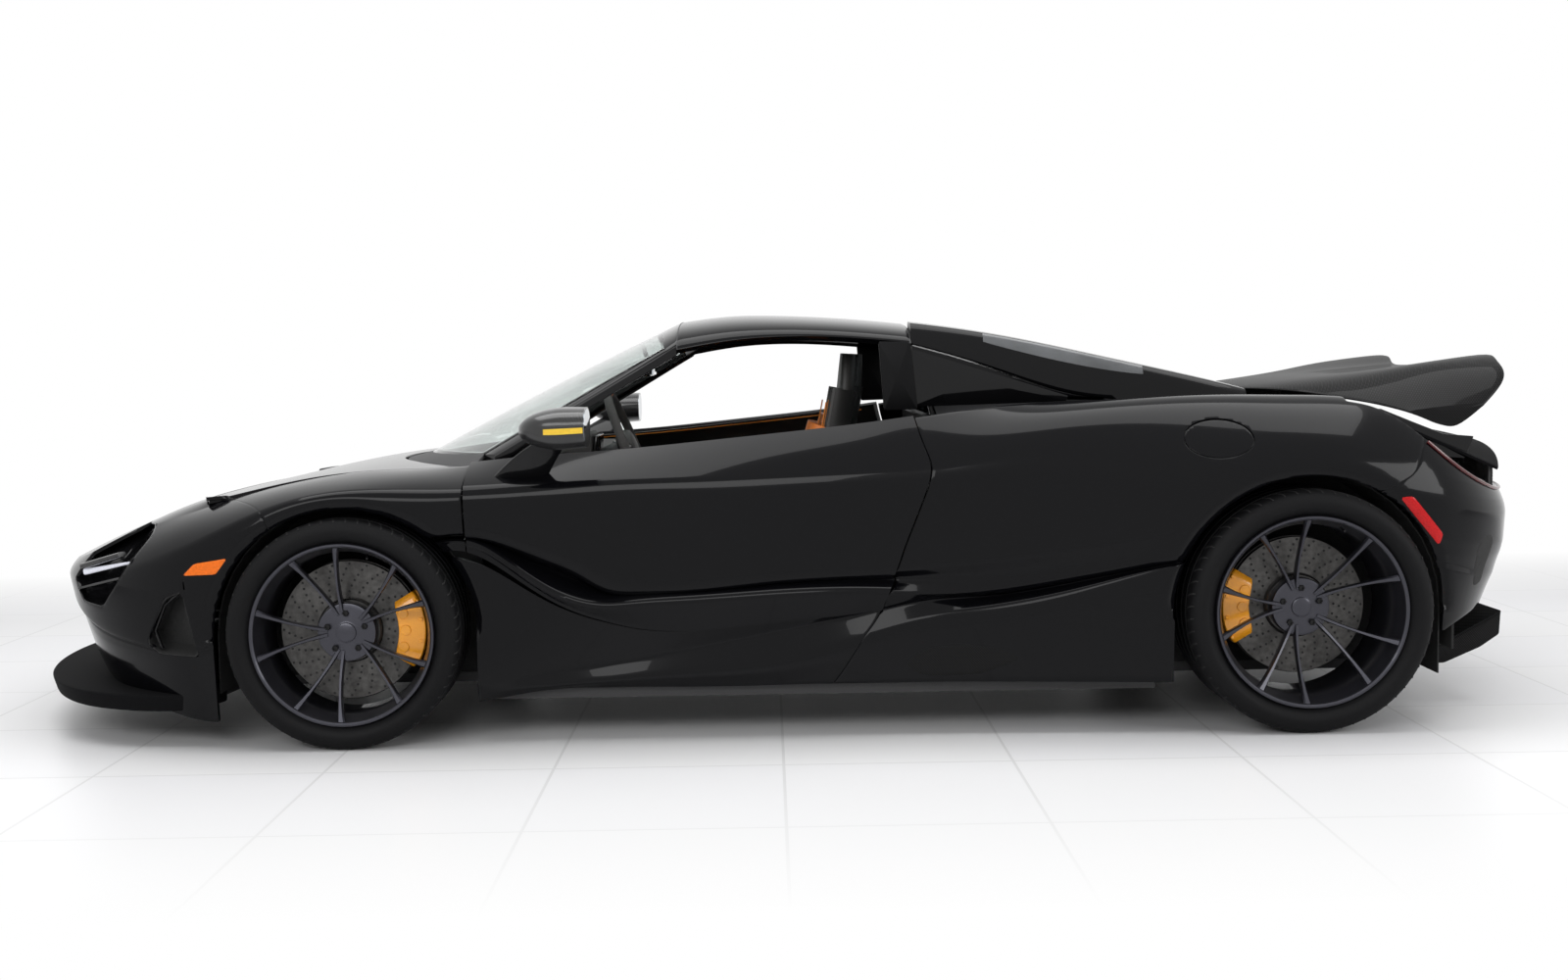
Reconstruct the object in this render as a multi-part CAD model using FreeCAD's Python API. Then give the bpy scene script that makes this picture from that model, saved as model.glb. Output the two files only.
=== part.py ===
import FreeCAD, Part
import math
import os
from FreeCAD import Vector

# Overall sizes in millimetres. X points forward, Y to the left, Z up, and the origin
# lies on the floor under the middle of the car.
LENGTH = 4569.0
WIDTH = 1930.0
HEIGHT = 1196.0
WHEELBASE = 2670.0
FRONT_OVERHANG = 1080.0
FRONT_TRACK = 1680.0
REAR_TRACK = 1629.0

# Wheels and brakes
FRONT_TYRE_RADIUS = 320.0
FRONT_TYRE_WIDTH = 236.0
FRONT_RIM_RADIUS = 256.0
REAR_TYRE_RADIUS = 339.0
REAR_TYRE_WIDTH = 292.0
REAR_RIM_RADIUS = 270.0
RIM_WALL = 9.0
SPOKE_COUNT = 10
HUB_RADIUS = 82.0
FRONT_DISH = 60.0
REAR_DISH = 112.0
DISC_RADIUS = 195.0
DISC_THICKNESS = 34.0
CALIPER_WIDTH = 96.0
PAD_GAP = 3.0
SPINDLE_RADIUS = 24.0
BEARING_GAP = 0.05

# Wheel arches
FRONT_ARCH_RADIUS = 362.0
FRONT_ARCH_HEIGHT = 305.0
REAR_ARCH_RADIUS = 380.0
REAR_ARCH_HEIGHT = 337.0
ARCH_LIP = 34.0
ARCH_ROLL = 16.0
PLAN_FLAT_SHARE = 0.83

# Panels
SKIN = 9.0
SHUT_GAP = 5.0
DOOR_THICKNESS = 84.0
DOOR_BELT_THICKNESS = 45.0
DOOR_BEVEL = 12.0
DECK_INSET = 5.5
SILL_SEAM = 3.6
SEAT_GAP = 0.3
BAR_SIDES = 8

HALF_LENGTH = LENGTH / 2
HALF_WIDTH = WIDTH / 2
FRONT_AXLE = HALF_LENGTH - FRONT_OVERHANG
REAR_AXLE = FRONT_AXLE - WHEELBASE


# Outline of the body seen from above, as rows of station, X and Y, and then the body
# lines as rows of station, inset from that outline and height. All are shares of the
# half length, half width and height. Stations run past the half length at nose and tail.
PLAN_SHARES = [
    (1.138, 0.972, 0.000), (1.051, 0.957, 0.307), (0.963, 0.917, 0.568), (0.875, 0.856, 0.772),
    (0.788, 0.777, 0.899), (0.700, 0.700, 0.959), (0.613, 0.613, 0.982), (0.525, 0.525, 0.991),
    (0.438, 0.438, 0.982), (0.350, 0.350, 0.966), (0.241, 0.241, 0.951), (0.109, 0.109, 0.945),
    (0.000, 0.000, 0.945), (-0.131, -0.131, 0.948), (-0.263, -0.263, 0.955), (-0.394, -0.394, 0.972),
    (-0.525, -0.525, 0.992), (-0.635, -0.635, 1.000), (-0.744, -0.744, 0.987), (-0.832, -0.832, 0.924),
    (-0.919, -0.918, 0.715), (-1.029, -0.975, 0.342), (-1.138, -1.000, 0.000),
]
CREST_SHARES = [
    (1.138, 0.019, 0.398), (1.051, 0.021, 0.403), (0.963, 0.044, 0.425), (0.875, 0.112, 0.483),
    (0.788, 0.187, 0.535), (0.700, 0.233, 0.572), (0.613, 0.257, 0.608), (0.525, 0.265, 0.630),
    (0.438, 0.259, 0.635), (0.372, 0.223, 0.642), (0.306, 0.181, 0.655), (0.219, 0.150, 0.666),
    (0.109, 0.132, 0.684), (0.000, 0.123, 0.704), (-0.109, 0.122, 0.726), (-0.188, 0.128, 0.746),
    (-0.263, 0.160, 0.763), (-0.350, 0.211, 0.773), (-0.438, 0.257, 0.773), (-0.525, 0.287, 0.769),
    (-0.635, 0.295, 0.763), (-0.744, 0.272, 0.746), (-0.832, 0.223, 0.702), (-0.919, 0.114, 0.652),
    (-1.029, 0.052, 0.627), (-1.138, 0.047, 0.623),
]
CROWN_SHARES = [
    (1.138, 0.005, 0.380), (1.051, 0.005, 0.383), (0.963, 0.012, 0.396), (0.875, 0.047, 0.433),
    (0.788, 0.070, 0.483), (0.700, 0.090, 0.532), (0.613, 0.104, 0.588), (0.525, 0.110, 0.615),
    (0.438, 0.110, 0.619), (0.372, 0.107, 0.617), (0.306, 0.098, 0.623), (0.219, 0.082, 0.631),
    (0.109, 0.068, 0.640), (0.000, 0.062, 0.652), (-0.109, 0.060, 0.664), (-0.188, 0.059, 0.674),
    (-0.263, 0.062, 0.694), (-0.350, 0.083, 0.726), (-0.438, 0.112, 0.750), (-0.525, 0.140, 0.763),
    (-0.635, 0.150, 0.765), (-0.744, 0.139, 0.746), (-0.832, 0.098, 0.686), (-0.919, 0.078, 0.623),
    (-1.029, 0.052, 0.589), (-1.138, 0.052, 0.585),
]
SHOULDER_SHARES = [
    (1.138, 0.000, 0.365), (1.051, 0.000, 0.366), (0.963, 0.000, 0.371), (0.875, 0.000, 0.380),
    (0.788, 0.000, 0.411), (0.700, 0.000, 0.470), (0.613, 0.000, 0.548), (0.525, 0.000, 0.590),
    (0.438, 0.005, 0.587), (0.372, 0.018, 0.586), (0.306, 0.024, 0.589), (0.219, 0.021, 0.593),
    (0.109, 0.017, 0.594), (0.000, 0.017, 0.594), (-0.109, 0.018, 0.598), (-0.188, 0.018, 0.601),
    (-0.263, 0.018, 0.605), (-0.350, 0.015, 0.605), (-0.438, 0.006, 0.606), (-0.525, 0.000, 0.617),
    (-0.635, 0.000, 0.633), (-0.744, 0.000, 0.595), (-0.832, 0.000, 0.535), (-0.919, 0.000, 0.512),
    (-1.029, 0.000, 0.502), (-1.138, 0.000, 0.498),
]
CHANNEL_TOP_SHARES = [
    (1.138, 0.015, 0.331), (1.051, 0.015, 0.328), (0.963, 0.012, 0.311), (0.875, 0.010, 0.272),
    (0.788, 0.006, 0.242), (0.700, 0.008, 0.242), (0.613, 0.019, 0.351), (0.525, 0.019, 0.452),
    (0.420, 0.021, 0.487), (0.372, 0.031, 0.492), (0.322, 0.039, 0.465), (0.280, 0.041, 0.432),
    (0.241, 0.044, 0.395), (0.214, 0.044, 0.360), (0.175, 0.039, 0.345), (0.109, 0.025, 0.354),
    (0.000, 0.021, 0.377), (-0.123, 0.021, 0.390), (-0.241, 0.017, 0.409), (-0.359, 0.012, 0.439),
    (-0.438, 0.008, 0.462), (-0.525, 0.006, 0.493), (-0.635, 0.006, 0.502), (-0.744, 0.005, 0.477),
    (-0.832, 0.005, 0.435), (-0.919, 0.006, 0.418), (-1.029, 0.012, 0.414), (-1.138, 0.017, 0.411),
]
CHANNEL_IN_SHARES = [
    (1.138, 0.041, 0.322), (1.051, 0.041, 0.318), (0.963, 0.031, 0.303), (0.875, 0.023, 0.266),
    (0.788, 0.015, 0.238), (0.700, 0.015, 0.234), (0.613, 0.025, 0.318), (0.525, 0.025, 0.401),
    (0.420, 0.078, 0.481), (0.372, 0.098, 0.483), (0.322, 0.104, 0.443), (0.280, 0.104, 0.401),
    (0.241, 0.104, 0.368), (0.214, 0.098, 0.347), (0.175, 0.083, 0.339), (0.109, 0.064, 0.344),
    (0.000, 0.052, 0.361), (-0.123, 0.047, 0.368), (-0.241, 0.041, 0.376), (-0.359, 0.031, 0.401),
    (-0.438, 0.017, 0.426), (-0.525, 0.010, 0.460), (-0.635, 0.010, 0.468), (-0.744, 0.008, 0.452),
    (-0.832, 0.008, 0.418), (-0.919, 0.012, 0.393), (-1.029, 0.023, 0.389), (-1.138, 0.027, 0.386),
]
BLADE_SHARES = [
    (1.138, 0.033, 0.311), (1.051, 0.033, 0.308), (0.963, 0.029, 0.294), (0.875, 0.021, 0.258),
    (0.788, 0.012, 0.232), (0.700, 0.012, 0.226), (0.613, 0.029, 0.284), (0.525, 0.029, 0.360),
    (0.420, 0.041, 0.468), (0.372, 0.039, 0.472), (0.322, 0.031, 0.416), (0.280, 0.021, 0.361),
    (0.241, 0.010, 0.331), (0.214, 0.004, 0.324), (0.175, 0.000, 0.329), (0.109, 0.000, 0.335),
    (0.000, 0.000, 0.345), (-0.123, 0.005, 0.344), (-0.188, 0.015, 0.336), (-0.241, 0.031, 0.339),
    (-0.359, 0.031, 0.372), (-0.438, 0.021, 0.401), (-0.525, 0.015, 0.435), (-0.635, 0.015, 0.443),
    (-0.744, 0.010, 0.426), (-0.832, 0.010, 0.401), (-0.919, 0.021, 0.372), (-1.029, 0.035, 0.368),
    (-1.138, 0.039, 0.365),
]
BLADE_LOW_SHARES = [
    (1.138, 0.041, 0.284), (1.051, 0.041, 0.283), (0.963, 0.037, 0.269), (0.875, 0.025, 0.238),
    (0.788, 0.015, 0.219), (0.700, 0.015, 0.209), (0.613, 0.031, 0.251), (0.525, 0.031, 0.318),
    (0.420, 0.046, 0.458), (0.372, 0.044, 0.465), (0.322, 0.039, 0.406), (0.280, 0.033, 0.349),
    (0.241, 0.029, 0.311), (0.214, 0.027, 0.293), (0.175, 0.025, 0.272), (0.109, 0.023, 0.261),
    (0.000, 0.023, 0.278), (-0.123, 0.027, 0.305), (-0.188, 0.031, 0.329), (-0.241, 0.044, 0.331),
    (-0.359, 0.039, 0.364), (-0.438, 0.027, 0.393), (-0.525, 0.019, 0.422), (-0.635, 0.017, 0.431),
    (-0.744, 0.012, 0.418), (-0.832, 0.012, 0.393), (-0.919, 0.025, 0.360), (-1.029, 0.041, 0.355),
    (-1.138, 0.046, 0.351),
]
SILL_TOP_SHARES = [
    (1.138, 0.073, 0.217), (1.051, 0.070, 0.216), (0.963, 0.060, 0.205), (0.875, 0.044, 0.188),
    (0.788, 0.027, 0.180), (0.700, 0.021, 0.171), (0.613, 0.037, 0.184), (0.525, 0.041, 0.209),
    (0.420, 0.041, 0.167), (0.372, 0.041, 0.140), (0.322, 0.044, 0.151), (0.233, 0.044, 0.175),
    (0.115, 0.041, 0.212), (0.000, 0.041, 0.253), (-0.123, 0.039, 0.298), (-0.188, 0.044, 0.319),
    (-0.241, 0.062, 0.322), (-0.359, 0.054, 0.355), (-0.438, 0.037, 0.386), (-0.525, 0.025, 0.411),
    (-0.635, 0.021, 0.418), (-0.744, 0.015, 0.410), (-0.832, 0.015, 0.380), (-0.919, 0.031, 0.339),
    (-1.029, 0.057, 0.334), (-1.138, 0.062, 0.330),
]
SILL_EDGE_SHARES = [
    (1.138, 0.104, 0.159), (1.051, 0.102, 0.157), (0.963, 0.087, 0.151), (0.875, 0.064, 0.138),
    (0.788, 0.041, 0.117), (0.700, 0.031, 0.100), (0.613, 0.041, 0.100), (0.525, 0.047, 0.109),
    (0.420, 0.047, 0.117), (0.372, 0.047, 0.121), (0.233, 0.031, 0.138), (0.114, 0.023, 0.152),
    (0.000, 0.021, 0.171), (-0.098, 0.017, 0.224), (-0.133, 0.015, 0.248), (-0.239, 0.012, 0.297),
    (-0.357, 0.008, 0.341), (-0.475, 0.004, 0.395), (-0.525, 0.004, 0.403), (-0.635, 0.006, 0.401),
    (-0.744, 0.008, 0.393), (-0.832, 0.010, 0.360), (-0.919, 0.041, 0.318), (-1.029, 0.073, 0.309),
    (-1.138, 0.078, 0.305),
]
SILL_BOTTOM_SHARES = [
    (1.138, 0.124, 0.144), (1.051, 0.122, 0.142), (0.963, 0.104, 0.136), (0.875, 0.077, 0.120),
    (0.788, 0.052, 0.092), (0.700, 0.037, 0.065), (0.613, 0.047, 0.067), (0.525, 0.052, 0.075),
    (0.420, 0.052, 0.094), (0.372, 0.052, 0.099), (0.306, 0.052, 0.117), (0.164, 0.046, 0.125),
    (0.044, 0.041, 0.124), (-0.062, 0.037, 0.128), (-0.241, 0.035, 0.127), (-0.481, 0.031, 0.123),
    (-0.569, 0.031, 0.123), (-0.657, 0.031, 0.134), (-0.744, 0.031, 0.167), (-0.832, 0.031, 0.242),
    (-0.919, 0.062, 0.272), (-1.029, 0.093, 0.276), (-1.138, 0.098, 0.276),
]

DOOR_FRONT_SHARES = [(0, 0.376), (1, 0.379), (2, 0.380), (3, 0.379), (4.5, 0.378), (6, 0.377)]
DOOR_REAR_SHARES = [
    (0, -0.167), (1, -0.178), (2, -0.181), (3, -0.143), (4, -0.140), (5, -0.133), (6, -0.125),
    (7, -0.122), (8, -0.095), (9, -0.063),
]
BUMPER_SHUT_SHARES = [(0, 0.700), (1, 0.649), (1.5, 0.630), (2, 0.616), (3, 0.600), (9, 0.500)]
QUARTER_SHUT_SHARES = [
    (0, -0.866), (1, -0.815), (1.4, -0.794), (2, -0.760), (2.4, -0.722), (3, -0.690), (9, -0.600),
]
TAIL_CUT_SHARES = [
    (-0.700, 0.765), (-0.735, 0.748), (-0.781, 0.688), (-0.806, 0.647), (-0.831, 0.612), (-0.873, 0.570),
    (-0.904, 0.551), (-0.940, 0.545), (-1.000, 0.542), (-1.030, 0.542),
]

# Ends of the body lines, and levels past them
NOSE_END = PLAN_SHARES[0][0] * HALF_LENGTH
TAIL_END = PLAN_SHARES[-1][0] * HALF_LENGTH
NOSE_TOP = -1
NOSE_BULGE = 14.0
LID_FRONT = 1725.0
LID_CORNER = 95.0
LID_BOW = 9.0
LID_BEVEL = 14.0
COWL_CENTRE = 1192.0
COWL_CORNER = 884.0
REAR_ARCH_BREAK = -1640.0

# Glasshouse
GLASS = 5.0
SCREEN_SETBACK = 34.0
SCREEN_BASE_HALF = 664.0
SCREEN_BASE_HEIGHT = HEIGHT * 0.62876
SCREEN_RISE = 24.0
SCREEN_BULGE = 10.0
SCREEN_TOP_SHARE = 0.92
SCREEN_EDGE = 0.06
SCREEN_SIDE = 0.93
SCUTTLE_STEP = 4.0
SCUTTLE_DEPTH = 14.0
SCUTTLE_SHARE = 0.94
PILLAR_DEPTH = 36.0
ROOF_FRONT = 290.0
ROOF_REAR = -388.0
ROOF_HALF = 612.0
ROOF_TAPER = 0.004
ROOF_POWER = 2.7
ROOF_SWEEP = math.radians(84.0)
ROOF_DEPTH = 30.0
ROOF_LINE_SHARES = [
    (0.135, 0.982), (0.055, 0.999), (0.010, 0.999), (-0.080, 0.990), (-0.170, 0.973), (-0.290, 0.938),
    (-0.430, 0.880), (-0.570, 0.818), (-0.640, 0.784),
]
RAIL_LINE_SHARES = [(0.135, 0.890), (0.050, 0.918), (-0.050, 0.926), (-0.140, 0.914), (-0.180, 0.906)]
BUTTRESS_SHARES = [
    (-0.172, 0.915, 0.9965, 0.7884), (-0.260, 0.865, 0.9902, 0.7726), (-0.385, 0.785, 0.9618, 0.7411),
    (-0.500, 0.770, 0.9303, 0.7096), (-0.610, 0.762, 0.8988, 0.6780),
]
BUTTRESS_LEAN = 16.0
BUTTRESS_ROUND = 14.0
BUTTRESS_LANDING = -1000.0
DECK_FRONT = -520.0
DECK_REAR = -1690.0
DECK_DROP = 30.0
TAIL_EDGE_X = -2225.0
TAIL_EDGE_BACK = 150.0
TAIL_EDGE_HALF = 700.0
TAIL_EDGE_HEIGHT = HEIGHT * 0.64799
TAIL_EDGE_FALL = 60.0
TAIL_BULGE = 12.0
MESH_SETBACK = 20.0
MESH_BOTTOM = HEIGHT * 0.55184
MESH_DEPTH = 8.0
MESH_SHARE = 0.96

# Wheel details
TYRE_SEAT_SHARE = 0.86
TYRE_SHARES = [(0.0, 0.86), (0.35, 1.0), (0.85, 0.93), (1.0, 0.78)]
TYRE_SIDES = 48
RIM_SIDES = 40
DISC_SIDES = 24
HUB_SIDES = 16
RIM_DROP = 22.0
RIM_STEP = 40.0
HUB_DEPTH = 34.0
HUB_CAP = 10.0
HAT_CLEARANCE = 4.0
SPOKE_ROOT = 0.20
SPOKE_TIP = 0.26
SPOKE_WIDTH = 22.0
SPOKE_DEPTH = 26.0
SPOKE_BOW = 6.0
SPOKE_WAIST = 0.8
HAT_RADIUS = 90.0
HAT_WALL = 8.0
HAT_DEPTH = 34.0
CALIPER_CROWN = 21.0
CALIPER_ARC = math.radians(62.0)
PAD_SHARE = 0.72
BRACKET_LAP = 14.0
BRACKET_HALF = 26.0
KNUCKLE_DEPTH = 36.0
KNUCKLE_HALF = 34.0
KNUCKLE_REACH = 120.0
STEER_INSET = -60.0
ARM_SPREAD = 130.0
ARM_WIDTH = 34.0
ARM_THICKNESS = 18.0

# Tub and floor
TUB_WALL = 30.0
TUB_HALF = 725.0
TUB_SILL_INNER = 610.0
CABIN_FRONT = 834.0
CABIN_REAR = -470.0
FLOOR_TOP = 146.0
FLOOR_BOTTOM = 118.0
CABIN_FLOOR = (FLOOR_TOP + TUB_WALL + SEAT_GAP) / HEIGHT
DASH_FRONT = (CABIN_FRONT - TUB_WALL - SEAT_GAP) / HALF_LENGTH
FOOT_FRONT = 1050.0
FOOT_HALF = 545.0
FOOT_TOP = HEIGHT * 0.57692
PILLAR_TOP = HEIGHT * 0.57692
BULKHEAD_TOP = HEIGHT * 0.72408
TUB_SILL_SHARES = [
    (0.361, 0.125), (0.361, 0.440), (0.300, 0.350), (0.220, 0.270), (0.080, 0.240), (-0.080, 0.255),
    (-0.200, 0.310), (-0.200, 0.125),
]
FLOOR_SHARES = [
    (0.700, 0.750), (0.690, 0.590), (0.365, 0.590), (0.350, 0.880), (-0.460, 0.880), (-0.474, 0.618),
    (-0.810, 0.618), (-0.820, 0.600), (-0.820, 0.0),
]
SPLITTER_END = 1690.0
SPLITTER_REACH = 63.5
SPLITTER_LIP = 14.0
SPLITTER_INSET = 200.0
SPLITTER_TOP = 150.0
SPLITTER_BOTTOM = 102.0
LINER_WALL = 4.0
LINER_SIDES = 18
LINER_GROWTH = 4.0
FRONT_LINER_INNER = 560.0
REAR_LINER_INNER = 590.0
LINER_OUTER = 846.0

# Door hinge: its pivot, axis and swan neck, as X and Y from the pivot
HINGE_X = 982.0
HINGE_Y = 904.0
HINGE_Z = HEIGHT * 0.55184
HINGE_SHARES = (-0.10, 0.42, -0.90)
HINGE_RADIUS = 11.0
HINGE_LENGTH = 26.0
HINGE_ARM_SHARE = 0.7
NECK_ROWS = [(0.0, 0.0), (-16.0, -89.0), (-62.0, -124.0), (-118.0, -60.0), (-142.0, -34.0)]

# Sockets in the front bumper, as X and height shares of their outlines seen from the side
LAMP_SOCKET_SHARES = [
    (0.8812, 0.439), (0.8107, 0.509), (0.7809, 0.513), (0.7761, 0.489), (0.8151, 0.377), (0.8400, 0.322),
    (0.8816, 0.326), (0.9018, 0.375),
]
SOCKET_INNER = 420.0
LAMP_FRONT = 3.0
LAMP_SETBACK = 30.0
LAMP_DEPTH = 44.0
LAMP_WALL = 7.0

# Fuel flap in the left haunch
FLAP_X = -1213.0
FLAP_Z = HEIGHT * 0.68562
FLAP_HALF_LENGTH = 97.5
FLAP_HALF_HEIGHT = 55.5
FLAP_INNER = 640.0
FLAP_SIDES = 20
FLAP_GAP = 6.0
FLAP_SKIN = 4.0
BOWL_LAP = 12.0
BOWL_GAP = 0.9
BOWL_DEPTH = 70.0

# Luggage tub, engine and diffuser
LUGGAGE_HALF = 430.0
LUGGAGE_FRONT = 1540.0
LUGGAGE_FLOOR = 260.0
LUGGAGE_TOP = HEIGHT * 0.55853
ENGINE_FRONT = -530.0
ENGINE_REAR = -1180.0
ENGINE_HALF = 280.0
ENGINE_TOP = HEIGHT * 0.53512
DIFFUSER_FRONT = -1873.0
DIFFUSER_REAR = -2210.0
DIFFUSER_RISE = 300.0
DIFFUSER_HALF = 575.0
FIN_COUNT = 7
FIN_THICKNESS = 8.0
FIN_DROP = 90.0

# Rear window and corner panels
WINDOW_SETBACK = 12.0
GLASS_FRONT = -400.0
GLASS_REAR = -850.0
GLASS_TOP_FRONT = HEIGHT * 0.89883
GLASS_INSET = 6.0
GLASS_Y = ROOF_HALF - GLASS_INSET

# Rear wing: sections as a share of the half width and corners as X and height shares
WING_SHARES = [
    (0.0, [
        (-0.610, 0.797), (-0.680, 0.812), (-0.800, 0.828), (-0.905, 0.842),
        (-0.905, 0.832), (-0.800, 0.806), (-0.680, 0.790), (-0.620, 0.788),
    ]),
    (0.26, [
        (-0.630, 0.794), (-0.700, 0.812), (-0.810, 0.832), (-0.912, 0.848),
        (-0.912, 0.838), (-0.810, 0.808), (-0.700, 0.788), (-0.640, 0.785),
    ]),
    (0.46, [
        (-0.685, 0.788), (-0.745, 0.815), (-0.835, 0.845), (-0.930, 0.868),
        (-0.930, 0.856), (-0.835, 0.818), (-0.745, 0.790), (-0.695, 0.780),
    ]),
    (0.58, [
        (-0.735, 0.772), (-0.785, 0.806), (-0.855, 0.838), (-0.925, 0.850),
        (-0.925, 0.836), (-0.855, 0.800), (-0.785, 0.770), (-0.745, 0.762),
    ]),
    (0.66, [
        (-0.775, 0.752), (-0.815, 0.775), (-0.865, 0.790), (-0.918, 0.800),
        (-0.912, 0.780), (-0.862, 0.735), (-0.825, 0.730), (-0.785, 0.742),
    ]),
    (0.70, [
        (-0.800, 0.735), (-0.825, 0.742), (-0.858, 0.748), (-0.892, 0.752),
        (-0.888, 0.738), (-0.860, 0.700), (-0.838, 0.702), (-0.810, 0.724),
    ]),
]
STRUT_SHARES = [(-0.684, 0.795), (-0.700, 0.795), (-0.735, 0.782)]
STRUT_FRONT = -1560.0
STRUT_REACH = 20.0
STRUT_Y = 300.0
STRUT_HALF = 12.0

# Cabin
SEAT_Y = 350.0
SEAT_HALF = 235.0
SEAT_WING = 46.0
SEAT_HOLLOW_X = -190.0
CUSHION_TOP = 330.0
HEAD_HALF = 140.0
SEAT_BACK_SHARES = [
    (-0.060, 0.200), (-0.133, 0.800), (-0.100, 0.800), (-0.060, 0.330), (0.020, 0.260), (0.020, 0.200),
]
SEAT_HEAD_SHARES = [(-0.132, 0.790), (-0.145, 0.900), (-0.115, 0.900), (-0.100, 0.790)]
CUSHION_SHARES = [
    (-0.100, CABIN_FLOOR), (-0.090, 0.300), (0.130, 0.320), (0.150, 0.270), (0.150, CABIN_FLOOR),
]
DASH_SHARES = [
    (DASH_FRONT, 0.500), (DASH_FRONT, 0.640), (0.250, 0.652), (0.215, 0.620), (0.230, 0.520), (0.300, 0.480),
]
DASH_HALF = 640.0
CONSOLE_SHARES = [
    (0.300, 0.480), (0.180, 0.420), (-0.080, 0.350), (-0.150, 0.380), (-0.150, CABIN_FLOOR),
    (0.300, CABIN_FLOOR),
]
CONSOLE_HALF = 75.0
COLUMN_ANGLE = math.radians(22.0)
COLUMN_LENGTH = 160.0
STEERING_X = 450.0
STEERING_Y = 350.0
STEERING_Z = HEIGHT * 0.66890
STEERING_RADIUS = 172.0
STEERING_GRIP = 14.0
STEERING_BOSS = 34.0
GRIP_SIDES = 6

# Mirrors
MIRROR_SHARES = [(0.0, 0.25), (0.25, 0.78), (0.6, 1.0), (1.0, 0.96)]
MIRROR_FRONT = 700.0
MIRROR_REAR = 516.0
MIRROR_Y = 982.0
MIRROR_Z = HEIGHT * 0.73746
MIRROR_HALF_WIDTH = 98.0
MIRROR_HALF_HEIGHT = 58.0
STALK_X = 720.0
STALK_LEVEL = 1.3
STALK_LENGTH = 110.0
STALK_HALF = 16.0
STALK_TOP_SHARE = 0.4
MIRROR_SIDES = 10


class Spline:
    """Natural cubic through rows of (station, value, ...), one curve for each value."""

    def __init__(self, rows):
        rows = sorted(rows)
        self.at = [row[0] for row in rows]
        self.curves = []
        for column in range(1, len(rows[0])):
            values = [row[column] for row in rows]
            self.curves.append((values, self.moments(values)))

    def moments(self, values):
        """Second derivatives at the stations, by the tridiagonal sweep."""
        count = len(values)
        upper = [0.0] * count
        right = [0.0] * count
        for i in range(1, count - 1):
            left_step = self.at[i] - self.at[i - 1]
            right_step = self.at[i + 1] - self.at[i]
            bend = (values[i + 1] - values[i]) / right_step
            bend -= (values[i] - values[i - 1]) / left_step
            pivot = 2 * (left_step + right_step) - left_step * upper[i - 1]
            upper[i] = right_step / pivot
            right[i] = (6 * bend - left_step * right[i - 1]) / pivot
        result = [0.0] * count
        for i in range(count - 2, 0, -1):
            result[i] = right[i] - upper[i] * result[i + 1]
        return result

    def __call__(self, station):
        """Values at a station."""
        last = len(self.at) - 2
        i = 0
        while i < last and station > self.at[i + 1]:
            i += 1
        step = self.at[i + 1] - self.at[i]
        b = (station - self.at[i]) / step
        a = 1 - b
        found = []
        for values, bends in self.curves:
            bow = (a ** 3 - a) * bends[i] + (b ** 3 - b) * bends[i + 1]
            found.append(a * values[i] + b * values[i + 1] + bow * step * step / 6)
        return found


def around(shares, scales, odd):
    """Spline of a body line, with the rows past each end mirrored in the centre plane."""
    rows = [tuple(part * scale for part, scale in zip(row, scales)) for row in shares]
    rows.sort()
    low, high = rows[0], rows[-1]
    extended = list(rows)
    for row in rows[1:4]:
        extended.append(mirrored(row, low[0], odd))
    for row in rows[-4:-1]:
        extended.append(mirrored(row, high[0], odd))
    return Spline(extended)


def mirrored(row, end, odd):
    """A row carried past an end of the line, where the values listed as odd change sign."""
    values = [-value if index in odd else value for index, value in enumerate(row)]
    values[0] = 2 * end - row[0]
    return tuple(values)


PLAN = around(PLAN_SHARES, (HALF_LENGTH, HALF_LENGTH, HALF_WIDTH), (2,))
LINE_SCALES = (HALF_LENGTH, HALF_WIDTH, HEIGHT)
LINES = [
    around(shares, LINE_SCALES, ())
    for shares in (
        CREST_SHARES,
        CROWN_SHARES,
        SHOULDER_SHARES,
        CHANNEL_TOP_SHARES,
        CHANNEL_IN_SHARES,
        BLADE_SHARES,
        BLADE_LOW_SHARES,
        SILL_TOP_SHARES,
        SILL_EDGE_SHARES,
        SILL_BOTTOM_SHARES,
    )
]
CREST, CROWN, SHOULDER, CHANNEL_TOP, CHANNEL_IN = range(5)
BLADE, BLADE_LOW, SILL_TOP, SILL_EDGE, SILL_BOTTOM = range(5, 10)
NUDGE = HALF_LENGTH / 2000
LEVEL_NUDGE = 0.02
TINY = SEAT_GAP / 1000


def plan(u):
    """Widest outline of the body seen from above, with its outward normal."""
    x, y = PLAN(u)
    ahead = PLAN(u + NUDGE)
    behind = PLAN(u - NUDGE)
    dx, dy = ahead[0] - behind[0], ahead[1] - behind[1]
    size = math.hypot(dx, dy)
    return x, y, -dy / size, dx / size


def on_line(index, u):
    """Point of one body line at station u."""
    x, y, nx, ny = plan(u)
    inset, z = LINES[index](u)
    return Vector(x - inset * nx, y - inset * ny, z)


def section(u, v):
    """Point of the body side at station u and level v, before the arches are rolled in."""
    if v <= SHOULDER:
        t = v - CROWN
        first, second, third = on_line(CREST, u), on_line(CROWN, u), on_line(SHOULDER, u)
        return second + (third - first) * (t / 2) + (first + third - second * 2) * (t * t / 2)
    index = min(int(v), SILL_EDGE)
    first, second = on_line(index, u), on_line(index + 1, u)
    return first + (second - first) * (v - index)


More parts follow.
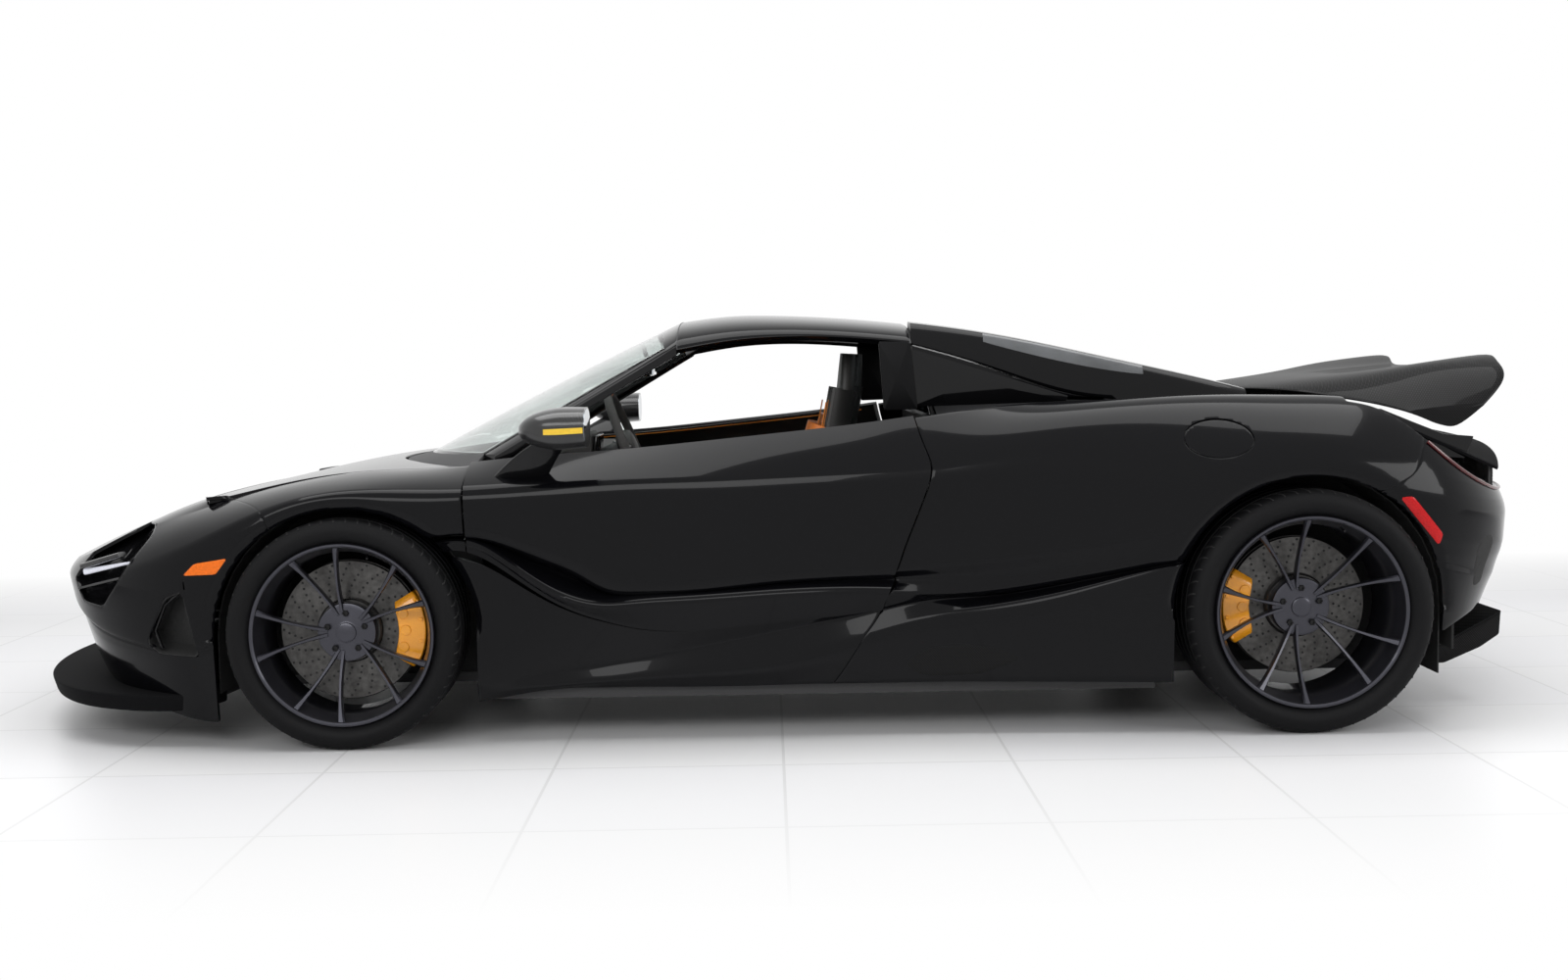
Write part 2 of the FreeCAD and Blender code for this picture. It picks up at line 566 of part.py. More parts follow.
def skin(u, v):
    """Point of the body: u runs from tail to nose, v from crest to sill, -1 to 0 on the nose's top."""
    for end in (NOSE_END, TAIL_END):
        if abs(u) > abs(end) and u * end > 0:
            point = skin(2 * end - u, v)
            return Vector(point.x, -point.y, point.z)
    if v < CREST:
        return nose_top(u, v)
    point = section(u, v)
    for axle, height, radius in ARCHES:
        reach = math.hypot(point.x - axle, point.z - height)
        if reach < radius + ARCH_LIP and point.z > height and abs(point.x) < PLAN_FLAT:
            depth = min(1.0, (radius + ARCH_LIP - reach) / ARCH_LIP)
            point.y -= ARCH_ROLL * depth * depth
    return point


ARCHES = (
    (FRONT_AXLE, FRONT_ARCH_HEIGHT, FRONT_ARCH_RADIUS),
    (REAR_AXLE, REAR_ARCH_HEIGHT, REAR_ARCH_RADIUS),
)
PLAN_FLAT = HALF_LENGTH * PLAN_FLAT_SHARE


def outward(u, v):
    """Unit normal of the body side."""
    along = skin(u + NUDGE, v) - skin(u - NUDGE, v)
    low = NOSE_TOP if v < CREST else CREST
    down = skin(u, min(v + LEVEL_NUDGE, SILL_BOTTOM)) - skin(u, max(v - LEVEL_NUDGE, low))
    normal = along.cross(down)
    return normal.normalize()


def facets(grid):
    """Flat facets through a grid of points, split along the diagonals."""
    faces = []
    for upper, lower in zip(grid, grid[1:]):
        for i in range(len(upper) - 1):
            for corners in ((upper[i], upper[i + 1], lower[i + 1]), (upper[i], lower[i + 1], lower[i])):
                if all(a.distanceToPoint(b) > TINY for a, b in zip(corners, corners[1:] + corners[:1])):
                    faces.append(Part.Face(Part.makePolygon(list(corners) + [corners[0]])))
    return faces


def closed(faces):
    """Solid inside a closed set of faces."""
    shell = Part.makeShell(faces)
    shell.sewShape()
    solid = Part.Solid(shell)
    if solid.Volume < 0:
        solid.reverse()
    return solid


def even(low, high, count):
    """Evenly spaced values from low to high, both included."""
    return [low + (high - low) * i / (count - 1) for i in range(count)]


class Column:
    """One column of a panel's grid: its station at each level, and its top and bottom level."""

    def __init__(self, station, top=CREST, bottom=SILL_BOTTOM, last=SILL_BOTTOM):
        self.station = station
        self.top = top
        self.bottom = bottom
        self.last = last

    def level(self, row):
        """Level that a row of the full grid has on this column."""
        if row <= SHOULDER:
            return self.top + row * (SHOULDER - self.top) / SHOULDER
        share = (row - SHOULDER) / (self.last - SHOULDER)
        return SHOULDER + share * (self.bottom - SHOULDER)

    def points(self, rows, inward):
        """Points of the column on one face of the panel."""
        found = []
        for row in rows:
            v = self.level(row)
            u = self.station(v)
            found.append(inward(skin(u, v), u, v))
        return found


class SillColumn(Column):
    """Column of the sill, which starts a shut gap under the blade."""

    def level(self, row):
        if row >= SILL_TOP:
            return row
        u = self.station(BLADE_LOW)
        drop = SHUT_GAP / (skin(u, BLADE_LOW).z - skin(u, SILL_TOP).z)
        return row + drop * (SILL_TOP - row)


def between(first, second, share):
    """Column a share of the way from one column to another, with the same rows."""
    def station(v):
        return first.station(v) * (1 - share) + second.station(v) * share
    top = first.top * (1 - share) + second.top * share
    return Column(station, top, first.bottom, first.last)


def at(u):
    """Station function of an upright shut line."""
    return lambda v: u


def shut(shares):
    """Station function of a shut line given as rows of level and share of the half length."""
    line = Spline([(level, share * HALF_LENGTH) for level, share in shares])
    return lambda v: line(max(v, CREST))[0]


def arch_edge(arch, side):
    """Station function that follows the arch on its front (1) or rear (-1) side."""
    axle, height, radius = arch

    def station(v):
        u = axle + side * radius
        for _ in range(4):
            z = skin(u, v).z
            rise = max(0.0, z - height)
            u = axle + side * math.sqrt(max(radius * radius - rise * rise, 0.0))
        return u
    return station


def later(first, second, pick):
    """Station function that is the larger or smaller of two."""
    return lambda v: pick(first(v), second(v))


def arch_level(station, arch, low, high):
    """Level between low and high where a column meets the arch."""
    axle, height, radius = arch
    for _ in range(40):
        middle = (low + high) / 2
        point = skin(station(middle), middle)
        if math.hypot(point.x - axle, point.z - height) > radius:
            low = middle
        else:
            high = middle
    return low


def line_level(station, height_at, low, high):
    """Level where a column comes down to a cut line given as a height for each X."""
    for _ in range(40):
        middle = (low + high) / 2
        point = skin(station(middle), middle)
        if point.z > height_at(point.x):
            low = middle
        else:
            high = middle
    return low


def inside_skin(depth):
    """Inner point of a thin panel: square to the skin above the shoulder, level below it."""
    def inward(point, u, v):
        if v <= SHOULDER:
            return point - outward(u, v) * depth
        return point - level_normal(u) * depth
    return inward


def level_normal(u):
    """Outward normal of the body's outline seen from above."""
    for end in (NOSE_END, TAIL_END):
        if abs(u) > abs(end) and u * end > 0:
            x, y, nx, ny = plan(2 * end - u)
            return Vector(nx, -ny, 0)
    x, y, nx, ny = plan(u)
    return Vector(nx, ny, 0)


def on_skin(point, u, v):
    """Outer point of a panel."""
    return point


def inside_door(point, u, v):
    """Inner point of a door, which is as thick as the whole door and thinner at its belt."""
    share = min(v / SHOULDER, 1.0)
    thickness = DOOR_BELT_THICKNESS + (DOOR_THICKNESS - DOOR_BELT_THICKNESS) * share
    rear, front = DOOR_REAR(v), DOOR_FRONT(v)
    along = (u - rear) / (front - rear)
    return point + Vector(DOOR_BEVEL * (1 - 2 * along), -thickness, 0)


def solid_from(blocks):
    """Solid between the outer and inner grids of blocks, closed on the sides named."""
    faces = []
    for outer, inner, sides in blocks:
        faces += facets(outer) + facets(inner)
        borders = {
            "top": (outer[0], inner[0]),
            "bottom": (outer[-1], inner[-1]),
            "front": ([row[0] for row in outer], [row[0] for row in inner]),
            "rear": ([row[-1] for row in outer], [row[-1] for row in inner]),
        }
        for side in sides:
            faces += facets(borders[side])
    return closed(faces)


def block(columns, rows, inward, sides, outer_face=on_skin):
    """Block of a panel from its columns, front to rear, and its rows, top to bottom."""
    outer = [list(row) for row in zip(*[column.points(rows, outer_face) for column in columns])]
    inner = [list(row) for row in zip(*[column.points(rows, inward) for column in columns])]
    return outer, inner, sides


def mirror(shape):
    """The same shape on the right side."""
    return shape.mirror(Vector(0, 0, 0), Vector(0, 1, 0))


def save(name, shape):
    """Write one node."""
    shape.exportStep("parts/" + name + ".step")


def save_pair(name, shape):
    """Write a left piece and its mirror image."""
    save(name + "_left", shape)
    save(name + "_right", mirror(shape))


SIDE_ROWS = (
    even(CREST, SHOULDER, 5),
    even(SHOULDER, CHANNEL_TOP, 3),
    [CHANNEL_TOP, CHANNEL_IN],
    [CHANNEL_IN, BLADE],
    [BLADE, BLADE_LOW],
    [BLADE_LOW, SILL_TOP],
    [SILL_TOP, SILL_EDGE],
    [SILL_EDGE, SILL_BOTTOM],
)
HALF_GAP = SHUT_GAP / 2
HALF_SEAM = SEAT_GAP / 2
FRONT_ARCH, REAR_ARCH = ARCHES
DOOR_FRONT = shut(DOOR_FRONT_SHARES)
DOOR_REAR = shut(DOOR_REAR_SHARES)
BUMPER_SHUT = shut(BUMPER_SHUT_SHARES)
QUARTER_SHUT = shut(QUARTER_SHUT_SHARES)
TAIL_CUT = Spline([(x * HALF_LENGTH, z * HEIGHT) for x, z in TAIL_CUT_SHARES])


def shifted(station, offset):
    """A shut line moved along the car."""
    return lambda v: station(v) + offset


def span(first, last, count):
    """Columns from one to another."""
    return [between(first, last, share) for share in even(0.0, 1.0, count)]


def fender():
    """Left front wing: over the arch, and down to the blade behind it."""
    inward = inside_skin(SKIN)
    front = shifted(BUMPER_SHUT, -HALF_SEAM)
    rear = shifted(DOOR_FRONT, HALF_GAP)
    knee = arch_edge(FRONT_ARCH, -1)(CHANNEL_TOP)
    over = [Column(c.station) for c in span(Column(front), Column(at(knee)), 9)]
    for column in over[:-1]:
        column.last = CHANNEL_TOP
        column.bottom = arch_level(column.station, FRONT_ARCH, CROWN, SILL_TOP)
    over[-1].last = over[-1].bottom = CHANNEL_TOP
    behind = span(Column(at(knee)), Column(rear), 4)
    lower_front = arch_edge(FRONT_ARCH, -1)
    lower = span(Column(lower_front), Column(rear), 4)
    blocks = [
        block(over, SIDE_ROWS[0], inward, ("top", "front")),
        block(over, SIDE_ROWS[1], inward, ("front", "bottom")),
        block(behind, SIDE_ROWS[0], inward, ("top", "rear")),
        block(behind, SIDE_ROWS[1], inward, ("rear",)),
        block(lower, SIDE_ROWS[2], inward, ("front", "rear")),
        block(lower, SIDE_ROWS[3], inward, ("front", "rear")),
        block(lower, SIDE_ROWS[4], inward, ("front", "rear", "bottom")),
    ]
    return solid_from(blocks)


def door():
    """Left door, from its belt to the blade's lower edge."""
    front = Column(shifted(DOOR_FRONT, -HALF_GAP))
    rear = Column(shifted(DOOR_REAR, HALF_GAP))
    columns = span(front, rear, 9)
    blocks = []
    for index, rows in enumerate(SIDE_ROWS[:5]):
        sides = ["front", "rear"]
        if index == 0:
            sides.append("top")
        if index == 4:
            sides.append("bottom")
        blocks.append(block(columns, rows, inside_door, sides))
    return solid_from(blocks).fuse(hinge_barrel())


def sill():
    """Left sill panel under the blade, from the front arch to the rear shut line."""
    inward = inside_skin(SKIN)
    arch = arch_edge(FRONT_ARCH, -1)
    front = Column(shifted(DOOR_FRONT, -HALF_GAP))
    rear = Column(shifted(DOOR_REAR, SILL_SEAM - HALF_GAP))
    columns = [SillColumn(arch)]
    for index, column in enumerate(span(front, rear, 9)):
        clear = shifted(arch, -SHUT_GAP * (index + 1))
        columns.append(SillColumn(later(column.station, clear, min)))
    return solid_from([
        block(columns, even(BLADE_LOW, SILL_TOP, 5), inward, ("top", "front", "rear")),
        block(columns, SIDE_ROWS[6], inward, ("front", "rear")),
        block(columns, SIDE_ROWS[7], inward, ("front", "rear", "bottom")),
    ])


def haunch_columns():
    """Columns of the quarter ahead of the arch, over it and behind it."""
    front = Column(shifted(DOOR_REAR, -HALF_GAP))
    knee = Column(at(arch_edge(REAR_ARCH, 1)(SILL_EDGE)))
    middle = Column(at(REAR_ARCH_BREAK))
    over = arch_columns(knee, middle, 8)
    over[0].bottom = SILL_EDGE
    behind = arch_columns(middle, Column(shifted(QUARTER_SHUT, HALF_SEAM)), 4)
    return span(front, knee, 8), over, behind


def quarter():
    """Left rear quarter: haunch, flank and the panel over the rear arch."""
    inward = inside_skin(SKIN)
    ahead, over, behind = haunch_columns()
    blocks = []
    for columns, ends in ((ahead, ["front"]), (over, []), (behind, ["rear"])):
        for index, rows in enumerate(SIDE_ROWS[:7]):
            sides = list(ends)
            if index == 0:
                sides.append("top")
            if index == 6 and columns is not ahead:
                sides.append("bottom")
            blocks.append(block(columns, rows, inward, sides))
    foot = span(ahead[0], Column(arch_edge(REAR_ARCH, 1)), 8)
    blocks.append(block(foot, SIDE_ROWS[7], inward, ("front", "rear", "bottom")))
    return solid_from(blocks)


def arch_columns(first, last, count):
    """Columns over the rear arch, cut off by the arch below and the tail cut above."""
    columns = span(first, last, count)
    for column in columns:
        column.last = SILL_EDGE
        column.bottom = arch_level(column.station, REAR_ARCH, CROWN, SILL_BOTTOM)
        column.top = tail_level(column.station)
    return columns


def tail_level(station):
    """Level where a column meets the diagonal cut of the tail, or the crest ahead of it."""
    if station(CREST) > TAIL_CUT.at[-1]:
        return CREST
    return line_level(station, lambda x: TAIL_CUT(x)[0], CREST, SHOULDER)


def flap_outline(margin, y):
    """Outline of the fuel flap seen from the side, grown by a margin."""
    points = []
    for angle in even(0.0, 2 * math.pi, FLAP_SIDES + 1)[:-1]:
        x = FLAP_X + math.cos(angle) * (FLAP_HALF_LENGTH + margin)
        z = FLAP_Z + math.sin(angle) * (FLAP_HALF_HEIGHT + margin)
        points.append(Vector(x, y, z))
    return Part.makePolygon(points + points[:1])


def flap_prism(margin):
    """Block through the body side with the fuel flap's outline."""
    return Part.Face(flap_outline(margin, FLAP_INNER)).extrude(Vector(0, HALF_WIDTH - FLAP_INNER, 0))


def quarter_layer(near, far):
    """Layer of the left haunch over the arch, between two depths."""
    ahead, over, behind = haunch_columns()
    rows = SIDE_ROWS[0] + SIDE_ROWS[1][1:]
    sides = ("top", "bottom", "front", "rear")
    return solid_from([block(ahead[-2:-1] + over, rows, inside_skin(far), sides, inside_skin(near))])


def fuel_flap():
    """Fuel flap in the left haunch."""
    return quarter_layer(0.0, FLAP_SKIN).common(flap_prism(-FLAP_GAP))


def flap_ring(margin, depth, back=0.0):
    """Outline of the flap, grown by a margin, laid on the haunch at a depth and moved in level."""
    layer = quarter_layer(depth, depth + SKIN)
    row = []
    for corner in flap_outline(margin, FLAP_INNER).Vertexes:
        row.append(shell_point(layer, corner.X, corner.Z, back))
    return row + row[:1]


def fuel_bowl():
    """Bowl of the filler: the lip that the flap closes on, and the cup behind it."""
    lip, under = FLAP_SKIN + BOWL_GAP, SKIN + BOWL_GAP
    rings = [
        flap_ring(-BOWL_LAP, lip, BOWL_DEPTH), flap_ring(-BOWL_LAP, lip), flap_ring(-SEAT_GAP, lip),
        flap_ring(-SEAT_GAP, under), flap_ring(BOWL_LAP, under),
        flap_ring(BOWL_LAP, under, BOWL_DEPTH + SKIN),
    ]
    count = len(rings[0])
    layer = quarter_layer(lip, lip + SKIN)
    floor, back = [shell_point(layer, FLAP_X, FLAP_Z, depth) for depth in (BOWL_DEPTH, BOWL_DEPTH + SKIN * 2)]
    return closed(facets([[floor] * count] + rings + [[back] * count]))


def round_end(first, end, count):
    """Columns from one side, round the nose or tail at station end, to the other side."""
    near = span(first, Column(at(end)), count)
    far = [turned(column, end) for column in reversed(near[:-1])]
    return near + far


def turned(column, end):
    """The same column on the other side."""
    return Column(lambda v: 2 * end - column.station(v), column.top, column.bottom, column.last)


def rear_bumper():
    """Rear bumper, round the tail from arch to arch."""
    inward = inside_skin(SKIN)
    edge = later(shifted(QUARTER_SHUT, -HALF_SEAM), arch_edge(REAR_ARCH, -1), min)
    columns = span(Column(edge), Column(at(TAIL_END)), 10)
    for column in columns:
        column.top = tail_level(column.station)
    columns += [turned(column, TAIL_END) for column in reversed(columns[:-1])]
    blocks = []
    for index, rows in enumerate(SIDE_ROWS):
        sides = ["front", "rear"]
        if index == 0:
            sides.append("top")
        if index == 7:
            sides.append("bottom")
        blocks.append(block(columns, rows, inward, sides))
    return solid_from(blocks)


def front_shell():
    """Front bumper before its openings, round the nose from arch to arch and up to the lid."""
    inward = inside_skin(SKIN)
    edge = later(shifted(BUMPER_SHUT, HALF_SEAM), arch_edge(FRONT_ARCH, 1), max)
    columns = round_end(Column(edge), NOSE_END, 11)
    blocks = [block(columns, even(NOSE_TOP, CREST, 3), inward, ("front", "rear", "top"))]
    for index, rows in enumerate(SIDE_ROWS):
        sides = ["front", "rear"]
        if index == 7:
            sides.append("bottom")
        blocks.append(block(columns, rows, inward, sides))
    return solid_from(blocks)


def front_bumper():
    """Front bumper with its lamp sockets, seated on the splitter."""
    hole = side_profile(shares_to(LAMP_SOCKET_SHARES, SIDE_SCALES), SOCKET_INNER, HALF_WIDTH)
    return front_shell().cut([splitter(SEAT_GAP), hole, mirror(hole)])


def shell_point(shell, x, z, depth):
    """Point under the left side of a shell at X and Z, set back by a depth."""
    line = Part.makeLine(Vector(x, SOCKET_INNER, z), Vector(x, HALF_WIDTH, z))
    return Vector(x, shell.common(line).BoundBox.YMax - depth, z)


def headlamp():
    """Left headlamp bowl in its socket: side walls and a floor that carries the lamps."""
    shell = front_shell()
    outline = shares_to(LAMP_SOCKET_SHARES, SIDE_SCALES)
    outer, inner = shrunk(outline, SEAT_GAP * 2), shrunk(outline, LAMP_WALL)
    middle = tuple(sum(values) / len(outline) for values in zip(*outline))
    rings = []
    for ring, depth in (
        (inner, LAMP_SETBACK), (inner, LAMP_FRONT), (outer, LAMP_FRONT), (outer, LAMP_DEPTH)
    ):
        rings.append([shell_point(shell, x, z, depth) for x, z in ring + ring[:1]])
    count = len(rings[0])
    floor = shell_point(shell, middle[0], middle[1], LAMP_SETBACK)
    back = shell_point(shell, middle[0], middle[1], LAMP_DEPTH)
    return closed(facets([[floor] * count] + rings + [[back] * count]))


def shrunk(outline, margin):
    """Outline drawn in towards its middle by a margin at each corner."""
    middle_x, middle_z = [sum(values) / len(outline) for values in zip(*outline)]
    points = []
    for x, z in outline:
        reach = math.hypot(x - middle_x, z - middle_z)
        share = 1 - margin / reach
        points.append((middle_x + (x - middle_x) * share, middle_z + (z - middle_z) * share))
    return points


def lid_edge(w):
    """Front edge of the luggage lid at a share w of the half width, without the gap."""
    x = LID_FRONT - LID_CORNER * abs(w) ** 3
    return lid_point(x, w)


def lid_point(x, w):
    """Point of the lid's surface at X and a share w of the half width."""
    edge = on_line(CREST, x)
    return Vector(x, w * edge.y, edge.z + LID_BOW * (1 - w * w))


def nose_top(u, v):
    """Point between the crest line and the lid's front edge, which is level -1."""
    end = NOSE_END
    first = on_line(CREST, u)
    low = BUMPER_SHUT(CREST)
    w = (end - u) / (end - low)
    second = lid_edge(w) + Vector(SHUT_GAP, 0, 0)
    bulge = Vector(0, 0, NOSE_BULGE) * (4 * -v * (1 + v) * (1 - w * w))
    return first * (1 + v) + second * -v + bulge


def lid():
    """Luggage lid between the front wings."""
    outer = []
    for s in even(0.0, 1.0, 7):
        row = []
        for w in even(-1.0, 1.0, 11):
            front = lid_edge(w)
            x = front.x + (cowl_x(w) + SHUT_GAP - front.x) * s
            point = lid_point(x, w)
            point.y -= math.copysign(SHUT_GAP, w) * abs(w)
            row.append(point)
        outer.append(row)
    inner = [[point - Vector(0, 0, SKIN) for point in row] for row in outer]
    inner[0] = [point - Vector(LID_BEVEL, 0, 0) for point in inner[0]]
    for row in inner:
        row[0] += Vector(0, LID_BEVEL, 0)
        row[-1] -= Vector(0, LID_BEVEL, 0)
    return solid_from([(outer, inner, ("top", "bottom", "front", "rear"))])


def cowl_x(w):
    """X of the rear edge of the lid at a share w of its half width."""
    return COWL_CENTRE + (COWL_CORNER - COWL_CENTRE) * w * w


def cap_solid(outer, depth):
    """Sheet of a given depth under a grid of points."""
    inner = [[point - Vector(0, 0, depth) for point in row] for row in outer]
    return solid_from([(outer, inner, ("top", "bottom", "front", "rear"))])


def loft(stations):
    """Solid through polygons with as many corners each."""
    rows = [list(station) + [station[0]] for station in stations]
    faces = facets(rows)
    for end in (stations[0], stations[-1]):
        faces.append(Part.Face(Part.makePolygon(list(end) + [end[0]])))
    return closed(faces)


def box(low, high):
    """Box between two corners given as lists."""
    size = [high[i] - low[i] for i in range(3)]
    return Part.makeBox(size[0], size[1], size[2], Vector(*low))


def tube(start, end, radius):
    """Round bar between two points."""
    line = end - start
    return Part.makeCylinder(radius, line.Length, start, line)


def bar(start, end, radius):
    """Bar with flat sides between two points."""
    along = (end - start).normalize()
    side = along.cross(Vector(0, 0, 1)).normalize()
    up = side.cross(along)
    stations = []
    for point in (start, end):
        station = []
        for angle in even(0.0, 2 * math.pi, BAR_SIDES + 1)[:-1]:
            station.append(point + side * (math.cos(angle) * radius) + up * (math.sin(angle) * radius))
        stations.append(station)
    return loft(stations)


def side_profile(points, low_y, high_y):
    """Prism of a side-view outline given as (x, z) corners, between two Y values."""
    wire = Part.makePolygon([Vector(x, low_y, z) for x, z in points + points[:1]])
    return Part.Face(wire).extrude(Vector(0, high_y - low_y, 0))


def both(shape):
    """A piece and its mirror image as one node of two solids."""
    return Part.makeCompound([shape, mirror(shape)])


ROOF_LINE = Spline([(x * HALF_LENGTH, z * HEIGHT) for x, z in ROOF_LINE_SHARES])
RAIL_LINE = Spline([(x * HALF_LENGTH, z * HEIGHT) for x, z in RAIL_LINE_SHARES])
BUTTRESS_ROWS = [
    (x * HALF_LENGTH, z * HEIGHT, y * ROOF_HALF, inner * ROOF_HALF)
    for x, z, y, inner in BUTTRESS_SHARES
]


def roof_height(x):
    """Height of the roof's centre line at X."""
    return ROOF_LINE(x)[0]


def roof_point(x, angle):
    """Point of the roof's section at X: angle 0 is the centre and 90 degrees the rail."""
    half = ROOF_HALF + (x - ROOF_REAR) * ROOF_TAPER
    rail = RAIL_LINE(x)[0]
    power = 2 / ROOF_POWER
    side = math.copysign(abs(math.sin(angle)) ** power, angle)
    return Vector(x, half * side, rail + (roof_height(x) - rail) * math.cos(angle) ** power)


def roof_panel():
    """Retractable roof panel with its side rails."""
    outer, inner = [], []
    for x in even(ROOF_FRONT - SEAT_GAP, ROOF_REAR, 7):
        angles = even(-ROOF_SWEEP, ROOF_SWEEP, 13)
        outer.append([roof_point(x, angle) for angle in angles])
        inner.append([inward_roof(point) for point in outer[-1]])
    return solid_from([(outer, inner, ("top", "bottom", "front", "rear"))])


def inward_roof(point):
    """Point of the roof's lining under a point of its skin."""
    squeeze = (ROOF_HALF - ROOF_DEPTH) / ROOF_HALF
    return Vector(point.x, point.y * squeeze, point.z - ROOF_DEPTH)


def screen_point(s, w):
    """Point of the windscreen: s runs from its base to the header, w across."""
    base = Vector(cowl_x(w) - SCREEN_SETBACK, w * SCREEN_BASE_HALF, SCREEN_BASE_HEIGHT + SCREEN_RISE * w * w)
    angle = w * ROOF_SWEEP * SCREEN_TOP_SHARE
    head = roof_point(ROOF_FRONT, angle)
    point = base + (head - base) * s
    point.z += SCREEN_BULGE * 4 * s * (1 - s) * (1 - w * w)
    point.y += math.copysign(SCREEN_BULGE * 4 * s * (1 - s) * abs(w) ** 3, w)
    return point


def windscreen():
    """Windscreen glass inside its frame."""
    outer = []
    for s in even(SCREEN_EDGE, 1 - SCREEN_EDGE, 7):
        outer.append([screen_point(s, w) for w in even(-SCREEN_SIDE, SCREEN_SIDE, 9)])
    return cap_solid(outer, GLASS)


def screen_frame():
    """Windscreen frame: both pillars and the header that carries the roof's front edge."""
    drop = Vector(0, 0, PILLAR_DEPTH)
    low = SCREEN_SIDE + SEAT_GAP / SCREEN_BASE_HALF
    rows = even(SCREEN_EDGE, 1 - SCREEN_EDGE, 7)
    stations = []
    for s in rows + [1.0]:
        inner, outer = screen_point(s, low), screen_point(s, 1.0)
        stations.append([inner, outer, outer - drop, inner - drop])
    pillar = loft(stations)
    edge = 1 - SCREEN_EDGE + SEAT_GAP / SCREEN_BASE_HALF
    columns = [-1.0] + even(-SCREEN_SIDE, SCREEN_SIDE, 9) + [1.0]
    top = [[screen_point(s, w) for w in columns] for s in (edge, 1.0)]
    return pillar.fuse([mirror(pillar), cap_solid(top, PILLAR_DEPTH)]).removeSplitter()


def scuttle():
    """Panel between the lid and the windscreen."""
    outer = []
    for s in even(0.0, 1.0, 3):
        row = []
        for w in even(-1.0, 1.0, 9):
            front = lid_point(cowl_x(w), w * SCUTTLE_SHARE)
            front.x -= SHUT_GAP
            front.z -= SCUTTLE_STEP
            rear = screen_point(SCREEN_EDGE, w * SCREEN_SIDE)
            rear.x += SEAT_GAP
            row.append(front + (rear - front) * s)
        outer.append(row)
    return cap_solid(outer, SCUTTLE_DEPTH)


def buttress():
    """Left flying buttress behind the roof."""
    stations = []
    for x, low_z, half, inner_half in BUTTRESS_ROWS:
        top = roof_height(x)
        if x < BUTTRESS_LANDING:
            low_z = deck_point(x, half / on_line(CREST, x).y).z - SKIN / 2
        stations.append([
            Vector(x, half, low_z),
            Vector(x, half - BUTTRESS_LEAN, top - BUTTRESS_ROUND * 2),
            Vector(x, half - BUTTRESS_LEAN * 2, top - BUTTRESS_ROUND / 2),
            Vector(x, inner_half, top),
            Vector(x, inner_half - BUTTRESS_LEAN, low_z),
        ])
    return seated(loft(stations), deck(), SEAT_GAP)


def seated(piece, other, rise):
    """What is left of a piece on the far side of another that it stands on, with a gap between."""
    other = other.copy()
    other.translate(Vector(0, 0, rise))
    return max(piece.cut(other).Solids, key=lambda solid: solid.Volume)


def deck():
    """Rear deck between the haunches, from the bulkhead to the wing."""
    outer = []
    for x in even(CABIN_REAR - TUB_WALL - SEAT_GAP, DECK_REAR, 8):
        outer.append([deck_point(x, w) for w in even(-1.0, 1.0, 9)])
    return cap_solid(outer, SKIN)


def deck_point(x, w):
    """Point of the rear deck at X and a share w of its half width."""
    edge = on_line(CREST, x)
    return Vector(x, w * (edge.y - DECK_INSET), edge.z - DECK_DROP * (1 - w ** 4))


class Wheel:
    """Sizes of one wheel and the point at the middle of its tyre."""

    def __init__(self, x, y, radius, width, rim, dish):
        self.centre = Vector(x, y, radius)
        self.radius = radius
        self.half = width / 2
        self.rim = rim
        self.dish = dish


def spun(points, centre, sides):
    """Ring of flat sides about the wheel's axis from (radius, offset) corners, offset outwards."""
    rows = []
    for angle in even(0.0, 2 * math.pi, sides + 1)[:-1]:
        turn = Vector(math.cos(angle), 0, math.sin(angle))
        rows.append([centre + turn * radius + Vector(0, offset, 0) for radius, offset in points])
        rows[-1].append(rows[-1][0])
    rows.append(rows[0])
    faces = []
    for first, second in zip(rows, rows[1:]):
        for i in range(len(points)):
            corners = [first[i], first[i + 1], second[i + 1], second[i]]
            faces.append(Part.Face(Part.makePolygon(corners + [corners[0]])))
    return closed(faces)


def ring_points(centre, radius, offset, sides):
    """Corners of a regular polygon about the wheel's axis."""
    points = []
    for angle in even(0.0, 2 * math.pi, sides + 1)[:-1]:
        points.append(centre + Vector(math.cos(angle) * radius, offset, math.sin(angle) * radius))
    return points


def tyre(wheel):
    """Tyre with rounded shoulders and bulging side walls."""
    r, h, rim = wheel.radius, wheel.half, wheel.rim
    depth = r - rim
    points = []
    for radius_share, width_share in TYRE_SHARES:
        points.append((rim + depth * radius_share, h * width_share))
    points += [(radius, -offset) for radius, offset in reversed(points)]
    return spun(points, wheel.centre, TYRE_SIDES)


def rim(wheel):
    """Rim barrel, ten spokes and the hub face."""
    outer = wheel.rim * math.cos(math.pi / TYRE_SIDES) - SEAT_GAP
    seat = wheel.half * TYRE_SEAT_SHARE
    inner = outer - RIM_WALL
    barrel = spun([
        (outer, seat + RIM_WALL), (inner, seat + RIM_WALL), (inner - RIM_DROP, seat - RIM_STEP),
        (inner - RIM_DROP, -seat), (outer, -seat),
    ], wheel.centre, RIM_SIDES)
    face = seat + RIM_WALL - wheel.dish
    back = wheel.centre + Vector(0, face - HUB_DEPTH, 0)
    rings = [(HUB_RADIUS, face - HUB_DEPTH), (HUB_RADIUS, face)]
    hub = loft([ring_points(wheel.centre, radius, offset, HUB_SIDES) for radius, offset in rings])
    bore = tube(back, back + Vector(0, HUB_DEPTH - HUB_CAP, 0), SPINDLE_RADIUS + BEARING_GAP)
    shape = barrel.fuse([spoke(wheel, face, inner, i) for i in range(SPOKE_COUNT)] + [hub])
    return shape.cut(bore)


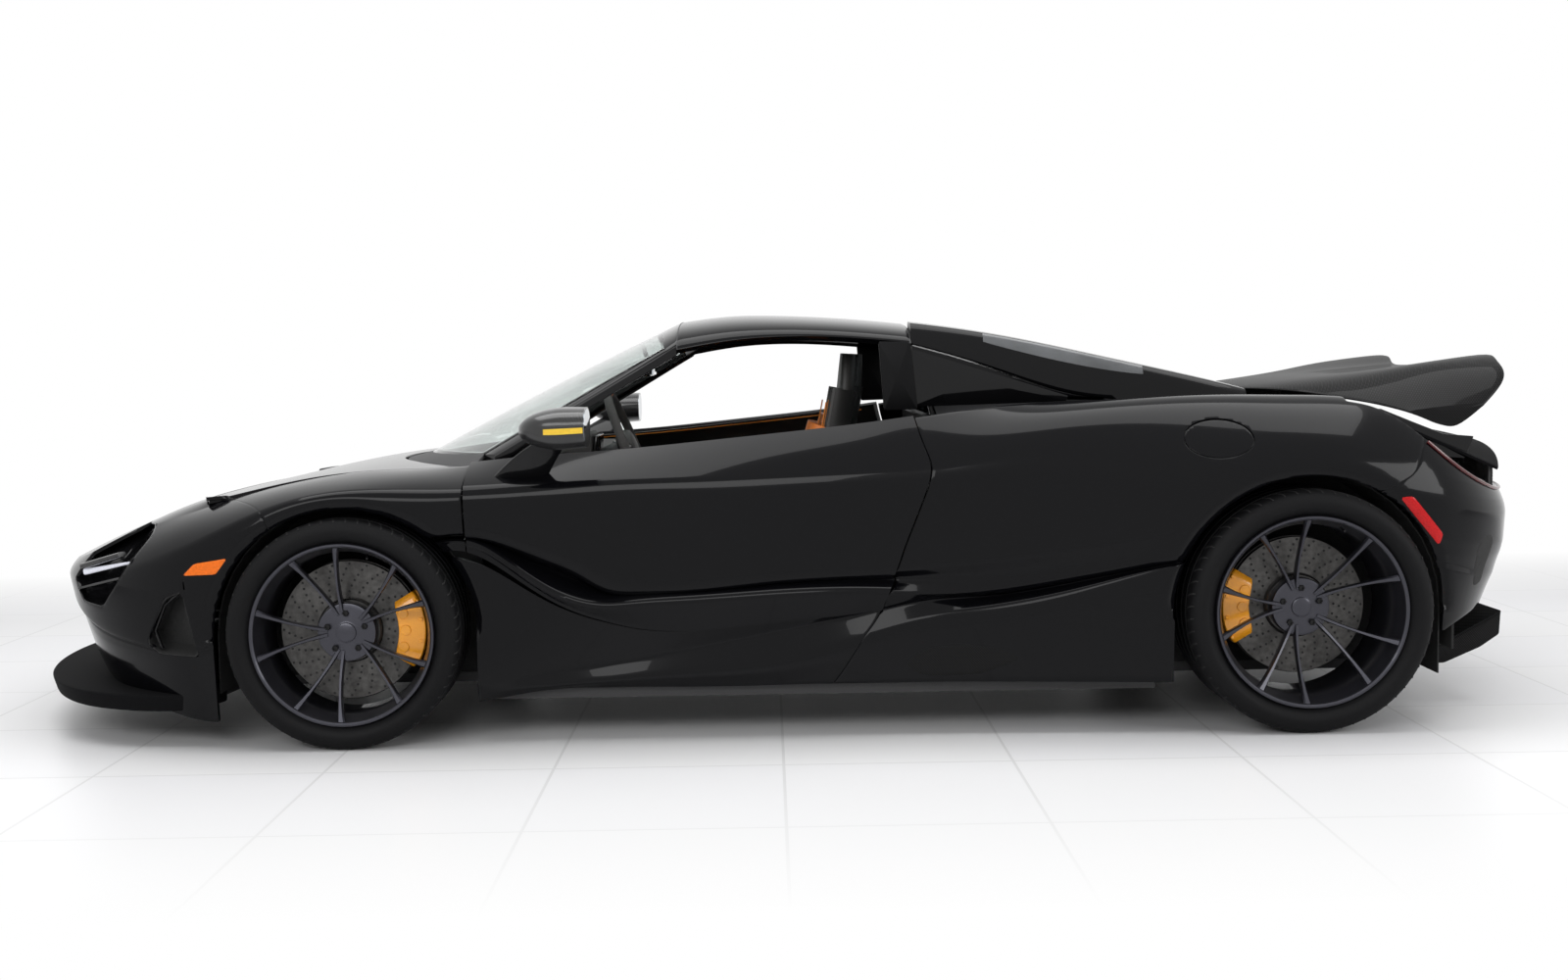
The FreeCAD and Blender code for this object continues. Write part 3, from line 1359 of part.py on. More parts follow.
def spoke(wheel, face, reach, index):
    """One spoke, splayed in pairs, from the hub's face out to the rim's lip."""
    pair = index // 2
    sign = 1 if index % 2 else -1
    base_angle = 4 * math.pi / SPOKE_COUNT * pair
    start_angle = base_angle + sign * SPOKE_ROOT
    end_angle = base_angle + sign * SPOKE_TIP
    seat = wheel.half * TYRE_SEAT_SHARE
    middle_angle = (start_angle + end_angle) / 2
    waist = SPOKE_WIDTH * SPOKE_WAIST
    rows = (
        (HUB_RADIUS * SPOKE_WAIST, start_angle, face, SPOKE_WIDTH),
        ((HUB_RADIUS + reach) / 2, middle_angle, (face + seat) / 2 + SPOKE_BOW, waist),
        (reach + RIM_WALL / 2, end_angle, seat + RIM_WALL / 2, SPOKE_WIDTH),
    )
    stations = []
    for radius, angle, offset, width in rows:
        middle = Vector(math.cos(angle) * radius, offset, math.sin(angle) * radius)
        across = Vector(-math.sin(angle), 0, math.cos(angle)) * (width / 2)
        back = Vector(0, -SPOKE_DEPTH, 0)
        middle += wheel.centre
        stations.append([middle - across, middle + across, middle + across + back, middle - across + back])
    return loft(stations)


def disc(wheel):
    """Brake disc and its hat, clear of the spindle."""
    seat = wheel.half * TYRE_SEAT_SHARE
    face = seat + RIM_WALL - wheel.dish - HUB_DEPTH - SEAT_GAP
    middle = disc_offset(wheel)
    half = DISC_THICKNESS / 2
    bore = SPINDLE_RADIUS + HAT_CLEARANCE
    return spun([
        (DISC_RADIUS, middle - half), (DISC_RADIUS, middle + half), (HAT_RADIUS, middle + half),
        (HAT_RADIUS, face), (bore, face), (bore, face - HAT_WALL), (HAT_RADIUS - HAT_WALL, face - HAT_WALL),
        (HAT_RADIUS - HAT_WALL, middle - half),
    ], wheel.centre, DISC_SIDES)


def disc_offset(wheel):
    """Offset of the disc's middle plane from the tyre's."""
    seat = wheel.half * TYRE_SEAT_SHARE
    return seat + RIM_WALL - wheel.dish - HUB_DEPTH - HAT_DEPTH


def caliper(wheel, side):
    """Caliper that straddles the disc on the front (1) or rear (-1) side of the axle."""
    half = DISC_THICKNESS / 2 + PAD_GAP
    outer = CALIPER_WIDTH / 2
    low, gap, top = DISC_RADIUS * PAD_SHARE, DISC_RADIUS + PAD_GAP, DISC_RADIUS + CALIPER_CROWN
    corners = (
        (low, half), (low, outer), (top, outer), (top, -outer), (low, -outer), (low, -half),
        (gap, -half), (gap, half),
    )
    stations = []
    for angle in even(-CALIPER_ARC / 2, CALIPER_ARC / 2, 6):
        turn = Vector(math.cos(angle) * side, 0, math.sin(angle))
        middle = wheel.centre + Vector(0, disc_offset(wheel), 0)
        stations.append([middle + turn * radius + Vector(0, offset, 0) for radius, offset in corners])
    return loft(stations)


def knuckle_back(wheel):
    """Offset of the face that carries the caliper from the tyre's middle plane."""
    return disc_offset(wheel) - CALIPER_WIDTH / 2 - SEAT_GAP


def knuckle(wheel, side):
    """Knuckle: upright, caliper bracket and the spindle that the wheel turns on."""
    seat = wheel.half * TYRE_SEAT_SHARE
    tip = seat + RIM_WALL - wheel.dish - HUB_CAP - SEAT_GAP
    back = knuckle_back(wheel)
    spindle = Part.makeCylinder(
        SPINDLE_RADIUS, tip - back, wheel.centre + Vector(0, back, 0), Vector(0, 1, 0)
    )
    front = disc_offset(wheel) - DISC_THICKNESS / 2 - SHUT_GAP
    low = wheel.centre + Vector(-KNUCKLE_HALF, back - KNUCKLE_DEPTH, -KNUCKLE_REACH)
    upright = Part.makeBox(2 * KNUCKLE_HALF, front - back + KNUCKLE_DEPTH, 2 * KNUCKLE_REACH, low)
    reach = DISC_RADIUS * PAD_SHARE + BRACKET_LAP
    start = wheel.centre + Vector(min(0, side * reach), back - KNUCKLE_DEPTH, -BRACKET_HALF)
    bracket = Part.makeBox(reach, KNUCKLE_DEPTH, 2 * BRACKET_HALF, start)
    return spindle.fuse([upright, bracket]).removeSplitter()


def wishbones(wheel, inset, liner_y):
    """Upper and lower wishbones of the left wheel, from the liner's wall to the knuckle."""
    joint_y = wheel.centre.y + inset
    bones = []
    for sign in (-1, 1):
        z = wheel.centre.z + sign * (KNUCKLE_REACH + SEAT_GAP)
        x = wheel.centre.x
        corners = [
            (x - KNUCKLE_HALF, joint_y + KNUCKLE_HALF / 2), (x + KNUCKLE_HALF, joint_y + KNUCKLE_HALF / 2),
            (x + ARM_SPREAD, liner_y), (x + ARM_SPREAD - ARM_WIDTH, liner_y), (x, joint_y - ARM_WIDTH * 2),
            (x - ARM_SPREAD + ARM_WIDTH, liner_y), (x - ARM_SPREAD, liner_y),
        ]
        points = [Vector(px, py, z) for px, py in corners]
        face = Part.Face(Part.makePolygon(points + points[:1]))
        bones.append(face.extrude(Vector(0, 0, sign * ARM_THICKNESS)))
    return bones


def shares_to(rows, scales):
    """Rows of shares as sizes."""
    return [tuple(value * scale for value, scale in zip(row, scales)) for row in rows]


SIDE_SCALES = (HALF_LENGTH, HEIGHT)


def tub():
    """Carbon tub: floor, sills, footwell, hinge pillars and rear bulkhead."""
    floor = box([CABIN_REAR, -TUB_HALF, FLOOR_TOP], [CABIN_FRONT, TUB_HALF, FLOOR_TOP + TUB_WALL])
    outline = shares_to(TUB_SILL_SHARES, SIDE_SCALES)
    rail = side_profile(outline, TUB_SILL_INNER, TUB_HALF)
    footwell = box([CABIN_FRONT, -FOOT_HALF, FLOOR_TOP], [FOOT_FRONT, FOOT_HALF, FOOT_TOP])
    inside = box(
        [CABIN_FRONT - TUB_WALL, TUB_WALL - FOOT_HALF, FLOOR_TOP + TUB_WALL],
        [FOOT_FRONT - TUB_WALL, FOOT_HALF - TUB_WALL, FOOT_TOP + TUB_WALL],
    )
    footwell = footwell.cut(inside)
    corner = [CABIN_FRONT - TUB_WALL, FOOT_HALF - TUB_WALL, FLOOR_TOP]
    pillar = box(corner, [CABIN_FRONT, TUB_HALF, PILLAR_TOP])
    back = box([CABIN_REAR - TUB_WALL, -TUB_HALF, FLOOR_TOP], [CABIN_REAR, TUB_HALF, BULKHEAD_TOP])
    hinge = hinge_bracket()
    parts = [rail, mirror(rail), footwell, pillar, mirror(pillar), back, hinge, mirror(hinge)]
    return floor.fuse(parts).removeSplitter()


def hinge_axis():
    """Direction of the left door's hinge."""
    return Vector(*HINGE_SHARES).normalize()


def hinge_centre():
    """Middle of the left door's hinge."""
    return Vector(HINGE_X, HINGE_Y, HINGE_Z)


def hinge_bracket():
    """Arm and pivot on the tub that carry the left door's hinge."""
    centre = hinge_centre() - hinge_axis() * (HINGE_LENGTH / 2 + SEAT_GAP)
    pivot = bar(centre, centre - hinge_axis() * HINGE_LENGTH, HINGE_RADIUS)
    middle = centre - hinge_axis() * (HINGE_LENGTH / 2)
    foot = Vector(CABIN_FRONT - TUB_WALL / 2, TUB_HALF - TUB_WALL / 2, PILLAR_TOP - HINGE_RADIUS)
    return pivot.fuse(bar(foot, middle, HINGE_RADIUS * HINGE_ARM_SHARE))


def hinge_barrel():
    """Barrel on the left door, in line with the tub's pivot, and the swan neck that carries it."""
    centre = hinge_centre()
    start = centre - hinge_axis() * (HINGE_LENGTH / 2)
    pieces = [bar(start, centre + hinge_axis() * (HINGE_LENGTH / 2), HINGE_RADIUS)]
    points = [neck_point(x, y) for x, y in NECK_ROWS]
    for first, second in zip(points, points[1:]):
        pieces.append(bar(first, second, HINGE_RADIUS * HINGE_ARM_SHARE))
    return pieces


def neck_point(x, y):
    """Point in the plane that the swan neck turns in, at X and Y from the pivot."""
    axis = hinge_axis()
    return hinge_centre() + Vector(x, y, -(axis.x * x + axis.y * y) / axis.z)


def underfloor():
    """Flat floor under the whole car, narrow between the wheels."""
    half = [(p.x, p.y) for p in (lip_point(i, -SPLITTER_INSET - SEAT_GAP, 0.0) for i in even(0.0, 1.0, 10))]
    half += shares_to(FLOOR_SHARES, (HALF_LENGTH, HALF_WIDTH))
    outline = half + [(x, -y) for x, y in reversed(half[1:])]
    wire = Part.makePolygon([Vector(x, y, FLOOR_BOTTOM) for x, y in outline + outline[:1]])
    return Part.Face(wire).extrude(Vector(0, 0, FLOOR_TOP - FLOOR_BOTTOM - SEAT_GAP))


def lip_point(i, out, z):
    """Point of the front lip: i runs from -1 to 1 round the nose, out is past the plan outline."""
    u = NOSE_END + (SPLITTER_END - NOSE_END) * abs(i)
    x, y, nx, ny = plan(u)
    sign = 1 if i >= 0 else -1
    return Vector(x + out * nx, sign * (y + out * ny), z)


def splitter(margin=0.0):
    """Front lip that wraps the lower nose, grown by a margin."""
    stations = []
    for i in even(-1.0, 1.0, 19):
        grow = SPLITTER_REACH * (1 - abs(i) ** 3) + margin
        corners = (
            (grow, SPLITTER_TOP + margin), (grow - SPLITTER_LIP, SPLITTER_BOTTOM - margin),
            (-SPLITTER_INSET - margin, SPLITTER_BOTTOM - margin),
            (-SPLITTER_INSET - margin, SPLITTER_TOP + SPLITTER_LIP + margin),
        )
        stations.append([lip_point(i, out, z) for out, z in corners])
    return loft(stations)


def wing():
    """Rear wing with drooping tips."""
    stations = []
    for sign in (-1, 1):
        rows = WING_SHARES if sign > 0 else list(reversed(WING_SHARES[1:]))
        for row in rows:
            y, corners = row
            stations.append([
                Vector(x * HALF_LENGTH, sign * y * HALF_WIDTH, z * HEIGHT) for x, z in corners
            ])
    return loft(stations)


def wing_struts():
    """Two struts that carry the wing on the deck."""
    outline = shares_to(STRUT_SHARES, SIDE_SCALES)
    foot = min(deck_point(x, STRUT_Y / on_line(CREST, x).y).z for x in (STRUT_FRONT, DECK_REAR))
    outline = [(STRUT_FRONT, foot)] + outline + [(DECK_REAR - STRUT_REACH, foot)]
    strut = side_profile(outline, STRUT_Y - STRUT_HALF, STRUT_Y + STRUT_HALF)
    for other, rise in ((deck(), SEAT_GAP), (tail_panel(), SEAT_GAP), (wing(), -SEAT_GAP)):
        strut = seated(strut, other, rise)
    return both(strut)


def tail_panel():
    """Panel from the deck down to the tail's upper edge, between the haunches."""
    outer = []
    for s in even(0.0, 1.0, 6):
        row = []
        for w in even(-1.0, 1.0, 9):
            front = deck_point(DECK_REAR - SEAT_GAP, w)
            rear = tail_edge(w)
            point = front + (rear - front) * s
            point.z += TAIL_BULGE * 4 * s * (1 - s) * (1 - w * w)
            row.append(point)
        outer.append(row)
    return cap_solid(outer, SKIN)


def lowered(shape):
    """A shape moved down by the seat gap."""
    shape.translate(Vector(0, 0, -SEAT_GAP))
    return shape


def tail_edge(w):
    """Upper edge of the tail, above the mesh."""
    x = TAIL_EDGE_X + TAIL_EDGE_BACK * w * w
    return Vector(x, w * TAIL_EDGE_HALF, TAIL_EDGE_HEIGHT - TAIL_EDGE_FALL * w * w)


def rear_mesh():
    """Mesh between the tail's upper edge and the bumper."""
    outer = []
    for s in even(0.0, 1.0, 3):
        row = []
        for w in even(-MESH_SHARE, MESH_SHARE, 9):
            top = tail_edge(w) + Vector(MESH_SETBACK, 0, 0)
            low = Vector(top.x, top.y, MESH_BOTTOM)
            row.append(top + (low - top) * s)
        outer.append(row)
    inner = [[point + Vector(MESH_DEPTH, 0, 0) for point in row] for row in outer]
    mesh = solid_from([(outer, inner, ("top", "bottom", "front", "rear"))])
    return max(mesh.cut([lowered(tail_panel()), deck()]).Solids, key=lambda solid: solid.Volume)


def arch_liner(arch, inner_y):
    """Half-round liner over a wheel, closed at its inner side and standing on the floor."""
    axle, height, radius = arch
    radius += LINER_GROWTH
    foot = FLOOR_TOP
    outer, inner = [(axle + radius + LINER_WALL, foot)], [(axle + radius, foot)]
    for angle in even(0.0, math.pi, LINER_SIDES + 1):
        turn = (math.cos(angle), math.sin(angle))
        outer.append((axle + (radius + LINER_WALL) * turn[0], height + (radius + LINER_WALL) * turn[1]))
        inner.append((axle + radius * turn[0], height + radius * turn[1]))
    outer.append((axle - radius - LINER_WALL, foot))
    inner.append((axle - radius, foot))
    shell = side_profile(outer, inner_y, LINER_OUTER)
    return shell.cut(side_profile(inner, inner_y + LINER_WALL, LINER_OUTER))


def luggage_tub():
    """Open luggage tub under the front lid."""
    outer = box([FOOT_FRONT + SHUT_GAP, -LUGGAGE_HALF, FLOOR_TOP], [LUGGAGE_FRONT, LUGGAGE_HALF, LUGGAGE_TOP])
    inner = box(
        [FOOT_FRONT + SHUT_GAP + SKIN, SKIN - LUGGAGE_HALF, LUGGAGE_FLOOR],
        [LUGGAGE_FRONT - SKIN, LUGGAGE_HALF - SKIN, LUGGAGE_TOP],
    )
    return outer.cut(inner)


def engine():
    """Engine behind the bulkhead, as one plain block."""
    return box([ENGINE_REAR, -ENGINE_HALF, FLOOR_TOP], [ENGINE_FRONT, ENGINE_HALF, ENGINE_TOP])


def diffuser():
    """Diffuser that rises under the tail, with its fins."""
    start, end = DIFFUSER_FRONT - SEAT_GAP, DIFFUSER_REAR
    low, high = FLOOR_BOTTOM, DIFFUSER_RISE
    corners = [(start, low), (end, high), (end, high + SKIN), (start, low + SKIN)]
    plate = side_profile(corners, -DIFFUSER_HALF, DIFFUSER_HALF)
    fins = []
    for y in even(-DIFFUSER_HALF, DIFFUSER_HALF - FIN_THICKNESS, FIN_COUNT):
        outline = [(start, low + SKIN), (end, high + SKIN), (end, high - FIN_DROP), (start, low)]
        fins.append(side_profile(outline, y, y + FIN_THICKNESS))
    return plate.fuse(fins).removeSplitter()


def roof_z(x, y):
    """Height of the roof's skin at X and Y."""
    half = ROOF_HALF + (x - ROOF_REAR) * ROOF_TAPER
    rail = RAIL_LINE(x)[0]
    angle = math.asin(abs(y / half) ** (ROOF_POWER / 2))
    return rail + (roof_height(x) - rail) * math.cos(angle) ** (2 / ROOF_POWER)


def rear_window():
    """Window behind the seats, from the bulkhead up to the roof's rear edge."""
    half = BUTTRESS_ROWS[1][3] - BUTTRESS_LEAN - SEAT_GAP
    low_x, top_x = CABIN_REAR - WINDOW_SETBACK, ROOF_REAR - SEAT_GAP
    low = BULKHEAD_TOP + SEAT_GAP
    stations = []
    for y in even(-half, half, 9):
        top = roof_z(ROOF_REAR, y) - ROOF_DEPTH / 2
        stations.append([
            Vector(low_x, y, low), Vector(low_x - GLASS, y, low),
            Vector(top_x - GLASS, y, top), Vector(top_x, y, top),
        ])
    return loft(stations)


def quarter_glass():
    """Left black corner panel between the door glass and the buttress."""
    stations = []
    for x in even(GLASS_FRONT, GLASS_REAR, 5):
        share = (x - GLASS_FRONT) / (GLASS_REAR - GLASS_FRONT)
        low = deck_point(x, GLASS_Y / on_line(CREST, x).y).z - SKIN / 2
        high = GLASS_TOP_FRONT + (low + GLASS - GLASS_TOP_FRONT) * share
        stations.append([
            Vector(x, GLASS_Y, low), Vector(x, GLASS_Y, high),
            Vector(x, GLASS_Y - SKIN, high), Vector(x, GLASS_Y - SKIN, low),
        ])
    return seated(loft(stations), deck(), SEAT_GAP)


def seat(y):
    """Bucket seat: cushion, back shell with wings, and a narrower head."""
    pieces = []
    parts = ((SEAT_BACK_SHARES, SEAT_HALF), (SEAT_HEAD_SHARES, HEAD_HALF), (CUSHION_SHARES, SEAT_HALF))
    for shares, half in parts:
        pieces.append(side_profile(shares_to(shares, SIDE_SCALES), y - half, y + half))
    hollow = box(
        [SEAT_HOLLOW_X, y - SEAT_HALF + SEAT_WING, CUSHION_TOP],
        [SEAT_HOLLOW_X + HALF_LENGTH, y + SEAT_HALF - SEAT_WING, HEIGHT],
    )
    return pieces[0].fuse(pieces[1:]).cut(hollow).removeSplitter()


def dashboard():
    """Dashboard across the cabin."""
    return side_profile(shares_to(DASH_SHARES, SIDE_SCALES), -DASH_HALF, DASH_HALF)


def console():
    """Centre console between the seats."""
    return side_profile(shares_to(CONSOLE_SHARES, SIDE_SCALES), -CONSOLE_HALF, CONSOLE_HALF)


def steering_wheel():
    """Steering wheel on its column, in front of the left seat."""
    along = Vector(math.cos(COLUMN_ANGLE), 0, -math.sin(COLUMN_ANGLE))
    up = Vector(math.sin(COLUMN_ANGLE), 0, math.cos(COLUMN_ANGLE))
    centre = Vector(STEERING_X, STEERING_Y, STEERING_Z)
    rows = []
    for angle in even(0.0, 2 * math.pi, GRIP_SIDES * 4 + 1)[:-1]:
        out = up * math.cos(angle) + Vector(0, math.sin(angle), 0)
        row = []
        for turn in even(0.0, 2 * math.pi, GRIP_SIDES + 1)[:-1]:
            row.append(centre + out * (STEERING_RADIUS + STEERING_GRIP * math.cos(turn))
                       + along * (STEERING_GRIP * math.sin(turn)))
        rows.append(row + [row[0]])
    ring = closed(facets(rows + [rows[0]]))
    column = bar(centre, centre + along * COLUMN_LENGTH, STEERING_GRIP)
    boss = bar(centre, centre + along * STEERING_BOSS, STEERING_BOSS)
    side = Vector(0, STEERING_RADIUS, 0)
    spokes = bar(centre - side, centre + side, STEERING_GRIP / 2)
    return seated(ring.fuse([boss, column, spokes]), dashboard(), SEAT_GAP)


def mirror_left():
    """Door mirror on its stalk."""
    stations = []
    for share, radius_share in MIRROR_SHARES:
        x = MIRROR_FRONT + (MIRROR_REAR - MIRROR_FRONT) * share
        station = []
        for angle in even(0.0, 2 * math.pi, MIRROR_SIDES + 1)[:-1]:
            y = MIRROR_Y + math.cos(angle) * MIRROR_HALF_WIDTH * radius_share
            z = MIRROR_Z + math.sin(angle) * MIRROR_HALF_HEIGHT * radius_share
            station.append(Vector(x, y, z))
        stations.append(station)
    foot = skin(STALK_X, STALK_LEVEL) - Vector(0, STALK_HALF, 0)
    top = Vector(
        MIRROR_REAR + (MIRROR_FRONT - MIRROR_REAR) * STALK_TOP_SHARE,
        MIRROR_Y - MIRROR_HALF_WIDTH / 2, MIRROR_Z,
    )
    stalk = []
    for middle in (foot, (foot + top) / 2, top):
        stalk.append([
            middle + Vector(STALK_LENGTH / 2, 0, 0), middle + Vector(0, STALK_HALF, 0),
            middle - Vector(STALK_LENGTH / 2, 0, 0), middle - Vector(0, STALK_HALF, 0),
        ])
    whole = loft(stations).fuse(loft(stalk)).cut(door())
    whole.translate(Vector(0, SEAT_GAP, 0))
    return whole


def main():
    """Write every node."""
    os.makedirs("parts", exist_ok=True)
    body()
    structure()
    cabin()
    wheels()


def body():
    """Write the outer panels, glass and lamps."""
    save("front_bumper", front_bumper())
    save("headlamps", both(headlamp()))
    save("splitter", splitter())
    save("fenders", both(fender()))
    save_pair("door", door())
    save_pair("mirror", mirror_left())
    save("sills", both(sill()))
    haunch = quarter()
    save("quarters", Part.makeCompound([haunch.cut(flap_prism(0.0)), mirror(haunch)]))
    save("fuel_flap", fuel_flap())
    save("fuel_bowl", fuel_bowl())
    save("luggage_lid", lid())
    save("scuttle", scuttle())
    save("windscreen", windscreen())
    save("screen_frame", screen_frame())
    save("roof_panel", roof_panel())
    save("buttresses", both(buttress()))
    save("quarter_glass", both(quarter_glass()))
    save("rear_window", rear_window())
    save("rear_deck", deck())
    save("tail_panel", tail_panel())
    save("rear_mesh", rear_mesh())
    save("rear_bumper", rear_bumper())
    save("diffuser", diffuser())
    save("wing", wing())
    save("wing_struts", wing_struts())


def structure():
    """Write the tub, floor, liners and what they carry."""
    save("tub", tub())
    save("underfloor", underfloor())
    save("engine", engine())
    save("luggage_tub", luggage_tub())
    left = arch_liner(FRONT_ARCH, FRONT_LINER_INNER), arch_liner(REAR_ARCH, REAR_LINER_INNER)
    save("arch_liners", Part.makeCompound(list(left) + [mirror(liner) for liner in left]))


def cabin():
    """Write the seats and controls."""
    save("seats", both(seat(SEAT_Y)))
    save("dashboard", dashboard())
    save("console", console())
    save("steering_wheel", steering_wheel())


def wheels():
    """Write the wheels, their discs, calipers, knuckles and wishbones."""
    front = Wheel(
        FRONT_AXLE, FRONT_TRACK / 2, FRONT_TYRE_RADIUS, FRONT_TYRE_WIDTH, FRONT_RIM_RADIUS, FRONT_DISH
    )
    rear = Wheel(REAR_AXLE, REAR_TRACK / 2, REAR_TYRE_RADIUS, REAR_TYRE_WIDTH, REAR_RIM_RADIUS, REAR_DISH)
    bones = []
    for name, wheel, side, liner in (
        ("front", front, -1, FRONT_LINER_INNER), ("rear", rear, 1, REAR_LINER_INNER)
    ):
        save_pair("tyre_" + name, tyre(wheel))
        save_pair("rim_" + name, rim(wheel))
        save_pair("disc_" + name, disc(wheel))
        inset = max(STEER_INSET, knuckle_back(wheel)) if wheel is front else knuckle_back(wheel)
        bones += wishbones(wheel, inset - KNUCKLE_HALF / 2, liner + LINER_WALL + SEAT_GAP)
    save_pair("knuckle_front", knuckle(front, -1))
    save_pair("caliper_front", caliper(front, -1))
    save("knuckles_rear", both(knuckle(rear, 1)))
    save("calipers_rear", both(caliper(rear, 1)))
    save("wishbones", Part.makeCompound(bones + [mirror(bone) for bone in bones]))


main()
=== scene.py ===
"""Looks of a mid-engined supercar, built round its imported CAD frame. Sizes in the tables are
shares of the car's half length, half width and height, and lengths are in millimetres until
a mesh is made, which is in metres. X points forward, Y to the car's left and Z up."""

import math

import bpy
import numpy as np
from mathutils import Matrix, Vector


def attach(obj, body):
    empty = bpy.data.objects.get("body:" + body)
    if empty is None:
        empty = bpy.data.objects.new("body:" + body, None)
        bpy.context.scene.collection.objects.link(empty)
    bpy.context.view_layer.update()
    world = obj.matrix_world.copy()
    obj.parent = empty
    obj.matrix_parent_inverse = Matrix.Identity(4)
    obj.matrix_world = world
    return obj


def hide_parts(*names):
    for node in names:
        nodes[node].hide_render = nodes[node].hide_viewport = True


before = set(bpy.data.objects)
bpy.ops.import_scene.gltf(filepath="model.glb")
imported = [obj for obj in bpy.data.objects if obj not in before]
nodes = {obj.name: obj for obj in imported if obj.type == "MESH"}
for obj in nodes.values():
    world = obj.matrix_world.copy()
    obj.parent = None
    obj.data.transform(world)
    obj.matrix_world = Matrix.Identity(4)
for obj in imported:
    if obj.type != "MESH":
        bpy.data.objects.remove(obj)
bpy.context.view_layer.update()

LENGTH = 4569.0
WIDTH = 1930.0
HEIGHT = 1196.0
WHEELBASE = 2670.0
FRONT_OVERHANG = 1080.0
HALF_LENGTH = LENGTH / 2
HALF_WIDTH = WIDTH / 2
FRONT_AXLE = HALF_LENGTH - FRONT_OVERHANG
REAR_AXLE = FRONT_AXLE - WHEELBASE
FRONT_ARCH_RADIUS = 362.0
FRONT_ARCH_HEIGHT = 305.0
REAR_ARCH_RADIUS = 380.0
REAR_ARCH_HEIGHT = 337.0
ARCH_LIP = 34.0
BODY_MIDDLE = 350
ARCH_ROLL = 16.0
SHUT_GAP = 5.0
HALF_SEAM = 1.2
PLAN_SHARES = [
    (1.138, 0.972, 0), (1.051, 0.957, 0.307), (0.963, 0.917, 0.568), (0.875, 0.856, 0.772),
    (0.788, 0.777, 0.899), (0.7, 0.7, 0.959), (0.613, 0.613, 0.982), (0.525, 0.525, 0.991),
    (0.438, 0.438, 0.982), (0.35, 0.35, 0.966), (0.241, 0.241, 0.951), (0.109, 0.109, 0.945), (0, 0, 0.945),
    (-0.131, -0.131, 0.948), (-0.263, -0.263, 0.955), (-0.394, -0.394, 0.972), (-0.525, -0.525, 0.992),
    (-0.635, -0.635, 1), (-0.744, -0.744, 0.987), (-0.832, -0.832, 0.924), (-0.919, -0.918, 0.715),
    (-1.029, -0.975, 0.342), (-1.138, -1, 0),
]
# After the station come the inset and height of the crest, the crown and the shoulder.
UPPER_SHARES = [
    (1.138, 0.019, 0.398, 0.005, 0.38, 0, 0.365), (1.051, 0.021, 0.403, 0.005, 0.383, 0, 0.366),
    (0.963, 0.044, 0.425, 0.012, 0.396, 0, 0.371), (0.875, 0.112, 0.483, 0.047, 0.433, 0, 0.38),
    (0.788, 0.187, 0.535, 0.07, 0.483, 0, 0.411), (0.7, 0.233, 0.572, 0.09, 0.532, 0, 0.47),
    (0.613, 0.257, 0.608, 0.104, 0.588, 0, 0.548), (0.525, 0.265, 0.63, 0.11, 0.615, 0, 0.59),
    (0.438, 0.259, 0.635, 0.11, 0.619, 0.005, 0.587), (0.372, 0.223, 0.642, 0.107, 0.617, 0.018, 0.586),
    (0.306, 0.181, 0.655, 0.098, 0.623, 0.024, 0.589), (0.219, 0.15, 0.666, 0.082, 0.631, 0.021, 0.593),
    (0.109, 0.132, 0.684, 0.068, 0.64, 0.017, 0.594), (0, 0.123, 0.704, 0.062, 0.652, 0.017, 0.594),
    (-0.109, 0.122, 0.726, 0.06, 0.664, 0.018, 0.598), (-0.188, 0.128, 0.746, 0.059, 0.674, 0.018, 0.601),
    (-0.263, 0.16, 0.763, 0.062, 0.694, 0.018, 0.605), (-0.35, 0.211, 0.773, 0.083, 0.726, 0.015, 0.605),
    (-0.438, 0.257, 0.773, 0.112, 0.75, 0.006, 0.606), (-0.525, 0.287, 0.769, 0.14, 0.763, 0, 0.617),
    (-0.635, 0.295, 0.763, 0.15, 0.765, 0, 0.633), (-0.744, 0.272, 0.746, 0.139, 0.746, 0, 0.595),
    (-0.832, 0.223, 0.702, 0.098, 0.686, 0, 0.535), (-0.919, 0.114, 0.652, 0.078, 0.623, 0, 0.512),
    (-1.029, 0.052, 0.627, 0.052, 0.589, 0, 0.502), (-1.138, 0.047, 0.623, 0.052, 0.585, 0, 0.498),
]
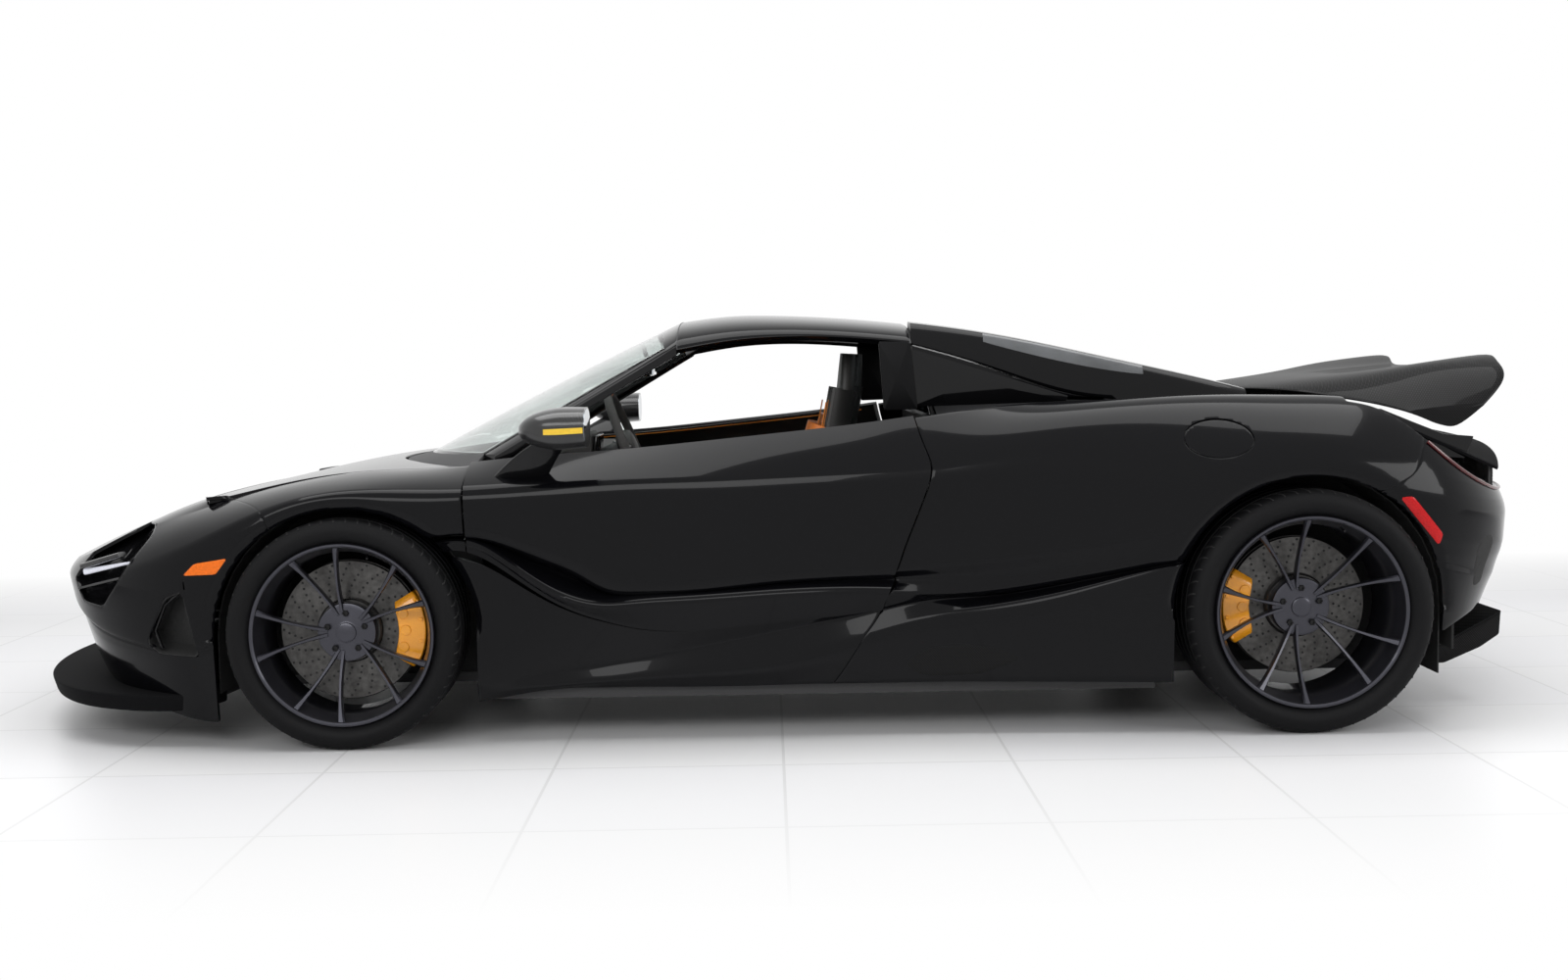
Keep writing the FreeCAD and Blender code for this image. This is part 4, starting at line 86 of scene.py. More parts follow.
# The channel's top edge and its depth.
CHANNEL_SHARES = [
    (1.138, 0.015, 0.331, 0.041, 0.322), (1.051, 0.015, 0.328, 0.041, 0.318),
    (0.963, 0.012, 0.311, 0.031, 0.303), (0.875, 0.01, 0.272, 0.023, 0.266),
    (0.788, 0.006, 0.242, 0.015, 0.238), (0.7, 0.008, 0.242, 0.015, 0.234),
    (0.613, 0.019, 0.351, 0.025, 0.318), (0.525, 0.019, 0.452, 0.025, 0.401),
    (0.42, 0.021, 0.487, 0.078, 0.481), (0.372, 0.031, 0.492, 0.098, 0.483),
    (0.322, 0.039, 0.465, 0.104, 0.443), (0.28, 0.041, 0.432, 0.104, 0.401),
    (0.241, 0.044, 0.395, 0.104, 0.368), (0.214, 0.044, 0.36, 0.098, 0.347),
    (0.175, 0.039, 0.345, 0.083, 0.339), (0.109, 0.025, 0.354, 0.064, 0.344),
    (0, 0.021, 0.377, 0.052, 0.361), (-0.123, 0.021, 0.39, 0.047, 0.368),
    (-0.241, 0.017, 0.409, 0.041, 0.376), (-0.359, 0.012, 0.439, 0.031, 0.401),
    (-0.438, 0.008, 0.462, 0.017, 0.426), (-0.525, 0.006, 0.493, 0.01, 0.46),
    (-0.635, 0.006, 0.502, 0.01, 0.468), (-0.744, 0.005, 0.477, 0.008, 0.452),
    (-0.832, 0.005, 0.435, 0.008, 0.418), (-0.919, 0.006, 0.418, 0.012, 0.393),
    (-1.029, 0.012, 0.414, 0.023, 0.389), (-1.138, 0.017, 0.411, 0.027, 0.386),
]
# The blade's upper and lower edge.
BLADE_SHARES = [
    (1.138, 0.033, 0.311, 0.041, 0.284), (1.051, 0.033, 0.308, 0.041, 0.283),
    (0.963, 0.029, 0.294, 0.037, 0.269), (0.875, 0.021, 0.258, 0.025, 0.238),
    (0.788, 0.012, 0.232, 0.015, 0.219), (0.7, 0.012, 0.226, 0.015, 0.209),
    (0.613, 0.029, 0.284, 0.031, 0.251), (0.525, 0.029, 0.36, 0.031, 0.318),
    (0.42, 0.041, 0.468, 0.046, 0.458), (0.372, 0.039, 0.472, 0.044, 0.465),
    (0.322, 0.031, 0.416, 0.039, 0.406), (0.28, 0.021, 0.361, 0.033, 0.349),
    (0.241, 0.01, 0.331, 0.029, 0.311), (0.214, 0.004, 0.324, 0.027, 0.293), (0.175, 0, 0.329, 0.025, 0.272),
    (0.109, 0, 0.335, 0.023, 0.261), (0, 0, 0.345, 0.023, 0.278), (-0.123, 0.005, 0.344, 0.027, 0.305),
    (-0.188, 0.015, 0.336, 0.031, 0.329), (-0.241, 0.031, 0.339, 0.044, 0.331),
    (-0.359, 0.031, 0.372, 0.039, 0.364), (-0.438, 0.021, 0.401, 0.027, 0.393),
    (-0.525, 0.015, 0.435, 0.019, 0.422), (-0.635, 0.015, 0.443, 0.017, 0.431),
    (-0.744, 0.01, 0.426, 0.012, 0.418), (-0.832, 0.01, 0.401, 0.012, 0.393),
    (-0.919, 0.021, 0.372, 0.025, 0.36), (-1.029, 0.035, 0.368, 0.041, 0.355),
    (-1.138, 0.039, 0.365, 0.046, 0.351),
]
SILL_TOP_SHARES = [
    (1.138, 0.073, 0.217), (1.051, 0.07, 0.216), (0.963, 0.06, 0.205), (0.875, 0.044, 0.188),
    (0.788, 0.027, 0.18), (0.7, 0.021, 0.171), (0.613, 0.037, 0.184), (0.525, 0.041, 0.209),
    (0.42, 0.041, 0.167), (0.372, 0.041, 0.14), (0.322, 0.044, 0.151), (0.233, 0.044, 0.175),
    (0.115, 0.041, 0.212), (0, 0.041, 0.253), (-0.123, 0.039, 0.298), (-0.188, 0.044, 0.319),
    (-0.241, 0.062, 0.322), (-0.359, 0.054, 0.355), (-0.438, 0.037, 0.386), (-0.525, 0.025, 0.411),
    (-0.635, 0.021, 0.418), (-0.744, 0.015, 0.41), (-0.832, 0.015, 0.38), (-0.919, 0.031, 0.339),
    (-1.029, 0.057, 0.334), (-1.138, 0.062, 0.33),
]
SILL_EDGE_SHARES = [
    (1.138, 0.104, 0.159), (1.051, 0.102, 0.157), (0.963, 0.087, 0.151), (0.875, 0.064, 0.138),
    (0.788, 0.041, 0.117), (0.7, 0.031, 0.1), (0.613, 0.041, 0.1), (0.525, 0.047, 0.109),
    (0.42, 0.047, 0.117), (0.372, 0.047, 0.121), (0.233, 0.031, 0.138), (0.114, 0.023, 0.152),
    (0, 0.021, 0.171), (-0.098, 0.017, 0.224), (-0.133, 0.015, 0.248), (-0.239, 0.012, 0.297),
    (-0.357, 0.008, 0.341), (-0.475, 0.004, 0.395), (-0.525, 0.004, 0.403), (-0.635, 0.006, 0.401),
    (-0.744, 0.008, 0.393), (-0.832, 0.01, 0.36), (-0.919, 0.041, 0.318), (-1.029, 0.073, 0.309),
    (-1.138, 0.078, 0.305),
]
SILL_BOTTOM_SHARES = [
    (1.138, 0.124, 0.144), (1.051, 0.122, 0.142), (0.963, 0.104, 0.136), (0.875, 0.077, 0.12),
    (0.788, 0.052, 0.092), (0.7, 0.037, 0.065), (0.613, 0.047, 0.067), (0.525, 0.052, 0.075),
    (0.42, 0.052, 0.094), (0.372, 0.052, 0.099), (0.306, 0.052, 0.117), (0.164, 0.046, 0.125),
    (0.044, 0.041, 0.124), (-0.062, 0.037, 0.128), (-0.241, 0.035, 0.127), (-0.481, 0.031, 0.123),
    (-0.569, 0.031, 0.123), (-0.657, 0.031, 0.134), (-0.744, 0.031, 0.167), (-0.832, 0.031, 0.242),
    (-0.919, 0.062, 0.272), (-1.029, 0.093, 0.276), (-1.138, 0.098, 0.276),
]
DOOR_FRONT_SHARES = [(0, 0.376), (1, 0.379), (2, 0.38), (3, 0.379), (4.5, 0.378), (6, 0.377)]
DOOR_REAR_SHARES = [
    (0, -0.167), (1, -0.178), (2, -0.181), (3, -0.143), (4, -0.14), (5, -0.133), (6, -0.125), (7, -0.122),
    (8, -0.095), (9, -0.063),
]
BUMPER_SHUT_SHARES = [(0, 0.7), (1, 0.649), (1.5, 0.63), (2, 0.616), (3, 0.6), (9, 0.5)]
QUARTER_SHUT_SHARES = [
    (0, -0.866), (1, -0.815), (1.4, -0.794), (2, -0.76), (2.4, -0.722), (3, -0.69), (9, -0.6),
]
TAIL_CUT_SHARES = [
    (-0.7, 0.765), (-0.735, 0.748), (-0.781, 0.688), (-0.806, 0.647), (-0.831, 0.612), (-0.873, 0.57),
    (-0.904, 0.551), (-0.94, 0.545), (-1, 0.542), (-1.03, 0.542),
]
NOSE_END = PLAN_SHARES[0][0] * HALF_LENGTH
TAIL_END = PLAN_SHARES[-1][0] * HALF_LENGTH
NOSE_BULGE = 14.0
LID_FRONT = 1725.0
LID_CORNER = 95.0
LID_BOW = 9.0
COWL_CENTRE = 1192.0
COWL_CORNER = 884.0
SCREEN_SETBACK = 34.0
SCREEN_BASE_HALF = 664.0
SCREEN_BASE_HEIGHT = HEIGHT * 0.62876
SCREEN_RISE = 24.0
SCREEN_BULGE = 10.0
SCREEN_TOP_SHARE = 0.92
SCREEN_EDGE = 0.06
SCREEN_SIDE = 0.93
SCUTTLE_STEP = 4.0
SCUTTLE_SHARE = 0.94
ROOF_FRONT = 290.0
ROOF_REAR = -388.0
ROOF_HALF = 612.0
ROOF_TAPER = 0.004
ROOF_POWER = 2.7
ROOF_SWEEP = math.radians(84.0)
ROOF_LINE_SHARES = [
    (0.135, 0.982), (0.055, 0.999), (0.01, 0.999), (-0.08, 0.99), (-0.17, 0.973), (-0.29, 0.938),
    (-0.43, 0.88), (-0.57, 0.818), (-0.64, 0.784),
]
RAIL_LINE_SHARES = [(0.135, 0.89), (0.05, 0.918), (-0.05, 0.926), (-0.14, 0.914), (-0.18, 0.906)]
BUTTRESS_SHARES = [
    (-0.172, 0.915, 0.9965, 0.7884), (-0.26, 0.865, 0.9902, 0.7726), (-0.385, 0.785, 0.9618, 0.7411),
    (-0.5, 0.77, 0.9303, 0.7096), (-0.61, 0.762, 0.8988, 0.678),
]
BUTTRESS_LEAN = 16.0
BUTTRESS_ROUND = 14.0
BUTTRESS_LANDING = -1000.0
DECK_REAR = -1690.0
DECK_DROP = 30.0
DECK_INSET = 5.5
CABIN_REAR = -470.0
TAIL_EDGE_X = -2225.0
TAIL_EDGE_BACK = 150.0
TAIL_EDGE_HALF = 700.0
TAIL_EDGE_HEIGHT = HEIGHT * 0.64799
TAIL_EDGE_FALL = 60.0
TAIL_BULGE = 12.0
MESH_SETBACK = 20.0
MESH_BOTTOM = HEIGHT * 0.55184
LAMP_SOCKET_SHARES = [
    (0.8812, 0.439), (0.8107, 0.509), (0.7809, 0.513), (0.7761, 0.489), (0.8151, 0.377), (0.84, 0.322),
    (0.8816, 0.326), (0.9018, 0.375),
]
FLAP_X = -1213.0
FLAP_Z = HEIGHT * 0.68562
FLAP_HALF_LENGTH = 97.5
FLAP_HALF_HEIGHT = 55.5
WING_SHARES = [
    (0.0, [
        (-0.610, 0.797), (-0.680, 0.812), (-0.800, 0.828), (-0.905, 0.842),
        (-0.905, 0.832), (-0.800, 0.806), (-0.680, 0.790), (-0.620, 0.788),
    ]),
    (0.26, [
        (-0.630, 0.794), (-0.700, 0.812), (-0.810, 0.832), (-0.912, 0.848),
        (-0.912, 0.838), (-0.810, 0.808), (-0.700, 0.788), (-0.640, 0.785),
    ]),
    (0.46, [
        (-0.685, 0.788), (-0.745, 0.815), (-0.835, 0.845), (-0.930, 0.868),
        (-0.930, 0.856), (-0.835, 0.818), (-0.745, 0.790), (-0.695, 0.780),
    ]),
    (0.58, [
        (-0.735, 0.772), (-0.785, 0.806), (-0.855, 0.838), (-0.925, 0.850),
        (-0.925, 0.836), (-0.855, 0.800), (-0.785, 0.770), (-0.745, 0.762),
    ]),
    (0.66, [
        (-0.775, 0.752), (-0.815, 0.775), (-0.865, 0.790), (-0.918, 0.800),
        (-0.912, 0.780), (-0.862, 0.735), (-0.825, 0.730), (-0.785, 0.742),
    ]),
    (0.70, [
        (-0.800, 0.735), (-0.825, 0.742), (-0.858, 0.748), (-0.892, 0.752),
        (-0.888, 0.738), (-0.860, 0.700), (-0.838, 0.702), (-0.810, 0.724),
    ]),
]
SIDE_INTAKE_SHARES = [
    (0.7241, 0.398), (0.6834, 0.401), (0.7455, 0.355), (0.7661, 0.278), (0.7727, 0.2475), (0.7569, 0.2216),
    (0.7031, 0.2174),
]


class Curve:
    """Natural cubic spline through rows of (station, values), read at whole arrays of stations."""

    def __init__(self, rows):
        rows = np.array(sorted(rows), float)
        self.at, self.values = rows[:, 0], rows[:, 1:]
        step = np.diff(self.at)
        slope = np.diff(self.values, axis=0) / step[:, None]
        system = np.eye(len(rows))
        right = np.zeros_like(self.values)
        inner = np.arange(1, len(rows) - 1)
        system[inner, inner - 1] = step[:-1]
        system[inner, inner] = 2 * (step[:-1] + step[1:])
        system[inner, inner + 1] = step[1:]
        right[1:-1] = 6 * (slope[1:] - slope[:-1])
        self.bends = np.linalg.solve(system, right)

    def __call__(self, station):
        station = np.asarray(station, float)
        i = np.clip(np.searchsorted(self.at, station) - 1, 0, len(self.at) - 2)
        step = self.at[i + 1] - self.at[i]
        b = ((station - self.at[i]) / step)[..., None]
        a = 1 - b
        bow = (a ** 3 - a) * self.bends[i] + (b ** 3 - b) * self.bends[i + 1]
        return a * self.values[i] + b * self.values[i + 1] + bow * (step ** 2)[..., None] / 6


def around(shares, scales, odd=()):
    """Curve of a body line, its rows mirrored past both ends, where odd columns change sign."""
    rows = np.array(sorted(shares)) * scales
    sign = np.array([-1.0 if i in odd else 1.0 for i in range(rows.shape[1])])

    def beyond(part, end):
        turned = part * sign
        turned[:, 0] = 2 * end - part[:, 0]
        return turned

    full = [beyond(rows[1:4], rows[0, 0]), rows, beyond(rows[-4:-1], rows[-1, 0])]
    return Curve([tuple(row) for row in np.vstack(full)])


PLAN = around(PLAN_SHARES, (HALF_LENGTH, HALF_LENGTH, HALF_WIDTH), (2,))
LINES = [around([(row[0], *row[i:i + 2]) for row in table], (HALF_LENGTH, HALF_WIDTH, HEIGHT))
         for table in (UPPER_SHARES, CHANNEL_SHARES, BLADE_SHARES, SILL_TOP_SHARES, SILL_EDGE_SHARES,
                       SILL_BOTTOM_SHARES)
         for i in range(1, len(table[0]), 2)]
(CREST, CROWN, SHOULDER, CHANNEL_TOP, CHANNEL_IN, BLADE, BLADE_LOW, SILL_TOP, SILL_EDGE,
 SILL_BOTTOM) = range(10)
ROUNDING = {SHOULDER: 0.34, CHANNEL_TOP: 0.16, CHANNEL_IN: 0.40, BLADE: 0.16, BLADE_LOW: 0.20,
            SILL_TOP: 0.12, SILL_EDGE: 0.30}


def shut(shares):
    """A shut line: level to station along the body."""
    line = Curve([(level, share * HALF_LENGTH) for level, share in shares])
    return lambda v: line(np.maximum(v, CREST))[..., 0]


DOOR_FRONT, DOOR_REAR = shut(DOOR_FRONT_SHARES), shut(DOOR_REAR_SHARES)
BUMPER_SHUT, QUARTER_SHUT = shut(BUMPER_SHUT_SHARES), shut(QUARTER_SHUT_SHARES)
TAIL_CUT = Curve([(x * HALF_LENGTH, z * HEIGHT) for x, z in TAIL_CUT_SHARES])
ROOF_LINE = Curve([(x * HALF_LENGTH, z * HEIGHT) for x, z in ROOF_LINE_SHARES])
RAIL_LINE = Curve([(x * HALF_LENGTH, z * HEIGHT) for x, z in RAIL_LINE_SHARES])


def plan(u):
    """Widest outline seen from above at station u, with its outward normal."""
    nudge = 1.1
    here, ahead, behind = PLAN(u), PLAN(u + nudge), PLAN(u - nudge)
    d = ahead - behind
    d /= np.linalg.norm(d, axis=-1, keepdims=True)
    return here[..., 0], here[..., 1], -d[..., 1], d[..., 0]


def on_line(index, u):
    """Point of one body line: the outline moved in by the line's inset, at its height."""
    x, y, nx, ny = plan(u)
    row = LINES[index](u)
    return np.stack([x - row[..., 0] * nx, y - row[..., 0] * ny, row[..., 1]], -1)


def section(u, v):
    """Body side: a parabola from crest over crown to shoulder, then straight from line to line,
    with each crease k rounded by (b - a) (r - |v - k|)^2 / 4r, a and b being the slopes beside it."""
    u, v = np.broadcast_arrays(np.asarray(u, float), np.asarray(v, float))
    lines = np.stack([on_line(k, u) for k in range(10)])
    t = (v - CROWN)[..., None]
    bend = lines[CREST] + lines[SHOULDER] - 2 * lines[CROWN]
    upper = lines[CROWN] + (lines[SHOULDER] - lines[CREST]) * t / 2 + bend * t * t / 2
    k = np.clip(np.floor(v).astype(int), SHOULDER, SILL_EDGE)
    first = np.take_along_axis(lines, k[None, ..., None], 0)[0]
    second = np.take_along_axis(lines, k[None, ..., None] + 1, 0)[0]
    point = np.where((v <= SHOULDER)[..., None], upper, first + (second - first) * (v - k)[..., None])
    for crease, radius in ROUNDING.items():
        left = lines[crease] - lines[crease - 1]
        if crease == SHOULDER:
            left = (lines[SHOULDER] - lines[CREST]) / 2 + bend
        right = lines[crease + 1] - lines[crease]
        reach = np.maximum(radius - np.abs(v - crease), 0.0)
        point = point + (right - left) * (reach ** 2 / (4 * radius))[..., None]
    return point


def lid_point(x, w):
    """Lid surface at X and share w of its half width: the crest's height with a bow of 1 - w^2."""
    edge = on_line(CREST, x)
    return np.stack([x, w * edge[..., 1], edge[..., 2] + LID_BOW * (1 - w * w)], -1)


def lid_edge(w):
    """Front edge of the lid."""
    return lid_point(LID_FRONT - LID_CORNER * np.abs(w) ** 3, w)


def nose_top(u, v):
    """Blend from the crest line (level 0) to the lid's front edge (level -1), with a bulge."""
    first = on_line(CREST, u)
    w = (NOSE_END - u) / (NOSE_END - BUMPER_SHUT(CREST))
    second = lid_edge(w) + np.array([SHUT_GAP, 0, 0])
    v = v[..., None]
    bulge = np.array([0, 0, NOSE_BULGE]) * (4 * -v * (1 + v) * (1 - w * w)[..., None])
    return first * (1 + v) + second * -v + bulge


def skin(u, v):
    """Point of the body for stations u, which run on past nose and tail to the other side, and
    levels v from -1 at the lid over 0 at the crest to 9 under the sill."""
    u, v = np.broadcast_arrays(np.asarray(u, float), np.asarray(v, float))
    far = (u > NOSE_END) | (u < TAIL_END)
    near = np.where(u > NOSE_END, 2 * NOSE_END - u, np.where(u < TAIL_END, 2 * TAIL_END - u, u))
    point = section(near, np.maximum(v, CREST))
    if (v < CREST).any():
        point = np.where((v < CREST)[..., None], nose_top(near, np.clip(v, -1, 0)), point)
    for axle, height, radius in ARCHES:
        reach = np.hypot(point[..., 0] - axle, point[..., 2] - height)
        depth = np.clip((radius + ARCH_LIP - reach) / ARCH_LIP, 0, 1)
        rolled = (point[..., 2] > height) & (np.abs(point[..., 0]) < PLAN_FLAT)
        point[..., 1] -= np.where(rolled, ARCH_ROLL * depth * depth, 0)
    point[..., 1] = np.where(far, -point[..., 1], point[..., 1])
    return point


FRONT_ARCH = (FRONT_AXLE, FRONT_ARCH_HEIGHT, FRONT_ARCH_RADIUS)
REAR_ARCH = (REAR_AXLE, REAR_ARCH_HEIGHT, REAR_ARCH_RADIUS)
ARCHES = (FRONT_ARCH, REAR_ARCH)
PLAN_FLAT = HALF_LENGTH * 0.83


def below_tail(p):
    """Trim that keeps what lies below the diagonal cut of the tail."""
    cut = TAIL_CUT(np.maximum(p[..., 0], TAIL_CUT.at[0]))[..., 0]
    return np.where(p[..., 0] > TAIL_CUT.at[-1], 999.0, cut - p[..., 2])


def polygon_distance(shares):
    """Trim that keeps what lies outside a side-view polygon: signed distance to its edges."""
    corners = np.array(shares) * (HALF_LENGTH, HEIGHT)

    def distance(p):
        q = p[..., [0, 2]]
        best = np.full(q.shape[:-1], 1e9)
        inside = np.zeros(q.shape[:-1], bool)
        for a, b in zip(corners, np.roll(corners, -1, axis=0)):
            edge = b - a
            t = np.clip(((q - a) @ edge) / (edge @ edge), 0, 1)
            best = np.minimum(best, np.linalg.norm(q - a - t[..., None] * edge, axis=-1))
            cross = (a[1] > q[..., 1]) != (b[1] > q[..., 1])
            x = a[0] + (q[..., 1] - a[1]) * edge[0] / (edge[1] if edge[1] else 1e-9)
            inside ^= cross & (q[..., 0] < x)
        return np.where(inside, -best, best)
    return distance


def levels(low, high, spacing=0.14):
    """Rows of levels, evenly spaced and closer beside each crease."""
    rows = list(np.linspace(low, high, max(2, int(round((high - low) / spacing)) + 1)))
    for crease, radius in ROUNDING.items():
        rows += [crease + radius * share for share in (-1, -0.66, -0.33, 0, 0.33, 0.66, 1)]
    rows = np.unique(np.round([row for row in rows if low <= row <= high], 5))
    keep = np.concatenate([[True], np.diff(rows) > 0.02])
    return rows[keep]


def trimmed(point, first, last, rows, count, trims=()):
    """Grid of points, rows by columns, between two shut lines. Where a trim's value falls below
    zero, the nearest points move back along the surface to its zero line, found by halving."""
    share = np.linspace(0, 1, count)[None, :]
    v = np.broadcast_to(np.asarray(rows)[:, None], (len(rows), count)).copy()
    u = first(v) * (1 - share) + last(v) * share
    value = np.full(v.shape, 1e9)
    p = point(u, v)
    for trim in trims:
        value = np.minimum(value, trim(p))
    out = value < 0
    if out.any():
        best = np.full(v.shape, -1e9)
        mate_u, mate_v = u.copy(), v.copy()
        padded = [np.pad(a, 1, mode="edge") for a in (u, v, value)]
        for i in range(3):
            for j in range(3):
                pu, pv, pf = [a[i:i + v.shape[0], j:j + v.shape[1]] for a in padded]
                better = (pf > 0) & (pf > best)
                best = np.where(better, pf, best)
                mate_u = np.where(better, pu, mate_u)
                mate_v = np.where(better, pv, mate_v)
        snap = out & (best > 0)
        low_u, low_v = mate_u[snap], mate_v[snap]
        high_u, high_v = u[snap], v[snap]
        for _ in range(22):
            mid_u, mid_v = (low_u + high_u) / 2, (low_v + high_v) / 2
            mid = point(mid_u, mid_v)
            inside = np.full(mid_u.shape, 1e9)
            for trim in trims:
                inside = np.minimum(inside, trim(mid))
            good = inside > 0
            low_u, low_v = np.where(good, mid_u, low_u), np.where(good, mid_v, low_v)
            high_u, high_v = np.where(good, high_u, mid_u), np.where(good, high_v, mid_v)
        u[snap], v[snap] = low_u, low_v
        p = point(u, v)
    keep = ~(out[:-1, :-1] & out[1:, :-1] & out[:-1, 1:] & out[1:, 1:])
    return p, keep


def grid_faces(shape, keep=None):
    """Quads of a grid of points as vertex numbers."""
    n, m = shape
    index = np.arange(n * m).reshape(n, m)
    quads = np.stack([index[:-1, :-1], index[1:, :-1], index[1:, 1:], index[:-1, 1:]], -1)
    return quads[keep] if keep is not None else quads.reshape(-1, 4)


def merged(points, quads):
    """Points that meet made one, and the quads that are left with an area."""
    keys, first, back = np.unique(np.round(points, 3), axis=0, return_index=True, return_inverse=True)
    quads = back.reshape(-1)[quads]
    used = np.unique(quads)
    lookup = np.zeros(len(keys), int)
    lookup[used] = np.arange(len(used))
    return points[first][used], lookup[quads]


def face_lists(quads):
    """Quads with repeated corners turned into triangles or dropped."""
    same = quads == np.roll(quads, -1, axis=1)
    whole = quads[~same.any(1)]
    faces = [tuple(q) for q in whole[(whole[:, 0] != whole[:, 2]) & (whole[:, 1] != whole[:, 3])]]
    for row, marks in zip(quads[same.sum(1) == 1], same[same.sum(1) == 1]):
        corners = tuple(row[~marks])
        if len(set(corners)) == 3:
            faces.append(corners)
    return faces


def quad_normals(points, quads):
    """Normals of quads, from their diagonals and as long as twice their areas."""
    return np.cross(points[quads[:, 2]] - points[quads[:, 0]], points[quads[:, 3]] - points[quads[:, 1]])


def vertex_normals(points, quads):
    """Normals at the points, from the quads that meet there."""
    across = quad_normals(points, quads)
    total = np.zeros_like(points)
    for corner in range(4):
        np.add.at(total, quads[:, corner], across)
    return total / np.maximum(np.linalg.norm(total, axis=1, keepdims=True), 1e-9)


def border(quads):
    """Directed edges that only one quad has."""
    edges = np.concatenate([quads[:, [i, (i + 1) % 4]] for i in range(4)])
    edges = edges[edges[:, 0] != edges[:, 1]]
    keys = edges.min(1) * (quads.max() + 1) + edges.max(1)
    unique, counts = np.unique(keys, return_counts=True)
    single = np.isin(keys, unique[counts == 1])
    return edges[single]


def shell(points, quads, depth=9.0, rounding=1.2):
    """Closed panel: the outer sheet, a rounded edge of radius r, a wall and the inner sheet."""
    points, quads = merged(points, quads)
    normal = vertex_normals(points, quads)
    edges = border(quads)
    rim = np.unique(edges)
    place = np.full(len(points), -1)
    place[rim] = np.arange(len(rim))
    run = points[edges[:, 1]] - points[edges[:, 0]]
    out = np.zeros((len(rim), 3))
    side = np.cross(run, normal[edges[:, 0]])
    for end in range(2):
        np.add.at(out, place[edges[:, end]], side)
    out /= np.maximum(np.linalg.norm(out, axis=1, keepdims=True), 1e-9)
    n, rows, faces = len(points), [points], [quads]
    start, base = np.arange(n), n

    def wall(near, far):
        faces.append(np.stack([near[edges[:, 1]], near[edges[:, 0]], far[edges[:, 0]], far[edges[:, 1]]], 1))
    for angle in (45, 90, None):
        a = math.radians(angle or 90)
        ring = points[rim] + out * rounding * math.sin(a) - normal[rim] * rounding * (1 - math.cos(a))
        if angle is None:
            ring = ring - normal[rim] * depth
        ahead = np.full(n, -1)
        ahead[rim] = base + np.arange(len(rim))
        wall(start, ahead)
        start = ahead
        base += len(rim)
        rows.append(ring)
    rows.append(points - normal * (depth + rounding))
    wall(start, base + np.arange(n))
    faces.append(base + quads[:, ::-1])
    return np.vstack(rows), np.vstack(faces)


def mirrored(points, quads):
    """The same mesh on the other side."""
    return points * (1, -1, 1), quads[:, ::-1]


def joined(*parts):
    """Several (points, quads) as one."""
    points, quads, base = [], [], 0
    for part_points, part_quads in parts:
        points.append(part_points)
        quads.append(part_quads + base)
        base += len(part_points)
    return np.vstack(points), np.vstack(quads)


def both(mesh):
    """A left mesh and its mirror image."""
    return joined(mesh, mirrored(*mesh))


SIDES = (("left", lambda mesh: mesh), ("right", lambda mesh: mirrored(*mesh)))


def piece(name, mesh, material, *replaced, body="chassis", crease=32):
    """Object of a mesh in millimetres that rides on a body and stands for CAD nodes. Its shading is
    smooth, with the edges kept sharp that turn by more than the crease angle, if there is one."""
    points, quads = mesh
    data = bpy.data.meshes.new(name)
    data.from_pydata((points / 1000).tolist(), [], face_lists(quads))
    data.validate()
    data.shade_smooth()
    data.materials.append(material)
    thing = bpy.data.objects.new(name, data)
    bpy.context.scene.collection.objects.link(thing)
    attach(thing, body)
    if replaced:
        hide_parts(*replaced)
    if crease:
        data.set_sharp_from_angle(angle=math.radians(crease))
    return thing


def side_pieces(*rows, **options):
    """Pieces of the doors, left then right: a name, its left mesh, its material and what it replaces."""
    for side, turn in SIDES:
        for name, mesh, material, *replaced in rows:
            piece(name + side, turn(mesh), material, *[node_name + side for node_name in replaced],
                  body="door_" + side, **options)


def revolve(profile, centre, sides, closed=True):
    """Surface of revolution about a wheel's axis from (radius, offset) corners, facing outwards."""
    profile = np.array(profile, float)
    if closed:
        profile = np.vstack([profile, profile[:1]])
    angle = np.linspace(0, 2 * math.pi, sides + 1)
    angle[-1] = 0
    r, o = profile[:, 0][:, None], profile[:, 1][:, None]
    points = np.stack([r * np.cos(angle), o + 0 * angle, r * np.sin(angle)], -1) + centre
    return outward_mesh(points.reshape(-1, 3), grid_faces(points.shape[:2]))


def rounded(corners, radius, steps=3):
    """Corners of a flat outline rounded by quadratic curves."""
    corners = [np.array(c, float) for c in corners]
    result, count = [], len(corners)
    for i, corner in enumerate(corners):
        before, after = corners[i - 1] - corner, corners[(i + 1) % count] - corner
        a = corner + before * min(radius / np.linalg.norm(before), 0.45)
        b = corner + after * min(radius / np.linalg.norm(after), 0.45)
        for t in np.linspace(0, 1, steps + 1):
            result.append(a * (1 - t) ** 2 + corner * 2 * t * (1 - t) + b * t * t)
    return result


def side_prism(outline, low, high, corner=6.0, bevel=2.0):
    """Rounded block of a side-view outline between two Y values, with its edges drawn in by a bevel."""
    outline = np.array(rounded(outline, corner))
    area = np.sum(outline[:, 0] * np.roll(outline[:, 1], -1) - outline[:, 1] * np.roll(outline[:, 0], -1))
    if area > 0:
        outline = outline[::-1]
    run = np.roll(outline, -1, 0) - np.roll(outline, 1, 0)
    run /= np.maximum(np.linalg.norm(run, axis=1, keepdims=True), 1e-9)
    side = np.stack([run[:, 1], -run[:, 0]], 1)
    if np.sum(side * (outline - outline.mean(0))) < 0:
        side = -side
    rings = []
    for level, inset in ((low, bevel), (low + bevel * 0.3, bevel * 0.3), (low + bevel, 0), (high - bevel, 0),
                         (high - bevel * 0.3, bevel * 0.3), (high, bevel)):
        rings.append(np.insert(outline - side * inset, 1, level, axis=1))
    return loft(rings)


